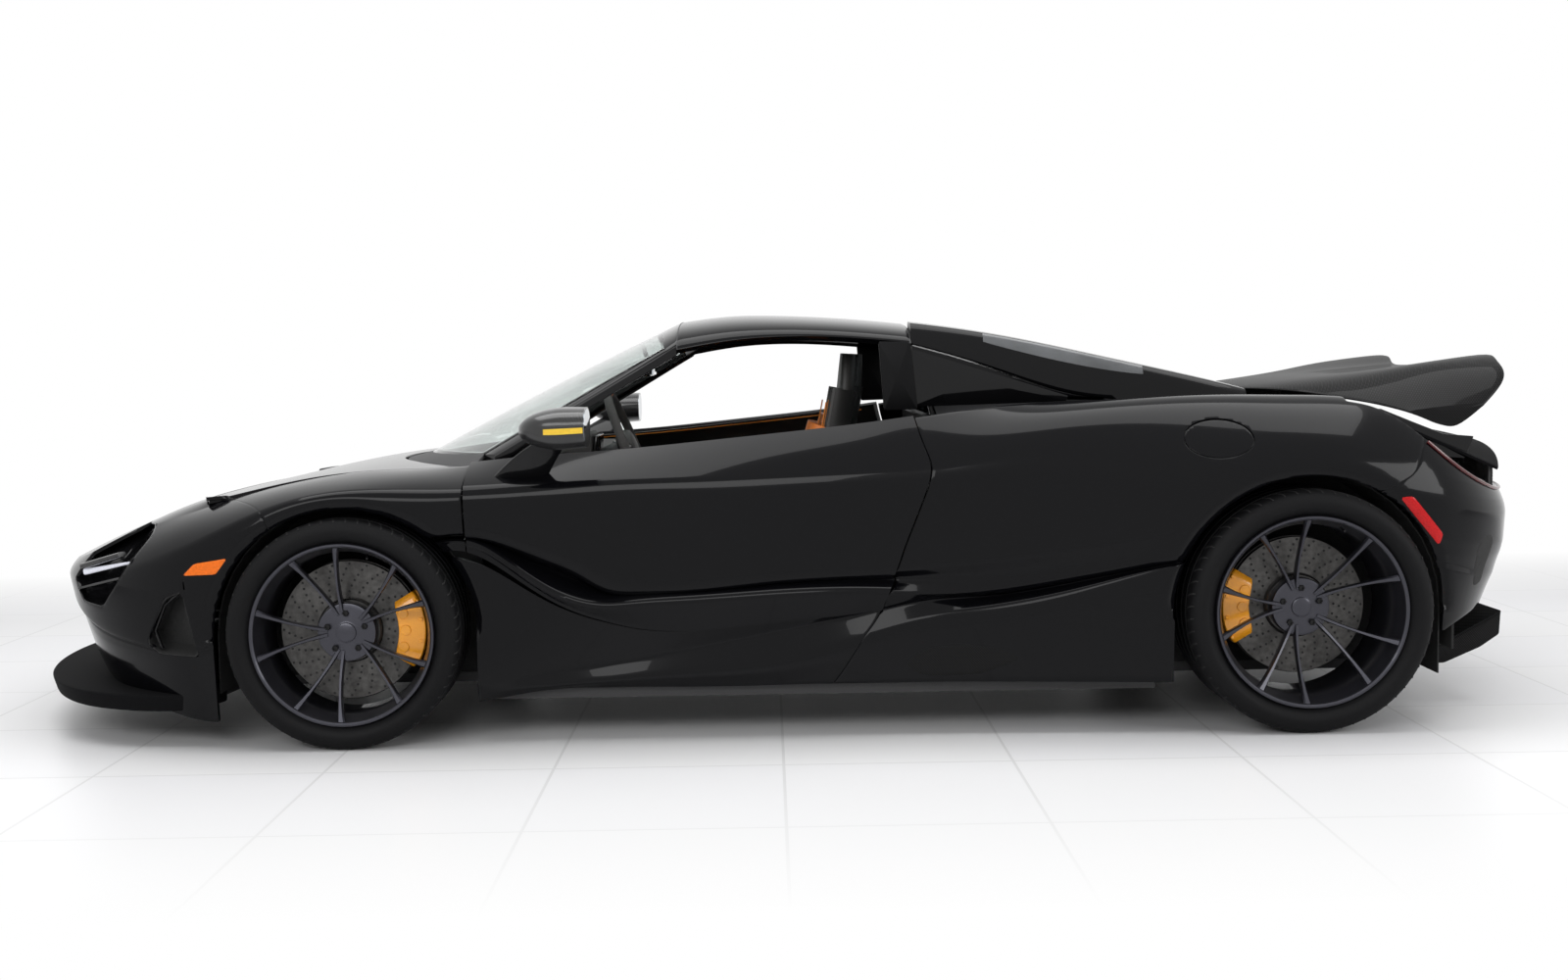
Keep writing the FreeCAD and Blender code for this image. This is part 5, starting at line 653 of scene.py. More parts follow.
def outward_mesh(points, quads):
    """The mesh with its faces turned so that its volume is positive."""
    a, b, c, d = [points[quads[:, i]] for i in range(4)]
    volume = np.sum(a * np.cross(b, c)) + np.sum(a * np.cross(c, d))
    return (points, quads) if volume > 0 else (points, quads[:, ::-1])


def loft(rings, caps=True):
    """Closed skin over rings with as many points each."""
    rings = [np.array(ring, float) for ring in rings]
    if caps:
        rings = [np.repeat(rings[0].mean(0)[None], len(rings[0]), 0)] + rings
        rings += [np.repeat(rings[-1].mean(0)[None], len(rings[0]), 0)]
    grid = np.array(rings)
    grid = np.concatenate([grid, grid[:, :1]], 1)
    return outward_mesh(grid.reshape(-1, 3), grid_faces(grid.shape[:2]))


def pipe(path, radius, sides=12, closed=False):
    """Round tube along a path, its ends closed."""
    path = np.array(path, float)
    radius = np.broadcast_to(radius, len(path))
    run = np.gradient(path, axis=0)
    if closed:
        run = np.roll(path, -1, 0) - np.roll(path, 1, 0)
    run /= np.linalg.norm(run, axis=1, keepdims=True)
    side = np.cross(run[0], [0.3, 0.2, 0.93])
    angle = circle(sides)[:, None]
    rings = []
    for point, along, r in zip(path, run, radius):
        side = side - along * (side @ along)
        side /= np.linalg.norm(side)
        up = np.cross(along, side)
        rings.append(point + r * (np.cos(angle) * side + np.sin(angle) * up))
    if closed:
        return loft(rings + rings[:1], caps=False)
    return loft(rings)


def upward(mesh):
    """The open sheet of points and quads, turned so that it faces up."""
    points, quads = mesh
    return (points, quads) if quad_normals(points, quads)[:, 2].sum() > 0 else (points, quads[:, ::-1])


def panel(first, last, rows, count, trims=(), depth=9.0):
    """Body panel between two shut lines, closed, with rounded edges."""
    grid, keep = trimmed(skin, first, last, rows, count, trims)
    points, quads = grid.reshape(-1, 3), grid_faces(grid.shape[:2], keep)
    if np.sum(quad_normals(points, quads) * (points[quads].mean(1) - (0, 0, BODY_MIDDLE))) < 0:
        quads = quads[:, ::-1]
    return shell(points, quads, depth)


def moved(station, offset):
    """A shut line moved along the car."""
    return lambda v: station(v) + offset


def arch_trim(arch):
    """Trim that keeps what lies outside a wheel arch: a half circle on two upright lines."""
    axle, height, radius = arch

    def reach(p):
        return np.hypot(p[..., 0] - axle, np.maximum(p[..., 2] - height, 0)) - radius
    return reach


def ellipse_trim(margin, sign=1):
    """Trim outside (1) or inside (-1) the fuel flap's ellipse on the left haunch."""
    def reach(p):
        dx, dz = (p[..., 0] - FLAP_X), (p[..., 2] - FLAP_Z)
        r = np.hypot(dx / (FLAP_HALF_LENGTH + margin), dz / (FLAP_HALF_HEIGHT + margin))
        return sign * (r - 1) * FLAP_HALF_HEIGHT
    return reach


def socket_trim(shares, inner=420.0):
    """Trim outside a side-view opening in the nose, beyond a distance from the middle."""
    distance = polygon_distance(shares)
    return lambda p: np.where(np.abs(p[..., 1]) < inner, 99.0, distance(p))


def roof_point(x, angle):
    """Roof section: a superellipse of power 2.7 from the centre line to the rail."""
    x, angle = np.broadcast_arrays(np.asarray(x, float), np.asarray(angle, float))
    half = ROOF_HALF + (x - ROOF_REAR) * ROOF_TAPER
    rail, top = RAIL_LINE(x)[..., 0], ROOF_LINE(x)[..., 0]
    power = 2 / ROOF_POWER
    side = np.sign(angle) * np.abs(np.sin(angle)) ** power
    return np.stack([x, half * side, rail + (top - rail) * np.cos(angle) ** power], -1)


def cowl_x(w):
    """Rear edge of the lid."""
    return COWL_CENTRE + (COWL_CORNER - COWL_CENTRE) * w * w


def screen_point(s, w):
    """Windscreen: a ruled sheet from the cowl to the header, with a bulge 4 s (1 - s)."""
    s, w = np.broadcast_arrays(np.asarray(s, float), np.asarray(w, float))
    base = np.stack([cowl_x(w) - SCREEN_SETBACK, w * SCREEN_BASE_HALF,
                     SCREEN_BASE_HEIGHT + SCREEN_RISE * w * w], -1)
    head = roof_point(ROOF_FRONT, w * ROOF_SWEEP * SCREEN_TOP_SHARE)
    point = base + (head - base) * s[..., None]
    point[..., 2] += SCREEN_BULGE * 4 * s * (1 - s) * (1 - w * w)
    point[..., 1] += np.sign(w) * SCREEN_BULGE * 4 * s * (1 - s) * np.abs(w) ** 3
    return point


def deck_point(x, w):
    """Rear deck between the haunches, hollow across by 1 - w^4."""
    edge = on_line(CREST, x)
    return np.stack([x + 0 * w, w * (edge[..., 1] - DECK_INSET), edge[..., 2] - DECK_DROP * (1 - w ** 4)], -1)


def tail_edge(w):
    """Upper edge of the tail above the mesh."""
    return np.stack([TAIL_EDGE_X + TAIL_EDGE_BACK * w * w, w * TAIL_EDGE_HALF,
                     TAIL_EDGE_HEIGHT - TAIL_EDGE_FALL * w * w], -1)


def surface(function, first, second, rows, columns, depth, rounding=1.2):
    """Closed panel over function(s, w) for s and w between two pairs, facing up."""
    s = np.linspace(*first, rows)[:, None]
    w = np.linspace(*second, columns)[None, :]
    grid = function(*np.broadcast_arrays(s, w))
    points, quads = upward((grid.reshape(-1, 3), grid_faces(grid.shape[:2])))
    return shell(points, quads, depth, rounding)


def cubic(p, t):
    """Smooth cubic through the second and third of four points, its slopes taken from the points beside."""
    return 0.5 * (2 * p[1] + (p[2] - p[0]) * t + (2 * p[0] - 5 * p[1] + 4 * p[2] - p[3]) * t * t
                  + (3 * p[1] - p[0] - 3 * p[2] + p[3]) * t ** 3)


def closed_curve(corners, steps):
    """Smooth closed line through corners."""
    corners = np.array(corners, float)
    fours = [[corners[(i + k - 1) % len(corners)] for k in range(4)] for i in range(len(corners))]
    return np.array([cubic(four, t) for four in fours for t in np.arange(steps) / steps])


def circle(count):
    """Angles once round, evenly spaced."""
    return np.linspace(0, 2 * math.pi, count, endpoint=False)


def oval(angle, power, other_power):
    """Cosine and sine of an angle, each drawn out to a power of its size: a superellipse."""
    c, s = math.cos(angle), math.sin(angle)
    return np.sign(c) * abs(c) ** power, np.sign(s) * abs(s) ** other_power


def feed(tree, target, inputs):
    """Fill a node's inputs, given by name or number: an output is linked, another value is set."""
    for key, value in inputs.items():
        if isinstance(value, bpy.types.NodeSocket):
            tree.links.new(value, target.inputs[key])
        else:
            target.inputs[key].default_value = value


def node(tree, kind, inputs=None, **settings):
    """New shader node of a kind, with its inputs and settings."""
    made = tree.nodes.new("ShaderNode" + kind)
    for key, value in settings.items():
        setattr(made, key, value)
    feed(tree, made, inputs or {})
    return made


def new_material(name):
    """New material, its node tree and its shader."""
    material = bpy.data.materials.new(name)
    material.use_nodes = True
    tree = material.node_tree
    tree.nodes.clear()
    shader = node(tree, "BsdfPrincipled")
    node(tree, "OutputMaterial", {0: shader.outputs[0]})
    return material, tree, shader


def ramp(tree, source, stops):
    """Colour ramp on a value."""
    made = node(tree, "ValToRGB", {0: source})
    elements = made.color_ramp.elements
    while len(elements) < len(stops):
        elements.new(0.5)
    for element, (place, colour) in zip(elements, stops):
        element.position = place
        element.color = (*colour, 1)
    return made.outputs[0]


def coordinates(tree, kind="Object"):
    """Texture coordinates."""
    return node(tree, "TexCoord").outputs[kind]


def noise(tree, scale, detail=3.0, stretch=(1, 1, 1)):
    """Noise over object coordinates."""
    place = node(tree, "Mapping", {0: coordinates(tree), "Scale": stretch}).outputs[0]
    return node(tree, "TexNoise", {"Vector": place, "Scale": scale, "Detail": detail}).outputs["Fac"]


def bump(tree, shader, height, strength, distance):
    """Relief on a shader from a height."""
    relief = node(tree, "Bump", {"Strength": strength, "Distance": distance, "Height": height})
    feed(tree, shader, {"Normal": relief.outputs[0]})


def surface_of(name, colour, roughness, metallic=0.0, coat=0.0, grain=80.0, vary=0.15, relief=0.0,
               stretch=(1, 1, 1), specular=0.5, rough_vary=0.0):
    """Material whose colour and relief vary with a noise of a given grain, and whose roughness can vary
    with a coarser one."""
    material, tree, shader = new_material(name)
    field = noise(tree, grain, 4.0, stretch)
    low, high = [[min(1.0, c * share) for c in colour] for share in (1 - vary, 1 + vary)]
    if rough_vary:
        smooth, rough = [[min(1.0, roughness * share)] * 3 for share in (1 - rough_vary, 1 + rough_vary)]
        roughness = ramp(tree, noise(tree, grain * 0.13), [(0.3, smooth), (0.7, rough)])
    feed(tree, shader, {"Base Color": ramp(tree, field, [(0.3, low), (0.7, high)]), "Metallic": metallic,
                        "Specular IOR Level": specular, "Roughness": roughness, "Coat Weight": coat,
                        "Coat Roughness": 0.03})
    if relief:
        bump(tree, shader, field, 0.4, relief)
    return material


def body_paint():
    """Deep black paint with fine flake under a clear coat."""
    material, tree, shader = new_material("black_paint")
    flake = node(tree, "TexVoronoi", {"Scale": 900, "Vector": coordinates(tree)}).outputs["Distance"]
    colour = ramp(tree, flake, [(0.0, (0.004, 0.004, 0.005)), (1.0, (0.0015, 0.0015, 0.002))])
    feed(tree, shader, {"Base Color": colour, "Metallic": 0.0, "Roughness": 0.14, "Specular IOR Level": 0.05,
                        "Coat Weight": 0.2, "Coat Roughness": 0.02})
    bump(tree, shader, noise(tree, 260.0, 2.0), 0.03, 0.0001)
    return material


def carbon(name, gloss=0.25, tint=1.0, coat=0.5):
    """Woven cloth: two sets of waves at right angles, multiplied."""
    material, tree, shader = new_material(name)
    waves = []
    for turn in (45, -45):
        tilt = [math.radians(angle) for angle in (20, turn, 10)]
        place = node(tree, "Mapping", {0: coordinates(tree), "Rotation": tilt}).outputs[0]
        waves.append(node(tree, "TexWave", {"Vector": place, "Scale": WEAVE_SCALE, "Distortion": 0.3}))
    weave = node(tree, "Math", {i: wave.outputs["Fac"] for i, wave in enumerate(waves)},
                 operation="MULTIPLY").outputs[0]
    low, high = 0.008 * tint, 0.055 * tint
    shade = ramp(tree, weave, [(0.1, (low, low, low)), (0.9, (high, high, high * 1.05))])
    feed(tree, shader, {"Base Color": shade, "Roughness": gloss, "Specular IOR Level": coat / 2,
                        "Coat Weight": coat, "Coat Roughness": 0.06})
    bump(tree, shader, weave, 0.15, 0.0003)
    return material


def glass(name, colour):
    """Clear or tinted glass whose colour varies faintly."""
    material, tree, shader = new_material(name)
    shade = ramp(tree, noise(tree, 6.0), [(0.3, [c * 0.96 for c in colour]), (0.7, colour)])
    feed(tree, shader, {"Base Color": shade, "Transmission Weight": 1.0, "Roughness": 0.0, "IOR": 1.45})
    return material


def glowing(name, colour, strength):
    """Light guide: pale plastic that glows softly."""
    material, tree, shader = new_material(name)
    shade = ramp(tree, noise(tree, 120.0, 2.0), [(0.2, [c * 0.85 for c in colour]), (0.8, colour)])
    feed(tree, shader, {"Base Color": shade, "Emission Color": shade, "Emission Strength": strength,
                        "Roughness": 0.2})
    return material


WEAVE_SCALE = 62.5
PAINT = body_paint()
ROOF = surface_of("roof_paint", (0.003, 0.003, 0.0035), 0.14, coat=0.25, grain=700, vary=0.3, specular=0.06)
SATIN = surface_of("satin_black", (0.005, 0.005, 0.0055), 0.42, grain=900, vary=0.25, relief=0.0002,
                   specular=0.1)
DULL = surface_of("dull_black", (0.005, 0.005, 0.0055), 0.75, grain=700, vary=0.3, relief=0.0003,
                  specular=0.05)
GLOSS = surface_of("gloss_black", (0.004, 0.004, 0.0045), 0.12, coat=0.3, grain=500, vary=0.3, specular=0.1)
PLASTIC = surface_of("grained_plastic", (0.018, 0.018, 0.019), 0.6, grain=420, vary=0.3, relief=0.0006)
# Dark well plastic of the arch liners and ducts, also used as painted shade in the tread's grooves and the
# disc's drilled holes.
WELL_AND_SHADE = surface_of("well_black_and_painted_shade", (0.01, 0.01, 0.01), 0.85, grain=200, vary=0.4, relief=0.001)
CARBON = carbon("carbon_weave")
CARBON_SATIN = carbon("carbon_satin", gloss=0.5, tint=0.3, coat=0.12)
RUBBER = surface_of("tyre_rubber", (0.005, 0.005, 0.0055), 0.6, grain=500, vary=0.3, relief=0.0003,
                    specular=0.12)
RIM = surface_of("rim_anthracite", (0.042, 0.042, 0.052), 0.34, metallic=0.8, coat=0.2, grain=1200, vary=0.25)
IRON = surface_of("brake_iron", (0.07, 0.068, 0.066), 0.38, metallic=1.0, grain=60, vary=0.25,
                  rough_vary=0.3, stretch=(1, 12, 1))
STEEL = surface_of("bright_steel", (0.5, 0.5, 0.51), 0.25, metallic=1.0, grain=150, vary=0.12, rough_vary=0.3)
CAST = surface_of("cast_alloy", (0.35, 0.35, 0.36), 0.5, metallic=0.9, grain=90, vary=0.2, relief=0.0008)
CALIPER = surface_of("caliper_orange", (1.0, 0.38, 0.012), 0.3, coat=0.5, grain=300, vary=0.08)
ORANGE = surface_of("marker_orange", (0.85, 0.16, 0.005), 0.25, specular=0.2, coat=0.2, grain=260)
TAIL_RED = surface_of("tail_lamp_red", (0.07, 0.003, 0.004), 0.25, coat=0.3, grain=260, vary=0.2)
RED = surface_of("marker_red", (0.5, 0.006, 0.008), 0.25, coat=0.15, grain=260, vary=0.2, specular=0.15)
YELLOW = surface_of("stripe_yellow", (0.85, 0.55, 0.02), 0.35, coat=0.4, grain=200, vary=0.08)
LEATHER = surface_of("black_leather", (0.02, 0.019, 0.018), 0.55, grain=240, vary=0.3, relief=0.0009)
SUEDE = surface_of("grey_suede", (0.05, 0.048, 0.047), 0.9, grain=600, vary=0.35, relief=0.0006)
ACCENT = surface_of("orange_leather", (0.72, 0.19, 0.02), 0.5, grain=240, relief=0.0008)
STITCH = surface_of("orange_thread", (0.85, 0.25, 0.03), 0.7, grain=900, vary=0.3, relief=0.0004)
SCREEN = glass("screen_glass", (0.80, 0.86, 0.84))
TINT_STRIP = surface_of("tinted_strip", (0.09, 0.095, 0.10), 0.12, coat=0.6, grain=8, vary=0.25, specular=0.4)
TINTED = glass("tinted_glass", (0.30, 0.33, 0.34))
MIRROR_FACE = surface_of("mirror_silver", (0.3, 0.33, 0.36), 0.03, metallic=1.0, grain=5, vary=0.02)
LAMP = glowing("lamp_white", (0.62, 0.63, 0.7), 0.5)
ENGINE = surface_of("engine_grey", (0.08, 0.08, 0.085), 0.5, metallic=0.7, grain=40, vary=0.3, relief=0.002)


BEHIND_BUMPER, AHEAD_DOOR = moved(BUMPER_SHUT, -HALF_SEAM), moved(DOOR_FRONT, SHUT_GAP / 2 + 1)
DOOR_NOSE, DOOR_TAIL = moved(DOOR_FRONT, -SHUT_GAP / 2 - 1), moved(DOOR_REAR, SHUT_GAP / 2 + 1)
QUARTER_NOSE, QUARTER_END = moved(DOOR_REAR, -SHUT_GAP / 2 - 1), moved(QUARTER_SHUT, HALF_SEAM)


def ahead_of_arch(v):
    """Station where the nose starts: ahead of the shut line and of the arch's foot."""
    return np.maximum(BUMPER_SHUT(v) + HALF_SEAM, np.where(v > 2, FRONT_AXLE - 100.0, -9999))


def fenders():
    """Front wings over the arches."""
    mesh = panel(BEHIND_BUMPER, AHEAD_DOOR, levels(0, 6, 0.1), 110, [arch_trim(FRONT_ARCH)])
    piece("fender_skins", both(mesh), PAINT, "fenders")


def door_mesh():
    """Skin of the left door, with a rounded edge."""
    grid, keep = trimmed(skin, DOOR_NOSE, DOOR_TAIL, levels(0.01, 6, 0.07), 120)
    return shell(grid.reshape(-1, 3), grid_faces(grid.shape[:2])[:, ::-1], 10.0)


def door_card():
    """Inner side of the left door, 45 mm in at the belt and 84 mm in below the shoulder."""
    rows = levels(0.03, 5.96, 0.1)
    share = np.linspace(0, 1, 60)[None, :]
    v = np.broadcast_to(rows[:, None], (len(rows), 60))
    u = (DOOR_NOSE(v) - 3) * (1 - share) + (DOOR_TAIL(v) + 3) * share
    outer = skin(u, v)
    thick = 45 + 38 * np.minimum(v / SHOULDER, 1)
    along = (u - DOOR_REAR(v)) / (DOOR_FRONT(v) - DOOR_REAR(v))
    inner = outer + np.stack([12 * (1 - 2 * along), -thick, 0 * thick], -1)
    near = outer - (0, 12, 0)
    points = np.concatenate([near.reshape(-1, 3), inner.reshape(-1, 3)])
    n, m = near.shape[:2]
    front = grid_faces((n, m))
    index = np.arange(n * m).reshape(n, m)
    loop = np.concatenate([index[0], index[1:, -1], index[-1, -2::-1], index[-2:0:-1, 0]])
    ahead = np.roll(loop, -1)
    wall = np.stack([loop, ahead, ahead + n * m, loop + n * m], 1)
    quads = np.concatenate([front, wall[:, ::-1], front[:, ::-1] + n * m])
    return outward_mesh(points, quads)


def doors():
    """Doors with their cards."""
    side_pieces(("door_skin_", door_mesh(), PAINT, "door_"), ("door_card_", door_card(), LEATHER))


def sills():
    """Sill panels under the blades."""
    mesh = panel(lambda v: 0 * v + FRONT_AXLE - 300, moved(DOOR_REAR, 1.1), levels(6.1, 9, 0.1), 120,
                 [arch_trim(FRONT_ARCH)])
    piece("sill_skins", both(mesh), PAINT, "sills")


def quarters():
    """Haunches and flanks round the rear arches, the left one with the filler's hole."""
    rows = levels(0, 9, 0.07)
    trims = [arch_trim(REAR_ARCH), below_tail]
    left = panel(QUARTER_NOSE, QUARTER_END, rows, 170, trims + [ellipse_trim(0.0)])
    right = mirrored(*panel(QUARTER_NOSE, QUARTER_END, rows, 170, trims))
    piece("quarter_skins", joined(left, right), PAINT, "quarters")
    flap = panel(lambda v: 0 * v + FLAP_X + 140, lambda v: 0 * v + FLAP_X - 140,
                 np.linspace(0.0, 2.4, 60), 90, [ellipse_trim(-6.2, -1)], depth=2.0)
    piece("flap_skin", flap, PAINT, "fuel_flap", body="fuel_flap")


def bumpers():
    """Nose from arch to arch with its sockets, and tail from arch to arch."""
    rows = np.concatenate([np.linspace(-1, 0, 26)[:-1], levels(0, 9, 0.09)])
    trims = [arch_trim(FRONT_ARCH), socket_trim(LAMP_SOCKET_SHARES), socket_trim(SIDE_INTAKE_SHARES, 500.0)]
    nose = panel(ahead_of_arch, lambda v: 2 * NOSE_END - ahead_of_arch(v), rows, 330, trims)
    piece("nose_skin", nose, PAINT, "front_bumper")

    def behind_arch(v):
        return np.minimum(QUARTER_SHUT(v) - HALF_SEAM, np.where(v > 3, REAR_AXLE + 60.0, 9999))
    tail = panel(behind_arch, lambda v: 2 * TAIL_END - behind_arch(v), levels(0, 9, 0.09), 250,
                 [arch_trim(REAR_ARCH), below_tail])
    piece("tail_skin", tail, PAINT, "rear_bumper")


def lid_surface(s, w):
    """Lid between its front edge and the cowl, drawn in from the crest by the gap."""
    edge = lid_edge(w)
    x = edge[..., 0] + (cowl_x(w) + SHUT_GAP - edge[..., 0]) * s
    point = lid_point(x, w)
    point[..., 1] -= np.sign(w) * SHUT_GAP * np.abs(w)
    return point


def scuttle_surface(s, w):
    """Scuttle from under the lid's rear edge to the foot of the glass."""
    front = lid_point(cowl_x(w), w * SCUTTLE_SHARE) - (SHUT_GAP, 0, SCUTTLE_STEP)
    rear = screen_point(np.full(w.shape, SCREEN_EDGE), w * SCREEN_SIDE) + (0.3, 0, 0)
    return front + (rear - front) * s[..., None]


def upper_body():
    """Lid with its seal, scuttle, screen and its frame, roof, deck, tail panel and buttresses."""
    piece("lid_skin", surface(lid_surface, (0, 1), (-1, 1), 60, 80, 8.0), PAINT, "luggage_lid",
          body="luggage_lid")
    edge = lid_edge(np.linspace(-0.97, 0.97, 80)) + (SHUT_GAP / 2, 0, -7)
    piece("lid_seal", pipe(edge, 1.8, 8), PLASTIC)
    piece("scuttle_skin", surface(scuttle_surface, (0, 1), (-1, 1), 12, 60, 8.0), PLASTIC, "scuttle")
    edge, side = SCREEN_EDGE, SCREEN_SIDE
    piece("screen", surface(screen_point, (edge, 1 - edge), (-side, side), 40, 60, 4.0, 0.5), SCREEN,
          "windscreen", crease=None)
    frame_pillars()
    roof = surface(lambda s, w: roof_point(ROOF_FRONT - 1 + (ROOF_REAR - ROOF_FRONT + 1) * s, w * ROOF_SWEEP),
                   (0, 1), (-1, 1), 60, 90, 26.0, 1.5)
    piece("roof_skin", roof, ROOF, "roof_panel")
    deck = surface(lambda s, w: deck_point(CABIN_REAR - 30 + (DECK_REAR - CABIN_REAR + 30) * s, w),
                   (0, 1), (-1, 1), 80, 60, 7.0)
    piece("deck_skin", deck, DULL, "rear_deck")

    def tail(s, w):
        front = deck_point(np.full(w.shape, DECK_REAR - 0.3), w)
        point = front + (tail_edge(w) - front) * s[..., None]
        point[..., 2] += TAIL_BULGE * 4 * s * (1 - s) * (1 - w * w)
        return point
    piece("tail_panel_skin", surface(tail, (0, 1), (-1, 1), 40, 60, 7.0), DULL, "tail_panel")
    buttresses()


def frame_pillars():
    """Windscreen frame: two pillars of rounded section and the header between them."""
    rows = np.linspace(SCREEN_EDGE, 1.0, 40)
    rings = []
    for s in rows:
        inner, outer = screen_point(s, SCREEN_SIDE + 0.0005), screen_point(s, 1.0)
        rings.append(rounded([inner - (0, 0, 35), inner, outer, outer - (0, 0, 35)], 9.0, 4))
    pillar = loft(rings)

    def header(s, w):
        return screen_point(1 - SCREEN_EDGE + 0.0006 + (SCREEN_EDGE - 0.0006) * s, w)
    top = surface(header, (0, 1), (-1, 1), 8, 70, 32.0, 1.5)
    piece("screen_frame_skin", joined(both(pillar), top), GLOSS, "screen_frame")


BUTTRESS = Curve([(x * HALF_LENGTH, z * HEIGHT, y * ROOF_HALF, i * ROOF_HALF)
                  for x, z, y, i in BUTTRESS_SHARES])


def buttress_mesh():
    """Left flying buttress: a rounded section lofted from the roof's rear edge to the deck."""
    rings = []
    for x in np.linspace(BUTTRESS_SHARES[0][0], BUTTRESS_SHARES[-1][0], 50) * HALF_LENGTH:
        low, half, inner = BUTTRESS(x)
        top = ROOF_LINE(x)[0]
        if x < BUTTRESS_LANDING:
            edge = on_line(CREST, x)
            w = half / edge[1]
            low = edge[2] - DECK_DROP * (1 - w ** 4) - 3
        low = min(low, top - 6)
        corners = [(x, half, low), (x, half - BUTTRESS_LEAN, max(top - BUTTRESS_ROUND * 2, low + 2)),
                   (x, half - BUTTRESS_LEAN * 2, top - BUTTRESS_ROUND / 2), (x, inner, top),
                   (x, inner - BUTTRESS_LEAN, low)]
        rings.append(rounded(corners, 14.0, 4))
    return loft(rings)


def buttresses():
    """Buttresses, with a strip of tinted glass let into the outer side of each."""
    piece("buttress_skins", both(buttress_mesh()), ROOF, "buttresses")
    rings = []
    for t in np.linspace(0.01, 0.99, 40):
        x = -600.0 - 485.0 * t
        low, half, _ = BUTTRESS(x)
        top = ROOF_LINE(x)[0]
        knee = top - BUTTRESS_ROUND * 2
        foot = max(knee - 4 - 16 * math.sin(math.pi * t) ** 0.7, low + 2)
        lean = BUTTRESS_LEAN * (foot - low) / max(knee - low, 1)
        face = [(half - BUTTRESS_LEAN * 2 + 2, top - BUTTRESS_ROUND / 2 - 2), (half - BUTTRESS_LEAN, knee),
                (half - lean, foot)]
        rings.append([(x, y + 1.2, z) for y, z in face] + [(x, y - 3, z) for y, z in face[::-1]])
    piece("buttress_glass", both(loft(rings)), TINT_STRIP)


fenders()
doors()
sills()
quarters()
bumpers()
upper_body()


SPOKES = 10
BOLT_CIRCLE = 54
TREAD_BARS = 60
TREAD_ROWS = ((0.60, 0.4, 0.0), (0.74, 0.3, 0.02), (0.86, -2.3, 0.035), (0.93, -7.3, 0.04))
HOLE_CIRCLES = (108, 124, 140, 156, 172, 186)
HOLES_ROUND = 24
CALIPER_REACH = math.radians(31)
PAD_REACH = math.radians(20)


class Wheel:
    """Sizes of one wheel: its middle, tyre radius, half width and rim radius, and how deep its face is."""

    def __init__(self, name, x, y, radius, width, rim, dish):
        self.name, self.centre = name, np.array([x, y, radius])
        self.radius, self.half, self.rim = radius, width / 2, rim
        self.seat = self.half * 0.86
        self.face = self.seat + 9 - dish
        self.disc = self.face - 68

    def spot(self, angle, radius, offset, side=1):
        """Point at an angle and radius round the axle, and an offset outwards."""
        return self.centre + (math.cos(angle) * side * radius, offset, math.sin(angle) * radius)


WHEELS = [
    Wheel("front", FRONT_AXLE, 840.0, 320.0, 236.0, 256.0, 60.0),
    Wheel("rear", REAR_AXLE, 814.5, 339.0, 292.0, 270.0, 112.0),
]


def tyre_mesh(wheel):
    """Tyre: shoulders and side walls through a smooth line, the tread with four grooves."""
    r, h, rim = wheel.radius, wheel.half, wheel.rim
    wall = [(rim - 1.0, h * 0.84)]
    wall += [(rim + (r - rim) * rise, h * out) for rise, out in (
        (0.08, 0.885), (0.3, 0.975), (0.5, 0.995), (0.72, 0.965), (0.88, 0.905), (0.97, 0.83))]
    wall.append((r - 0.6, h * 0.76))
    half = []
    for i in range(len(wall) - 1):
        four = [np.array(wall[min(max(i + k, 0), len(wall) - 1)]) for k in (-1, 0, 1, 2)]
        half += [tuple(cubic(four, t)) for t in np.arange(5) / 5]
    half.append((r, h * 0.74))
    for offset in (h * 0.52, h * 0.18):
        half += [(r, offset + 6), (r - 7, offset + 4.5), (r - 7, offset - 4.5), (r, offset - 6)]
    return revolve(half + [(a, -b) for a, b in reversed(half)], wheel.centre, 96)


def tread_blocks(wheel):
    """Slanted grooves across the shoulders, as thin bars in the tread whose dark is painted shade of the
    grooves.
    """
    parts = []
    for side in (1, -1):
        for i in range(TREAD_BARS):
            start = 2 * math.pi * i / TREAD_BARS + (0.03 if side > 0 else 0)
            rows = []
            for share, lift, turn in TREAD_ROWS:
                angle = start + turn
                out = np.array([math.cos(angle), 0, math.sin(angle)])
                along = np.array([-math.sin(angle), 0, math.cos(angle)]) * 1.7
                middle = wheel.spot(angle, wheel.radius + lift, side * wheel.half * share)
                rows.append([middle - along - out, middle + along - out, middle + along, middle - along])
            parts.append(loft(rows))
    return joined(*parts)


def rim_mesh(wheel):
    """Rim barrel with its lip, drop centre and inner flange."""
    outer, seat = wheel.rim - 1.2, wheel.seat
    profile = [
        (outer - 1, seat + 7), (outer - 3, seat + 10), (outer - 8, seat + 10.5), (outer - 12, seat + 7),
        (outer - 14, seat - 6), (outer - 26, seat - 34), (outer - 30, seat - 60), (outer - 30, -seat + 40),
        (outer - 12, -seat + 6), (outer - 10, -seat), (outer, -seat - 1), (outer, -seat + 12),
        (outer - 18, -seat + 44), (outer - 22, 0), (outer - 16, seat - 40), (outer, seat - 10),
    ]
    return revolve(profile[::-1], wheel.centre, 96)


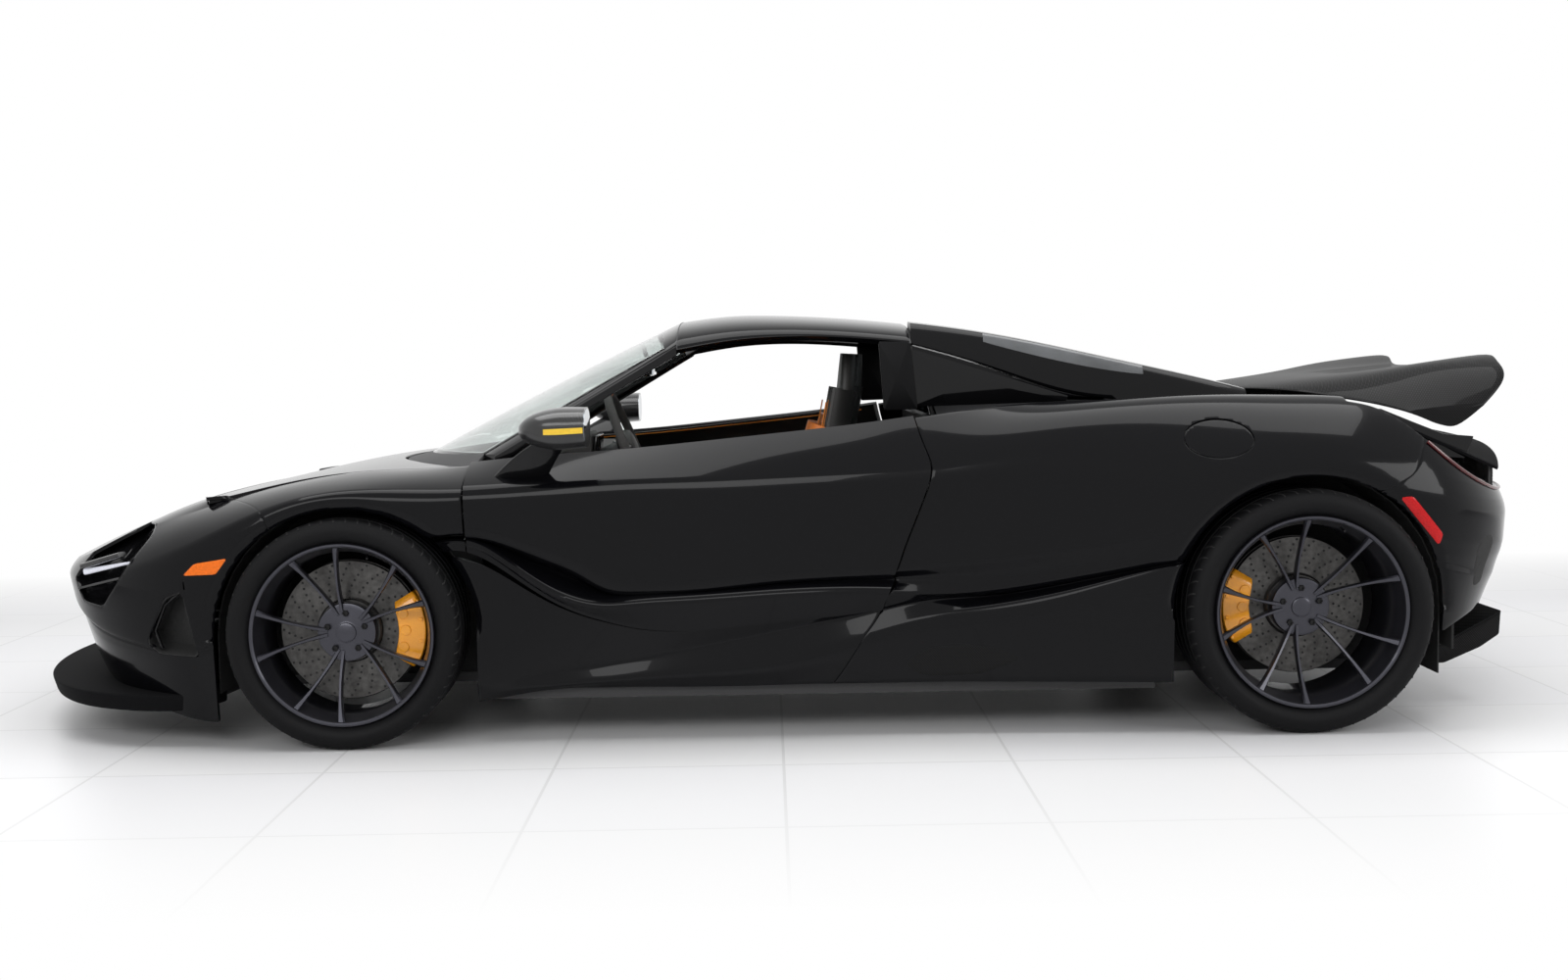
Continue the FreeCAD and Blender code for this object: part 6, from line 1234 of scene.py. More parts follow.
def spoke_mesh(wheel, index):
    """One of ten thin spokes in five splayed pairs: a wedge section, thinner towards the lip, whose
    line bows outwards between the hub and the rim."""
    sign = 1 if index % 2 else -1
    base = 4 * math.pi / SPOKES * (index // 2)
    start, end = base + sign * 0.12, base + sign * 0.27
    low, high = wheel.face + 2, wheel.seat + 4
    rings = []
    for t in np.linspace(0, 1, 12):
        angle = start + (end - start) * t ** 0.8
        offset = low + (high - low) * t ** 1.5 + 6 * math.sin(math.pi * t)
        width = 15 - 5.5 * math.sin(math.pi * min(t * 1.15, 1)) + 7 * max(0, t - 0.86) / 0.14
        middle = wheel.spot(angle, 52 + (wheel.rim - 67) * t, offset)
        across = np.array([-math.sin(angle), 0, math.cos(angle)]) * (width / 2)
        depth = 30 - 8 * t
        rings.append([middle + across * side - (0, depth * back, 0) for side, back in (
            (-0.55, 0), (0.55, 0), (1, 0.25), (0.75, 1), (-0.75, 1), (-1, 0.25))])
    return loft(rings)


def hub_mesh(wheel):
    """Hub face with its cap, and the sunk ring of the bolts."""
    profile = [(0, 9), (22, 8.5), (27, 6), (28, 1), (34, -1), (70, 0), (80, -3), (83, -10), (82, -33),
               (60, -34), (0, -34)]
    return revolve([(r, wheel.face + o) for r, o in profile], wheel.centre, 64, closed=False)


def bolts_mesh(wheel):
    """Five wheel bolts in their sockets, between the pairs of spokes."""
    profile = [(0, -6), (9.5, -6), (9.5, 5), (8.0, 6.5), (5.5, 6.5), (5.0, 2), (0, 2)]
    return joined(*[revolve(profile, wheel.spot(math.pi * 2 * (i + 0.5) / SPOKES, BOLT_CIRCLE, wheel.face), 6,
                            closed=False) for i in range(0, SPOKES, 2)])


def disc_mesh(wheel):
    """Vented disc: two plates with a gap, and its hat."""
    m, f = wheel.disc, wheel.face - 34.5
    profile = [(195, m + 6), (195, m + 15), (193, m + 17), (92, m + 17), (90, f - 4), (86, f), (30, f),
               (30, f - 8), (82, f - 8), (82, m - 17), (193, m - 17), (195, m - 15), (195, m - 6),
               (188, m - 5), (188, m + 5)]
    return revolve(profile, wheel.centre, 96)


def holes_mesh(wheel):
    """Drilled holes of the disc, as sunk studs in curved rows on both faces, dark with painted shade of the
    holes.
    """
    profile = [(0, -0.6), (3.6, -0.6), (3.6, 0.25), (0, 0.25)]
    return joined(*[revolve(profile, wheel.spot(2 * math.pi * i / HOLES_ROUND + j * 0.055, radius,
                                                wheel.disc + side * 17.0), 8, closed=False)
                    for i in range(HOLES_ROUND) for j, radius in enumerate(HOLE_CIRCLES) for side in (1, -1)])


def swept_round(wheel, side, shares, reach, corners):
    """Solid swept round the axle: the corners (radius, offset from the disc) at each share of a reach."""
    return loft([[wheel.spot(share * reach, r, wheel.disc + o, side) for r, o in corners(abs(share))]
                 for share in shares])


def caliper_mesh(wheel, side):
    """Caliper over the disc: a rounded arch section swept round the axle, thicker at its middle."""
    def corners(share):
        wide = 47 * (1 - 0.35 * share ** 6)
        low, top = 140 + 8 * share ** 4, 216 - 10 * share ** 5
        return rounded([(low, 20), (low, wide), (top, wide), (top, -wide), (low, -wide), (low, -20),
                        (198.2, -20), (198.2, 20)], 6.0, 3)
    return swept_round(wheel, side, np.linspace(-1, 1, 26), CALIPER_REACH, corners)


def caliper_details(wheel, side):
    """Bolts and pistons' bosses on the caliper's outer face: radius, stud size and height of each row."""
    parts = []
    for radius, size, height, shares_round in ((206, 5.5, 6.5, (-0.8, -0.27, 0.27, 0.8)),
                                               (160, 15, 6.0, (-0.55, 0.0, 0.55))):
        ring = [(0, -4), (size, -4), (size, height - 1.2), (size - 1.2, height), (0, height)]
        parts += [revolve(ring, wheel.spot(share * CALIPER_REACH, radius, wheel.disc + 44, side), 16,
                          closed=False) for share in shares_round]
    return joined(*parts)


def pads_mesh(wheel, side):
    """Pads between the caliper and the disc."""
    return joined(*[swept_round(wheel, side, np.linspace(-1, 1, 12), PAD_REACH, lambda share: [
        (146, face * 19.5), (192, face * 19.5), (192, face * 26), (146, face * 26)]) for face in (1, -1)])


def valve_mesh(wheel):
    """Valve stem by the rim's lip."""
    spot = wheel.spot(1.9, wheel.rim - 24, wheel.seat - 10)
    return pipe([spot, spot + (-3, 22, -8)], 3.0, 8)


def wheels():
    """Tyres, rims, discs and calipers of all four wheels."""
    for wheel in WHEELS:
        front = wheel.name == "front"
        behind = -1 if front else 1
        rim = joined(rim_mesh(wheel), hub_mesh(wheel), *[spoke_mesh(wheel, i) for i in range(SPOKES)])
        for side, turn in SIDES:
            tag = "_%s_%s" % (wheel.name, side)
            body, stub = "wheel" + tag, "knuckle_" + side if front else "chassis"
            piece("tyre_skin" + tag, turn(tyre_mesh(wheel)), RUBBER, "tyre" + tag, body=body)
            # Painted shade: the tread's slanted grooves are dark bars laid on the tread, not cut into it.
            piece("tread" + tag, turn(tread_blocks(wheel)), WELL_AND_SHADE, body=body)
            piece("rim_skin" + tag, turn(rim), RIM, "rim" + tag, body=body, crease=28)
            piece("bolts" + tag, turn(joined(bolts_mesh(wheel), valve_mesh(wheel))), GLOSS, body=body)
            piece("disc_skin" + tag, turn(disc_mesh(wheel)), IRON, "disc" + tag, body=body)
            # Painted shade: the disc's drilled holes are dark studs, not openings.
            piece("disc_holes" + tag, turn(holes_mesh(wheel)), WELL_AND_SHADE, body=body)
            names = ["caliper" + tag] if front else ["calipers_rear"] if side == "left" else []
            piece("caliper_skin" + tag, turn(caliper_mesh(wheel, behind)), CALIPER, *names, body=stub)
            piece("caliper_bolts" + tag, turn(caliper_details(wheel, behind)), CALIPER, body=stub)
            piece("pads" + tag, turn(pads_mesh(wheel, behind)), CAST, body=stub)


wheels()


SIDE_U = np.linspace(TAIL_END, NOSE_END, 900)
SIDE_V = np.concatenate([np.linspace(-1, 0, 60)[:-1], np.linspace(0, 9, 360)])
SIDE_GRID = skin(SIDE_U[None, :], SIDE_V[:, None])


def body_spot(x, z, above=0.0, below=9.0):
    """Point and outward normal of the left side at X and Z: the nearest point of a dense grid, whose
    station and level are then corrected four times by the slopes there."""
    x, z = [np.atleast_1d(np.asarray(a, float)) for a in (x, z)]
    rows = (SIDE_V >= above) & (SIDE_V <= below)
    table, spots = SIDE_GRID[rows][:, :, [0, 2]], SIDE_V[rows]
    flat = table.reshape(-1, 2)
    k = np.array([np.argmin((flat[:, 0] - a) ** 2 + (flat[:, 1] - b) ** 2) for a, b in zip(x, z)])
    u0, v0 = SIDE_U[k % table.shape[1]], spots[k // table.shape[1]]
    u, v = u0.copy(), v0.copy()
    for _ in range(4):
        p = skin(u, v)
        du, dv = (skin(u + 0.5, v) - skin(u - 0.5, v)), (skin(u, v + 0.002) - skin(u, v - 0.002)) * 250
        error = np.stack([x - p[:, 0], z - p[:, 2]], -1)
        a, b, c, d = du[:, 0], dv[:, 0], du[:, 2], dv[:, 2]
        det = a * d - b * c
        det = np.where(np.abs(det) < 1e-3, 1e-3, det)
        u = np.clip(u + (d * error[:, 0] - b * error[:, 1]) / det, u0 - 6, u0 + 6)
        v = np.clip(v + (a * error[:, 1] - c * error[:, 0]) / det, np.maximum(v0 - 0.04, above),
                    np.minimum(v0 + 0.04, below))
    p = skin(u, v)
    du, dv = skin(u + 1, v) - skin(u - 1, v), skin(u, v + 0.01) - skin(u, v - 0.01)
    normal = np.cross(du, dv)
    normal /= np.maximum(np.linalg.norm(normal, axis=1, keepdims=True), 1e-9)
    return p, np.where(normal[:, 1:2] < 0, -normal, normal)


def resampled(corners, count):
    """Points at even distances along a closed line."""
    corners = np.vstack([corners, corners[:1]])
    step = np.concatenate([[0], np.cumsum(np.linalg.norm(np.diff(corners, axis=0), axis=1))])
    at = np.linspace(0, step[-1], count + 1)[:-1]
    return np.stack([np.interp(at, step, corners[:, i]) for i in range(corners.shape[1])], 1)


def patch(outline, lift, depth, corner, above, bulge):
    """Closed plate that follows the body inside a side-view outline in millimetres."""
    outline = resampled(np.array(rounded(outline, corner)), 48)
    middle = outline.mean(0)
    rings = []
    for share in (0.0, 0.35, 0.7, 0.93, 1.0):
        spots = middle + (outline - middle) * share
        p, n = body_spot(spots[:, 0], spots[:, 1], above)
        height = lift + bulge * (1 - share ** 2) - (1.2 if share == 1.0 else 0.0)
        rings.append(p + n * height)
    rings.append(p + n * (height - depth))
    return loft(rings)


def cup(outline, depth, above, below=9.0, corner=12.0, wall=3.0, floor=0.8):
    """Open bowl let into the body inside a side-view outline: floor, inner wall, rim and back."""
    outline = resampled(np.array(rounded(outline, corner)), 64)
    middle = outline.mean(0)
    inner = middle + (outline - middle) * (1 - wall / np.linalg.norm(outline - middle, axis=1, keepdims=True))
    low = middle + (inner - middle) * floor

    on_body, _ = body_spot(outline[:, 0], outline[:, 1], above, below)

    def ring(spots, back):
        return np.stack([spots[:, 0], on_body[:, 1] - back, spots[:, 1]], 1)
    return loft([ring(low, depth), ring(low + (inner - low) * 0.5, depth * 0.8), ring(inner, 1),
                 ring(outline, 1), ring(outline, depth + wall)])


def shares(rows):
    """Side-view shares as millimetres."""
    return [(x * HALF_LENGTH, z * HEIGHT) for x, z in rows]


def bar_between(a, b, half, thick, taper, count=14):
    """Thin blade between two points, half its height up and down, thick across and lower at its end."""
    a, b = np.array(a, float), np.array(b, float)
    rings = []
    for t in np.linspace(0, 1, count):
        middle = a + (b - a) * t
        h = half * (1 - (1 - taper) * t)
        along = (b - a) / np.linalg.norm(b - a)
        up = np.array([0.0, 0.0, 1.0])
        up -= along * (up @ along)
        up /= np.linalg.norm(up)
        out = np.cross(along, up)
        ring = []
        for angle in circle(16):
            rise, side = oval(angle, 0.7, 0.7)
            ring.append(middle + up * h * rise + out * thick * side)
        rings.append(ring)
    return loft(rings)


PATCHES = [
    ("side_markers", ORANGE, 1.6, 4.0, 8.0, 0.0, 1.2,
     [(1642, 488), (1608, 521), (1513, 536), (1547, 492)]),
    ("rear_reflectors", RED, 1.6, 4.0, 8.0, 0.0, 1.2,
     [(-1703, 653), (-1738, 656), (-1832, 548), (-1821, 516)]),
    ("tail_vents", WELL_AND_SHADE, 0.8, 3.0, 16.0, 2.0, 0.0,
     [(-1963, 511), (-2012, 537), (-2040, 518), (-1992, 391), (-1951, 386)]),
    ("flank_inserts", CARBON_SATIN, 0.8, 3.0, 40.0, 4.0, 0.0,
     [(-333, 212), (-415, 255), (-552, 261), (-682, 217), (-551, 170), (-387, 167)]),
]


def lamps():
    """Headlamp bowls with their fins and light guides, intake ducts with their vanes, and the patches on
    the body: markers, reflectors, tail vents and flank inserts."""
    bowl = cup(shares(LAMP_SOCKET_SHARES), 62.0, above=-0.9, below=4.0)
    piece("lamp_bowls", both(bowl), GLOSS, "headlamps")
    p, _ = body_spot([2022, 1835, 2028, 1850], [470, 512, 424, 470])
    back = np.array([0, 22, 0])
    guide = bar_between(p[0] - back, p[1] - back * 0.8, 9.0, 7.0, 0.4)
    piece("light_guides", both(guide), LAMP)
    upper = bar_between(p[0] + (0, -12, 18), p[1] + (14, -10, 26), 9.0, 12.0, 0.8)
    lower = bar_between(p[2] - back, p[3] - back * 1.5, 6.0, 16.0, 0.9)
    piece("lamp_fins", both(joined(upper, lower)), GLOSS)
    duct = cup(shares(SIDE_INTAKE_SHARES), 70.0, above=1.0, corner=16.0)
    piece("intake_ducts", both(duct), WELL_AND_SHADE)
    q, _ = body_spot([1640, 1716, 1752, 1735], [455, 405, 330, 280])
    vane = [spot - (10 if i else 0, 14, 0) for i, spot in enumerate(q)]
    piece("intake_vanes", both(pipe(vane, 5.0, 10)), GLOSS)
    for name, material, lift, depth, corner, above, bulge, outline in PATCHES:
        piece(name, both(patch(outline, lift, depth, corner, above, bulge)), material)


def mirrors():
    """Door mirrors: a carbon pod with a flat rear face, a yellow stripe, and a wedge of a stalk."""
    front, rear, y, z, wide, tall, widest = 700.0, 516.0, 982.0, 882.0, 96.0, 57.0, 0.66

    def pod(s, angle, grow=1.0):
        reach = math.sqrt(max(0.0, 1 - max(0.0, 1 - s / widest) ** 2))
        reach -= 0.05 * max(0.0, s - widest) / (1 - widest)
        side, rise = oval(angle, 0.8, 0.8)
        return (front + (rear - front) * s, y + side * wide * reach * grow,
                z + rise * tall * reach * grow - 6 * (1 - s))
    turn = circle(64)
    rings = [[pod(s, a) for a in turn] for s in (1 - np.cos(np.linspace(0.04, math.pi / 2, 26)))]
    rings += [[pod(1.0, a, 0.93) for a in turn]]
    shell_mesh = loft(rings)
    face = loft([[np.array(pod(1.0, a, g)) - (o, 0, 0) for a in turn] for g, o in ((0.9, -0.5), (0.9, 1.0))])
    band = ((-0.16, 0.99), (-0.16, 1.012), (0.02, 1.012), (0.02, 0.99))
    stripe = loft([[pod(s, a, g) for a, g in band] for s in np.linspace(0.42, 0.99, 24)])
    foot = skin(np.array([720.0]), np.array([1.3]))[0] - (0, 12, 0)
    top = np.array([600.0, 930.0, 852.0])
    rings = []
    for t in np.linspace(0, 1, 16):
        middle = foot + (top - foot) * t + (0, 0, 12 * math.sin(math.pi * t))
        half, thick = 78 - 38 * t, 15 - 4 * t
        rings.append([middle + (half * math.cos(a), thick * math.sin(a), 0) for a in turn[::2]])
    side_pieces(("mirror_pod_", shell_mesh, CARBON, "mirror_"), ("mirror_face_", face, MIRROR_FACE),
                ("mirror_stripe_", stripe, YELLOW), ("mirror_stalk_", loft(rings), GLOSS))


LIP_END = 1648.0


def lip_spot(i, out, z):
    """Point of the front lip: i runs from -1 to 1 round the nose, out is past the plan outline."""
    u = NOSE_END + (LIP_END - NOSE_END) * abs(i)
    x, y, nx, ny = plan(np.array(u))
    sign = 1 if i >= 0 else -1
    return np.array([x + out * nx, sign * (y + out * ny), z])


def aero():
    """Front lip and rear wing."""
    rings = []
    for i in np.linspace(-1, 1, 121):
        grow = 63.5 - 105 * abs(i) ** 4
        corners = [(grow, 150.0), (grow - 14, 102.0), (-200.0, 102.0), (-200.0, 164.0)]
        rings.append([lip_spot(i, out, z) for out, z in rounded(corners, 9.0, 3)])
    piece("front_lip", loft(rings), DULL, "splitter", crease=40)
    table = Curve([(y * HALF_WIDTH * sign, *[value for corner in shares(corners) for value in corner])
                   for y, corners in WING_SHARES for sign in ((1, -1) if y else (1,))])
    rings = []
    limit = WING_SHARES[-1][0] * HALF_WIDTH
    for y in np.sin(np.linspace(-math.pi / 2, math.pi / 2, 90)) * limit:
        rings.append([(x, y, z) for x, z in closed_curve(table(y).reshape(-1, 2), 5)])
    piece("wing_skin", loft(rings), CARBON_SATIN, "wing", body="wing", crease=40)


EXHAUST_SPACING = 96.0
EXHAUST_HEIGHT = 706


def tail_path(first, last, count, below=0.06):
    """Points along the tail's upper edge, a little under it."""
    u = np.linspace(first, last, count)
    low, high = np.zeros(count), np.full(count, 2.0)
    for _ in range(30):
        middle = (low + high) / 2
        above = below_tail(skin(u, middle)) < 0
        low, high = np.where(above, middle, low), np.where(above, high, middle)
    return skin(u, high + below)


def tail_details():
    """Strip lamps along the tail's edge, bars over the mesh, exhausts, the diffuser's plate and fins, the
    blades beside the lamps and the plates behind the rear arches."""
    lamp = pipe(tail_path(-0.80 * HALF_LENGTH, -1.10 * HALF_LENGTH, 60) + (0, 0, 5.0), 5.0, 10)
    piece("tail_lamps", both(lamp), TAIL_RED)
    bars = []
    for i in range(-30, 31):
        for slope in (1, -1):
            rows = []
            for t in np.linspace(0, 1, 7):
                w = i / 30 + slope * (t - 0.5) * 0.2
                if abs(w) > 0.95:
                    continue
                edge = tail_edge(np.array(w))
                top = edge[2] - 12
                rows.append((edge[0] + MESH_SETBACK - 3, edge[1], top + (MESH_BOTTOM - top) * t))
            if len(rows) > 2:
                bars.append(pipe(rows, 2.2, 6))
    piece("tail_honeycomb", joined(*bars), PLASTIC)
    pipes = []
    for y in (-EXHAUST_SPACING, EXHAUST_SPACING):
        rings = []
        for x, r in ((-2120, 44), (-2226, 44), (-2232, 46), (-2234, 44), (-2230, 40), (-2140, 40),
                     (-2140, 2)):
            rings.append([(x, y + 1.18 * r * math.cos(a), EXHAUST_HEIGHT + r * 0.86 * math.sin(a))
                          for a in circle(40)])
        pipes.append(loft(rings))
    piece("exhausts", joined(*pipes), STEEL)
    start, end, low, high, half = -1873.0, -2150.0, 118.0, 268.0, 560.0
    plate = side_prism([(start, low), (start, low + 9), (end, high + 9), (end, high)], -half, half, 1.0, 1.0)
    fins = []
    for y in np.linspace(-half, half - 8, 7):
        shape = [(start, low + 5), (end, high + 5), (end + 4, high - 62), (end + 60, high - 100),
                 (start - 110, low + 4), (start, low)]
        fins.append(side_prism(shape, y, y + 8, 6.0, 1.5))
    piece("diffuser_fins", joined(plate, *fins), CARBON_SATIN, "diffuser")
    blade = side_prism([(-1712, 878), (-1745, 888), (-1841, 848), (-1931, 812), (-2018, 804), (-1992, 740),
                        (-1905, 745), (-1820, 790), (-1740, 850)], 646.0, 666.0, 4.0, 2.0)
    piece("tail_blades", both(blade), GLOSS)
    wall = side_prism([(-1886, 215), (-1886, 560), (-1894, 560), (-1894, 215)], 560.0, 850.0, 2.0, 2.0)
    piece("arch_backs", both(wall), WELL_AND_SHADE)


lamps()
mirrors()
aero()
tail_details()


def glazing():
    """Panels beside the seats' heads, pillars ahead of them, and the roof's seam and seal."""
    corner = side_prism([(-398, 912), (-380, 1084), (-410, 1078), (-850, 938), (-846, 921)],
                        597.0, 606.0, 4.0)
    piece("corner_panels", both(corner), GLOSS, "quarter_glass")
    pillar = side_prism([(-298, 1104), (-390, 1102), (-410, 905), (-312, 903)], 596.0, 611.0, 6.0)
    piece("side_pillars", both(pillar), SATIN)
    line = roof_point(np.full(60, ROOF_FRONT - 2), np.linspace(-1, 1, 60) * ROOF_SWEEP * 0.99)
    piece("roof_seam", pipe(line - (0, 0, 0.6), 1.6, 8), PLASTIC)
    line = roof_point(np.full(60, ROOF_REAR - 2), np.linspace(-1, 1, 60) * ROOF_SWEEP)
    piece("roof_seal", pipe(line - (0, 0, 4.5), 3.4, 8), PLASTIC)


def seat_blocks(y, shift):
    """Bucket seat at Y, its back moved along by a shift: shells, centre, coloured pads and seams."""
    parts, cloth, accents, threads = [], [], [], []

    def swept(path, half, thick, bend):
        """Pad swept up a side-view path: half wide, thick and hollow across."""
        rings = []
        path = np.array(path, float)
        run = np.gradient(path, axis=0)
        run /= np.linalg.norm(run, axis=1, keepdims=True)
        for (x, z), (dx, dz), h, t in zip(path, run, half, thick):
            out = np.array([dz, 0, -dx])
            ring = []
            for angle in circle(40):
                across, deep = oval(angle, 0.55, 0.7)
                ring.append(np.array([x, y + across * h, z]) + out * (deep * t + bend * across ** 4))
            rings.append(ring)
        return loft(rings)

    def back_at(t):
        """X, Z and half width of the back at a share of its height."""
        bow = np.sin(math.pi * t)
        return shift - 92 - 160 * t - 12 * bow, 300 + 660 * t, 225 - 40 * t ** 3 - 20 * bow * t
    t = np.linspace(0, 1, 34)
    back_x, back_z, half = back_at(t)
    parts.append(swept(np.stack([back_x - 12, back_z], 1), half, 24 + 0 * t, 46))
    cloth.append(swept(np.stack([back_x + 14, back_z + 10], 1)[2:-1], half[2:-1] - 66, 18 + 0 * t[2:-1], 12))
    t = np.linspace(0, 1, 14)
    head = np.stack([shift - 256 - 10 * t, 940 + 130 * t], 1)
    parts.append(swept(head, 122 - 46 * t ** 2, 26 - 4 * t, 6))
    cushion = np.stack([300 - 400 * t, 322 - 34 * np.sin(math.pi * t * 0.8)], 1)
    parts.append(swept(cushion, 222 - 8 * t, 52 + 0 * t, 34))
    accents.append(swept(cushion[1:-1] + (0, 42), 150 + 0 * t[1:-1], 18 + 0 * t[1:-1], 8))
    for side in (1, -1):
        x, z, reach = back_at(np.linspace(0.06, 0.95, 50))
        for ahead, inwards in ((36, 64), (54, 20)):
            threads.append(pipe(np.stack([x + ahead, y + side * (reach - inwards), z], 1), 2.2, 6))
        rise = np.linspace(0, 1, 8)
        shoulder = np.stack([shift - 140 - 34 * rise, y + side * (190 - 14 * rise), 745 + 110 * rise], 1)
        accents.append(pipe(shoulder, 30.0, 20))
    return parts, cloth, accents, threads


def cabin():
    """Seats, dashboard, console, steering wheel, mirror and trim."""
    near, far = seat_blocks(350.0, 45.0), seat_blocks(-350.0, -15.0)
    shells, centres, panels, stitching = [joined(*left, *right) for left, right in zip(near, far)]
    piece("seat_shells", shells, LEATHER, "seats", crease=50)
    piece("seat_centres", centres, SUEDE, crease=50)
    piece("seat_panels", panels, ACCENT, crease=50)
    piece("seat_stitching", stitching, STITCH, crease=50)
    dash_line = [(803, 600), (803, 765), (720, 779), (570, 777), (500, 752), (495, 715), (525, 640),
                 (600, 590), (690, 575)]
    piece("dash_top", side_prism(dash_line, -638.0, 638.0, 14.0, 8.0), LEATHER, "dashboard", crease=40)
    hood = side_prism([(560, 775), (552, 838), (575, 846), (655, 800), (662, 775)], 235.0, 465.0, 10.0, 8.0)
    screen = side_prism([(546, 720), (540, 835), (548, 836), (560, 720)], 250.0, 450.0, 3.0, 2.0)
    tablet = side_prism([(548, 640), (522, 800), (530, 802), (562, 640)], -70.0, 70.0, 3.0, 2.0)
    piece("dash_hood", hood, SUEDE, crease=40)
    piece("dash_screens", joined(screen, tablet), GLOSS, crease=40)
    vents = [side_prism([(497, 700), (492, 742), (512, 748), (520, 700)], y - 48, y + 48, 4.0, 3.0)
             for y in (560.0, 150.0, -150.0, -560.0)]
    piece("dash_vents", joined(*vents), GLOSS, crease=40)
    line = [(-340, 210), (-340, 455), (-290, 470), (-180, 425), (200, 470), (420, 520), (650, 575),
            (684, 560), (684, 210)]
    piece("console_top", side_prism(line, -74.0, 74.0, 16.0, 8.0), LEATHER, "console", crease=40)
    trims = [pipe([(x, y, 427 + (x + 180) * 45 / 380 + 3) for x in np.linspace(-170, 200, 20)], 2.0, 6)
             for y in (66.0, -66.0)]
    trims.append(pipe([(505, y, 758) for y in np.linspace(-620, 620, 60)], 2.2, 6))
    piece("cabin_stitching", joined(*trims), STITCH, crease=40)
    steering()
    pod = side_prism([(402, 1008), (396, 1066), (404, 1070), (416, 1062), (420, 1010)],
                     -115.0, 115.0, 4.0, 3.0)
    face = side_prism([(395.0, 1012), (391.5, 1062), (393.5, 1062), (397.0, 1012)], -108.0, 108.0, 2.0, 0.8)
    stem = pipe([(410, 0, 1050), (425, 0, 1075), (432, 0, 1112)], 7.0, 10)
    piece("interior_mirror", joined(pod, stem), GLOSS, crease=40)
    piece("interior_mirror_face", face, MIRROR_FACE, crease=40)
    for side, sign in (("left", 1), ("right", -1)):
        v = np.full(60, 0.08)
        x = np.linspace(0.33, -0.14, 60) * HALF_LENGTH
        line = skin(x, v) - (0, 44, 6)
        line[:, 1] *= sign
        piece("door_stitching_" + side, pipe(line, 2.2, 6), STITCH, body="door_" + side, crease=40)
        pull = skin(np.linspace(0.22, 0.02, 20) * HALF_LENGTH, np.full(20, 1.9)) - (0, 92, 0)
        pull[:, 1] = (pull[:, 1] - 14 * np.sin(np.linspace(0, math.pi, 20))) * sign
        piece("door_pull_" + side, pipe(pull, 9.0, 12), LEATHER, body="door_" + side, crease=40)


def steering():
    """Steering wheel: a flat-bottomed rim, three spokes, a pad and its column, tilted 22 degrees."""
    centre = np.array([450.0, 350.0, 800.0])
    rake, radius = math.radians(22), 172
    along = np.array([math.cos(rake), 0, -math.sin(rake)])
    up = np.array([math.sin(rake), 0, math.cos(rake)])
    out = np.array([0, 1.0, 0])
    turn = circle(96)
    ring = [centre + up * max(math.cos(a) * radius, -150) + out * math.sin(a) * radius for a in turn]
    piece("steering_rim", pipe(ring, 13.5, 14, closed=True), SUEDE, "steering_wheel", crease=60)
    spokes = [pipe([centre + out * s * 30 - up * 4, centre + out * s * 100, centre + out * s * 166],
                   (13, 9, 8), 10) for s in (1, -1)]
    spokes.append(pipe([centre - up * 30, centre - up * 100, centre - up * 148], (12, 9, 8), 10))
    pad = [[centre + along * o + out * math.cos(a) * r * 1.1 + up * math.sin(a) * r for a in turn[::2]]
           for o, r in ((-20, 30), (-16, 44), (0, 52), (26, 50), (34, 34))]
    column = pipe([centre + along * 20, centre + along * 100, centre + along * 165], (30, 26, 26), 20)
    piece("steering_spokes", joined(*spokes), GLOSS, crease=40)
    piece("steering_pad", loft(pad), LEATHER, crease=40)
    piece("steering_column", column, PLASTIC, crease=40)
    top = [centre + up * math.cos(a) * radius + out * math.sin(a) * radius
           for a in np.linspace(-0.07, 0.07, 6)]
    piece("steering_mark", pipe(top, 14.2, 14), ACCENT, crease=60)


def hinge_necks():
    """Swan necks and barrels of the doors' hinges."""
    axis = np.array([-0.10, 0.42, -0.90])
    axis /= np.linalg.norm(axis)
    pivot = np.array([982.0, 904.0, 660.0])
    rows = [(0, 0), (-16, -89), (-62, -124), (-118, -60), (-142, -34)]
    points = [pivot + (x, y, -(axis[0] * x + axis[1] * y) / axis[2]) for x, y in rows]
    path = []
    for a, b in zip(points, points[1:]):
        path += [a + (b - a) * t for t in (0.12, 0.5, 0.88)]
    neck = pipe([points[0]] + path + [points[-1]], 7.7, 14)
    barrel = pipe([pivot - axis * 13, pivot, pivot + axis * 13], 11.0, 20)
    side_pieces(("hinge_neck_", joined(neck, barrel), CAST), crease=40)


def dress(finishes):
    """Give CAD nodes that stay in view their materials."""
    for material, names in finishes:
        for name in names:
            for slot in nodes[name].material_slots:
                slot.material = material


glazing()
cabin()
hinge_necks()
dress((
    (CARBON_SATIN, ("diffuser", "tub")),
    (PLASTIC, ("underfloor", "rear_mesh", "luggage_tub", "fuel_bowl")),
    (WELL_AND_SHADE, ("arch_liners",)),
    (TINTED, ("rear_window",)),
    (SATIN, ("wing_struts",)),
    (ENGINE, ("engine",)),
    (CAST, ("knuckle_front_left", "knuckle_front_right", "knuckles_rear", "wishbones")),
))


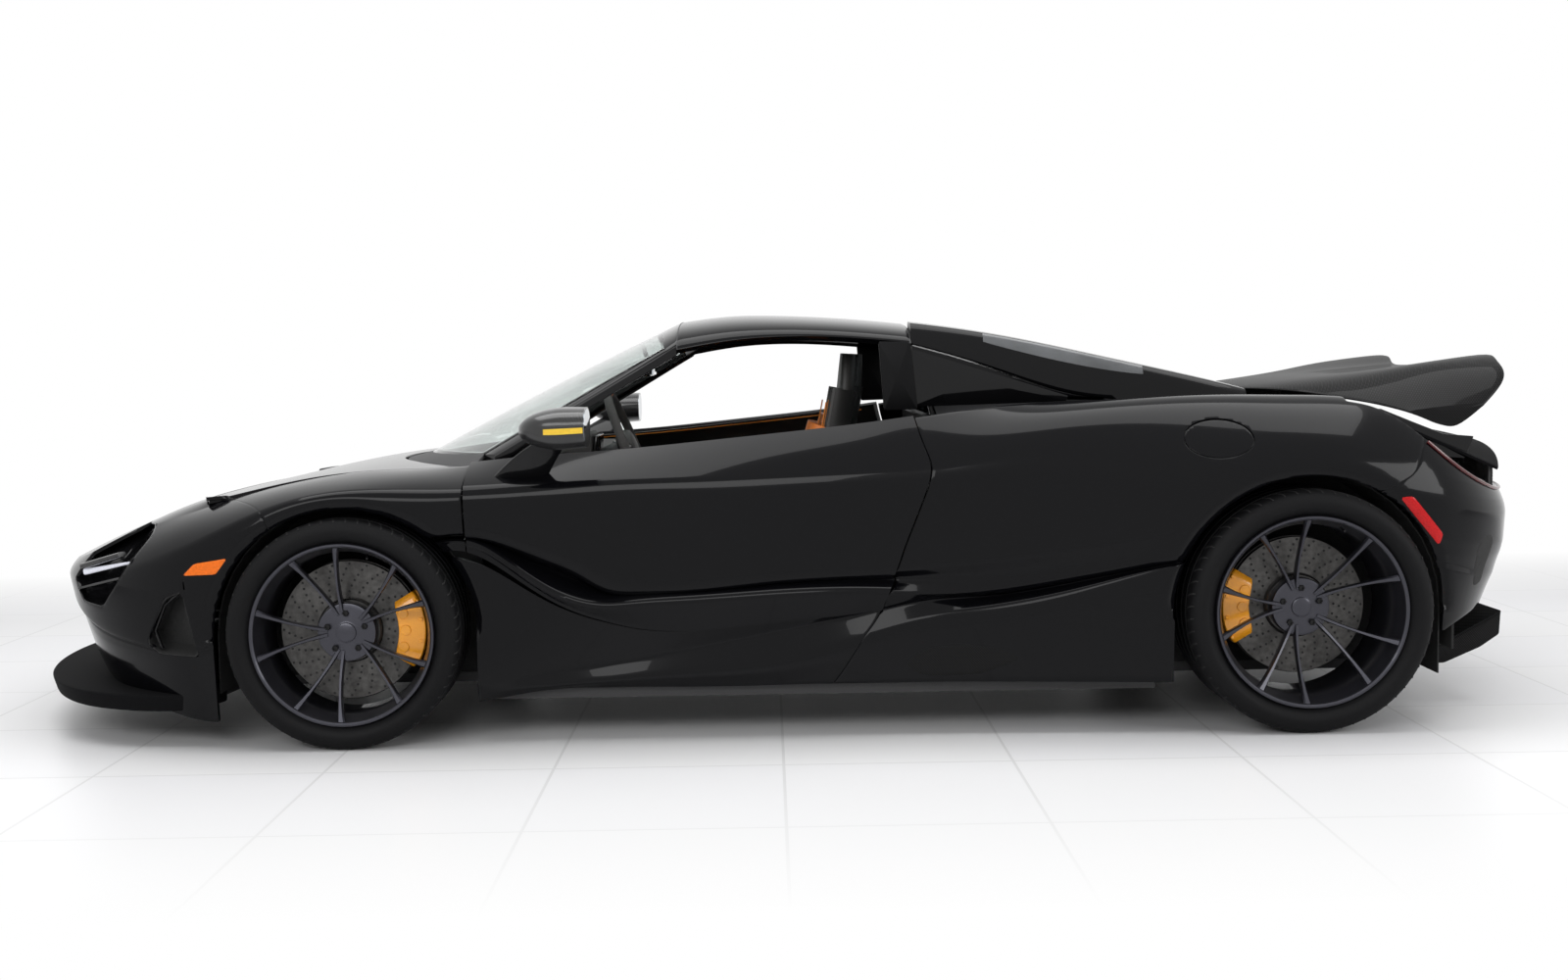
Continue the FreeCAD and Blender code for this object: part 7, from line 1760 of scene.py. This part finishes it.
SENSOR_WIDTH = 36
FOCAL_PIXELS = 1754.656
PHOTO_WIDTH = 1600
CAMERA_PLACE = (0.02939, 5.62489654, 1.0584034)
CAMERA_RIGHT = (-0.99983022, 0.01039231, -0.01521625)
CAMERA_UP = (-0.01596357, -0.07608129, 0.99697382)
FLOOR_REACH = 40
TILE = 0.6
FADE = ((0.10, 1), (0.30, 0), (0.66, 0), (0.80, 1))
BACKDROP = [(0.0, (0.45, 0.45, 0.45)), (0.48, (0.32, 0.32, 0.32)), (0.56, (0.2, 0.2, 0.21)),
            (1.0, (0.55, 0.55, 0.57))]
LIGHTS = [
    ("top_light", (0, 0.4, 4.6), (0, 0, 0), (7.5, 3.0), 260),
    ("front_light", (2.5, 6.5, 3.6), (0.3, 0, 0.5), (6.0, 2.0), 170),
    ("rear_light", (-5.5, 3.5, 2.6), (-1.0, 0, 0.5), (2.5, 2.2), 90),
]


def stage():
    """White backdrop and pale tiled floor, camera and studio lights."""
    scene = bpy.context.scene
    scene.view_settings.view_transform = "Standard"
    camera = bpy.data.objects.new("camera", bpy.data.cameras.new("camera"))
    camera.data.sensor_width = SENSOR_WIDTH
    camera.data.lens = FOCAL_PIXELS * SENSOR_WIDTH / PHOTO_WIDTH
    camera.data.clip_end = 200
    scene.collection.objects.link(camera)
    right, up = Vector(CAMERA_RIGHT), Vector(CAMERA_UP)
    matrix = Matrix((right, up, right.cross(up))).transposed().to_4x4()
    matrix.translation = CAMERA_PLACE
    camera.matrix_world = matrix
    scene.camera = camera

    mesh = bpy.data.meshes.new("floor")
    corners = [(x * FLOOR_REACH, y * FLOOR_REACH, 0) for x, y in ((-1, -1), (1, -1), (1, 1), (-1, 1))]
    mesh.from_pydata(corners, [], [(0, 1, 2, 3)])
    mesh.materials.append(tiles())
    floor = bpy.data.objects.new("floor", mesh)
    scene.collection.objects.link(floor)

    scene.world = bpy.data.worlds.new("studio")
    scene.world.use_nodes = True
    tree = scene.world.node_tree
    tree.nodes.clear()
    height = node(tree, "SeparateXYZ", {0: coordinates(tree, "Generated")}).outputs["Z"]
    lit = node(tree, "Background", {0: ramp(tree, height, BACKDROP), 1: 0.9})
    seen = node(tree, "Background", {0: (1, 1, 1, 1), 1: 1.0})
    mix = node(tree, "MixShader", {0: seen_ray(tree), 1: lit.outputs[0], 2: seen.outputs[0]})
    node(tree, "OutputWorld", {0: mix.outputs[0]})

    for name, place, target, size, power in LIGHTS:
        data = bpy.data.lights.new(name, "AREA")
        data.shape = "RECTANGLE"
        data.size, data.size_y = size
        data.energy = power
        light = bpy.data.objects.new(name, data)
        light.location = place
        light.rotation_euler = (Vector(target) - Vector(place)).to_track_quat("-Z", "Y").to_euler()
        scene.collection.objects.link(light)


def seen_ray(tree):
    """One for rays from the camera and from gloss or glass, and nought for the light on the object."""
    path = node(tree, "LightPath")
    total = path.outputs["Is Camera Ray"]
    for name in ("Is Glossy Ray", "Is Transmission Ray"):
        total = node(tree, "Math", {0: total, 1: path.outputs[name]}, operation="MAXIMUM").outputs[0]
    return total


def tiles():
    """Pale floor tiles with thin joints, which fade into the backdrop's white to the car's sides."""
    material, tree, shader = new_material("floor_tiles")
    place = coordinates(tree)
    brick = node(tree, "TexBrick", {
        "Color1": (0.80, 0.80, 0.80, 1), "Color2": (0.79, 0.79, 0.80, 1), "Mortar": (0.66, 0.66, 0.66, 1),
        "Scale": 1.0, "Mortar Size": 0.004, "Brick Width": TILE, "Row Height": TILE, "Vector": place,
    }, offset=0.0)
    feed(tree, shader, {"Base Color": brick.outputs[0], "Roughness": 0.35})
    across = node(tree, "SeparateXYZ", {0: place}).outputs["Y"]
    spread = node(tree, "MapRange", {"From Min": -4.0, "From Max": 4.0, "Value": across}).outputs[0]
    fade = ramp(tree, spread, [(at, (white,) * 3) for at, white in FADE])
    share = node(tree, "Math", {0: fade, 1: seen_ray(tree)}, operation="MULTIPLY").outputs[0]
    white = node(tree, "Emission").outputs[0]
    mix = node(tree, "MixShader", {0: share, 1: shader.outputs[0], 2: white})
    feed(tree, tree.nodes["Material Output"], {0: mix.outputs[0]})
    return material


stage()
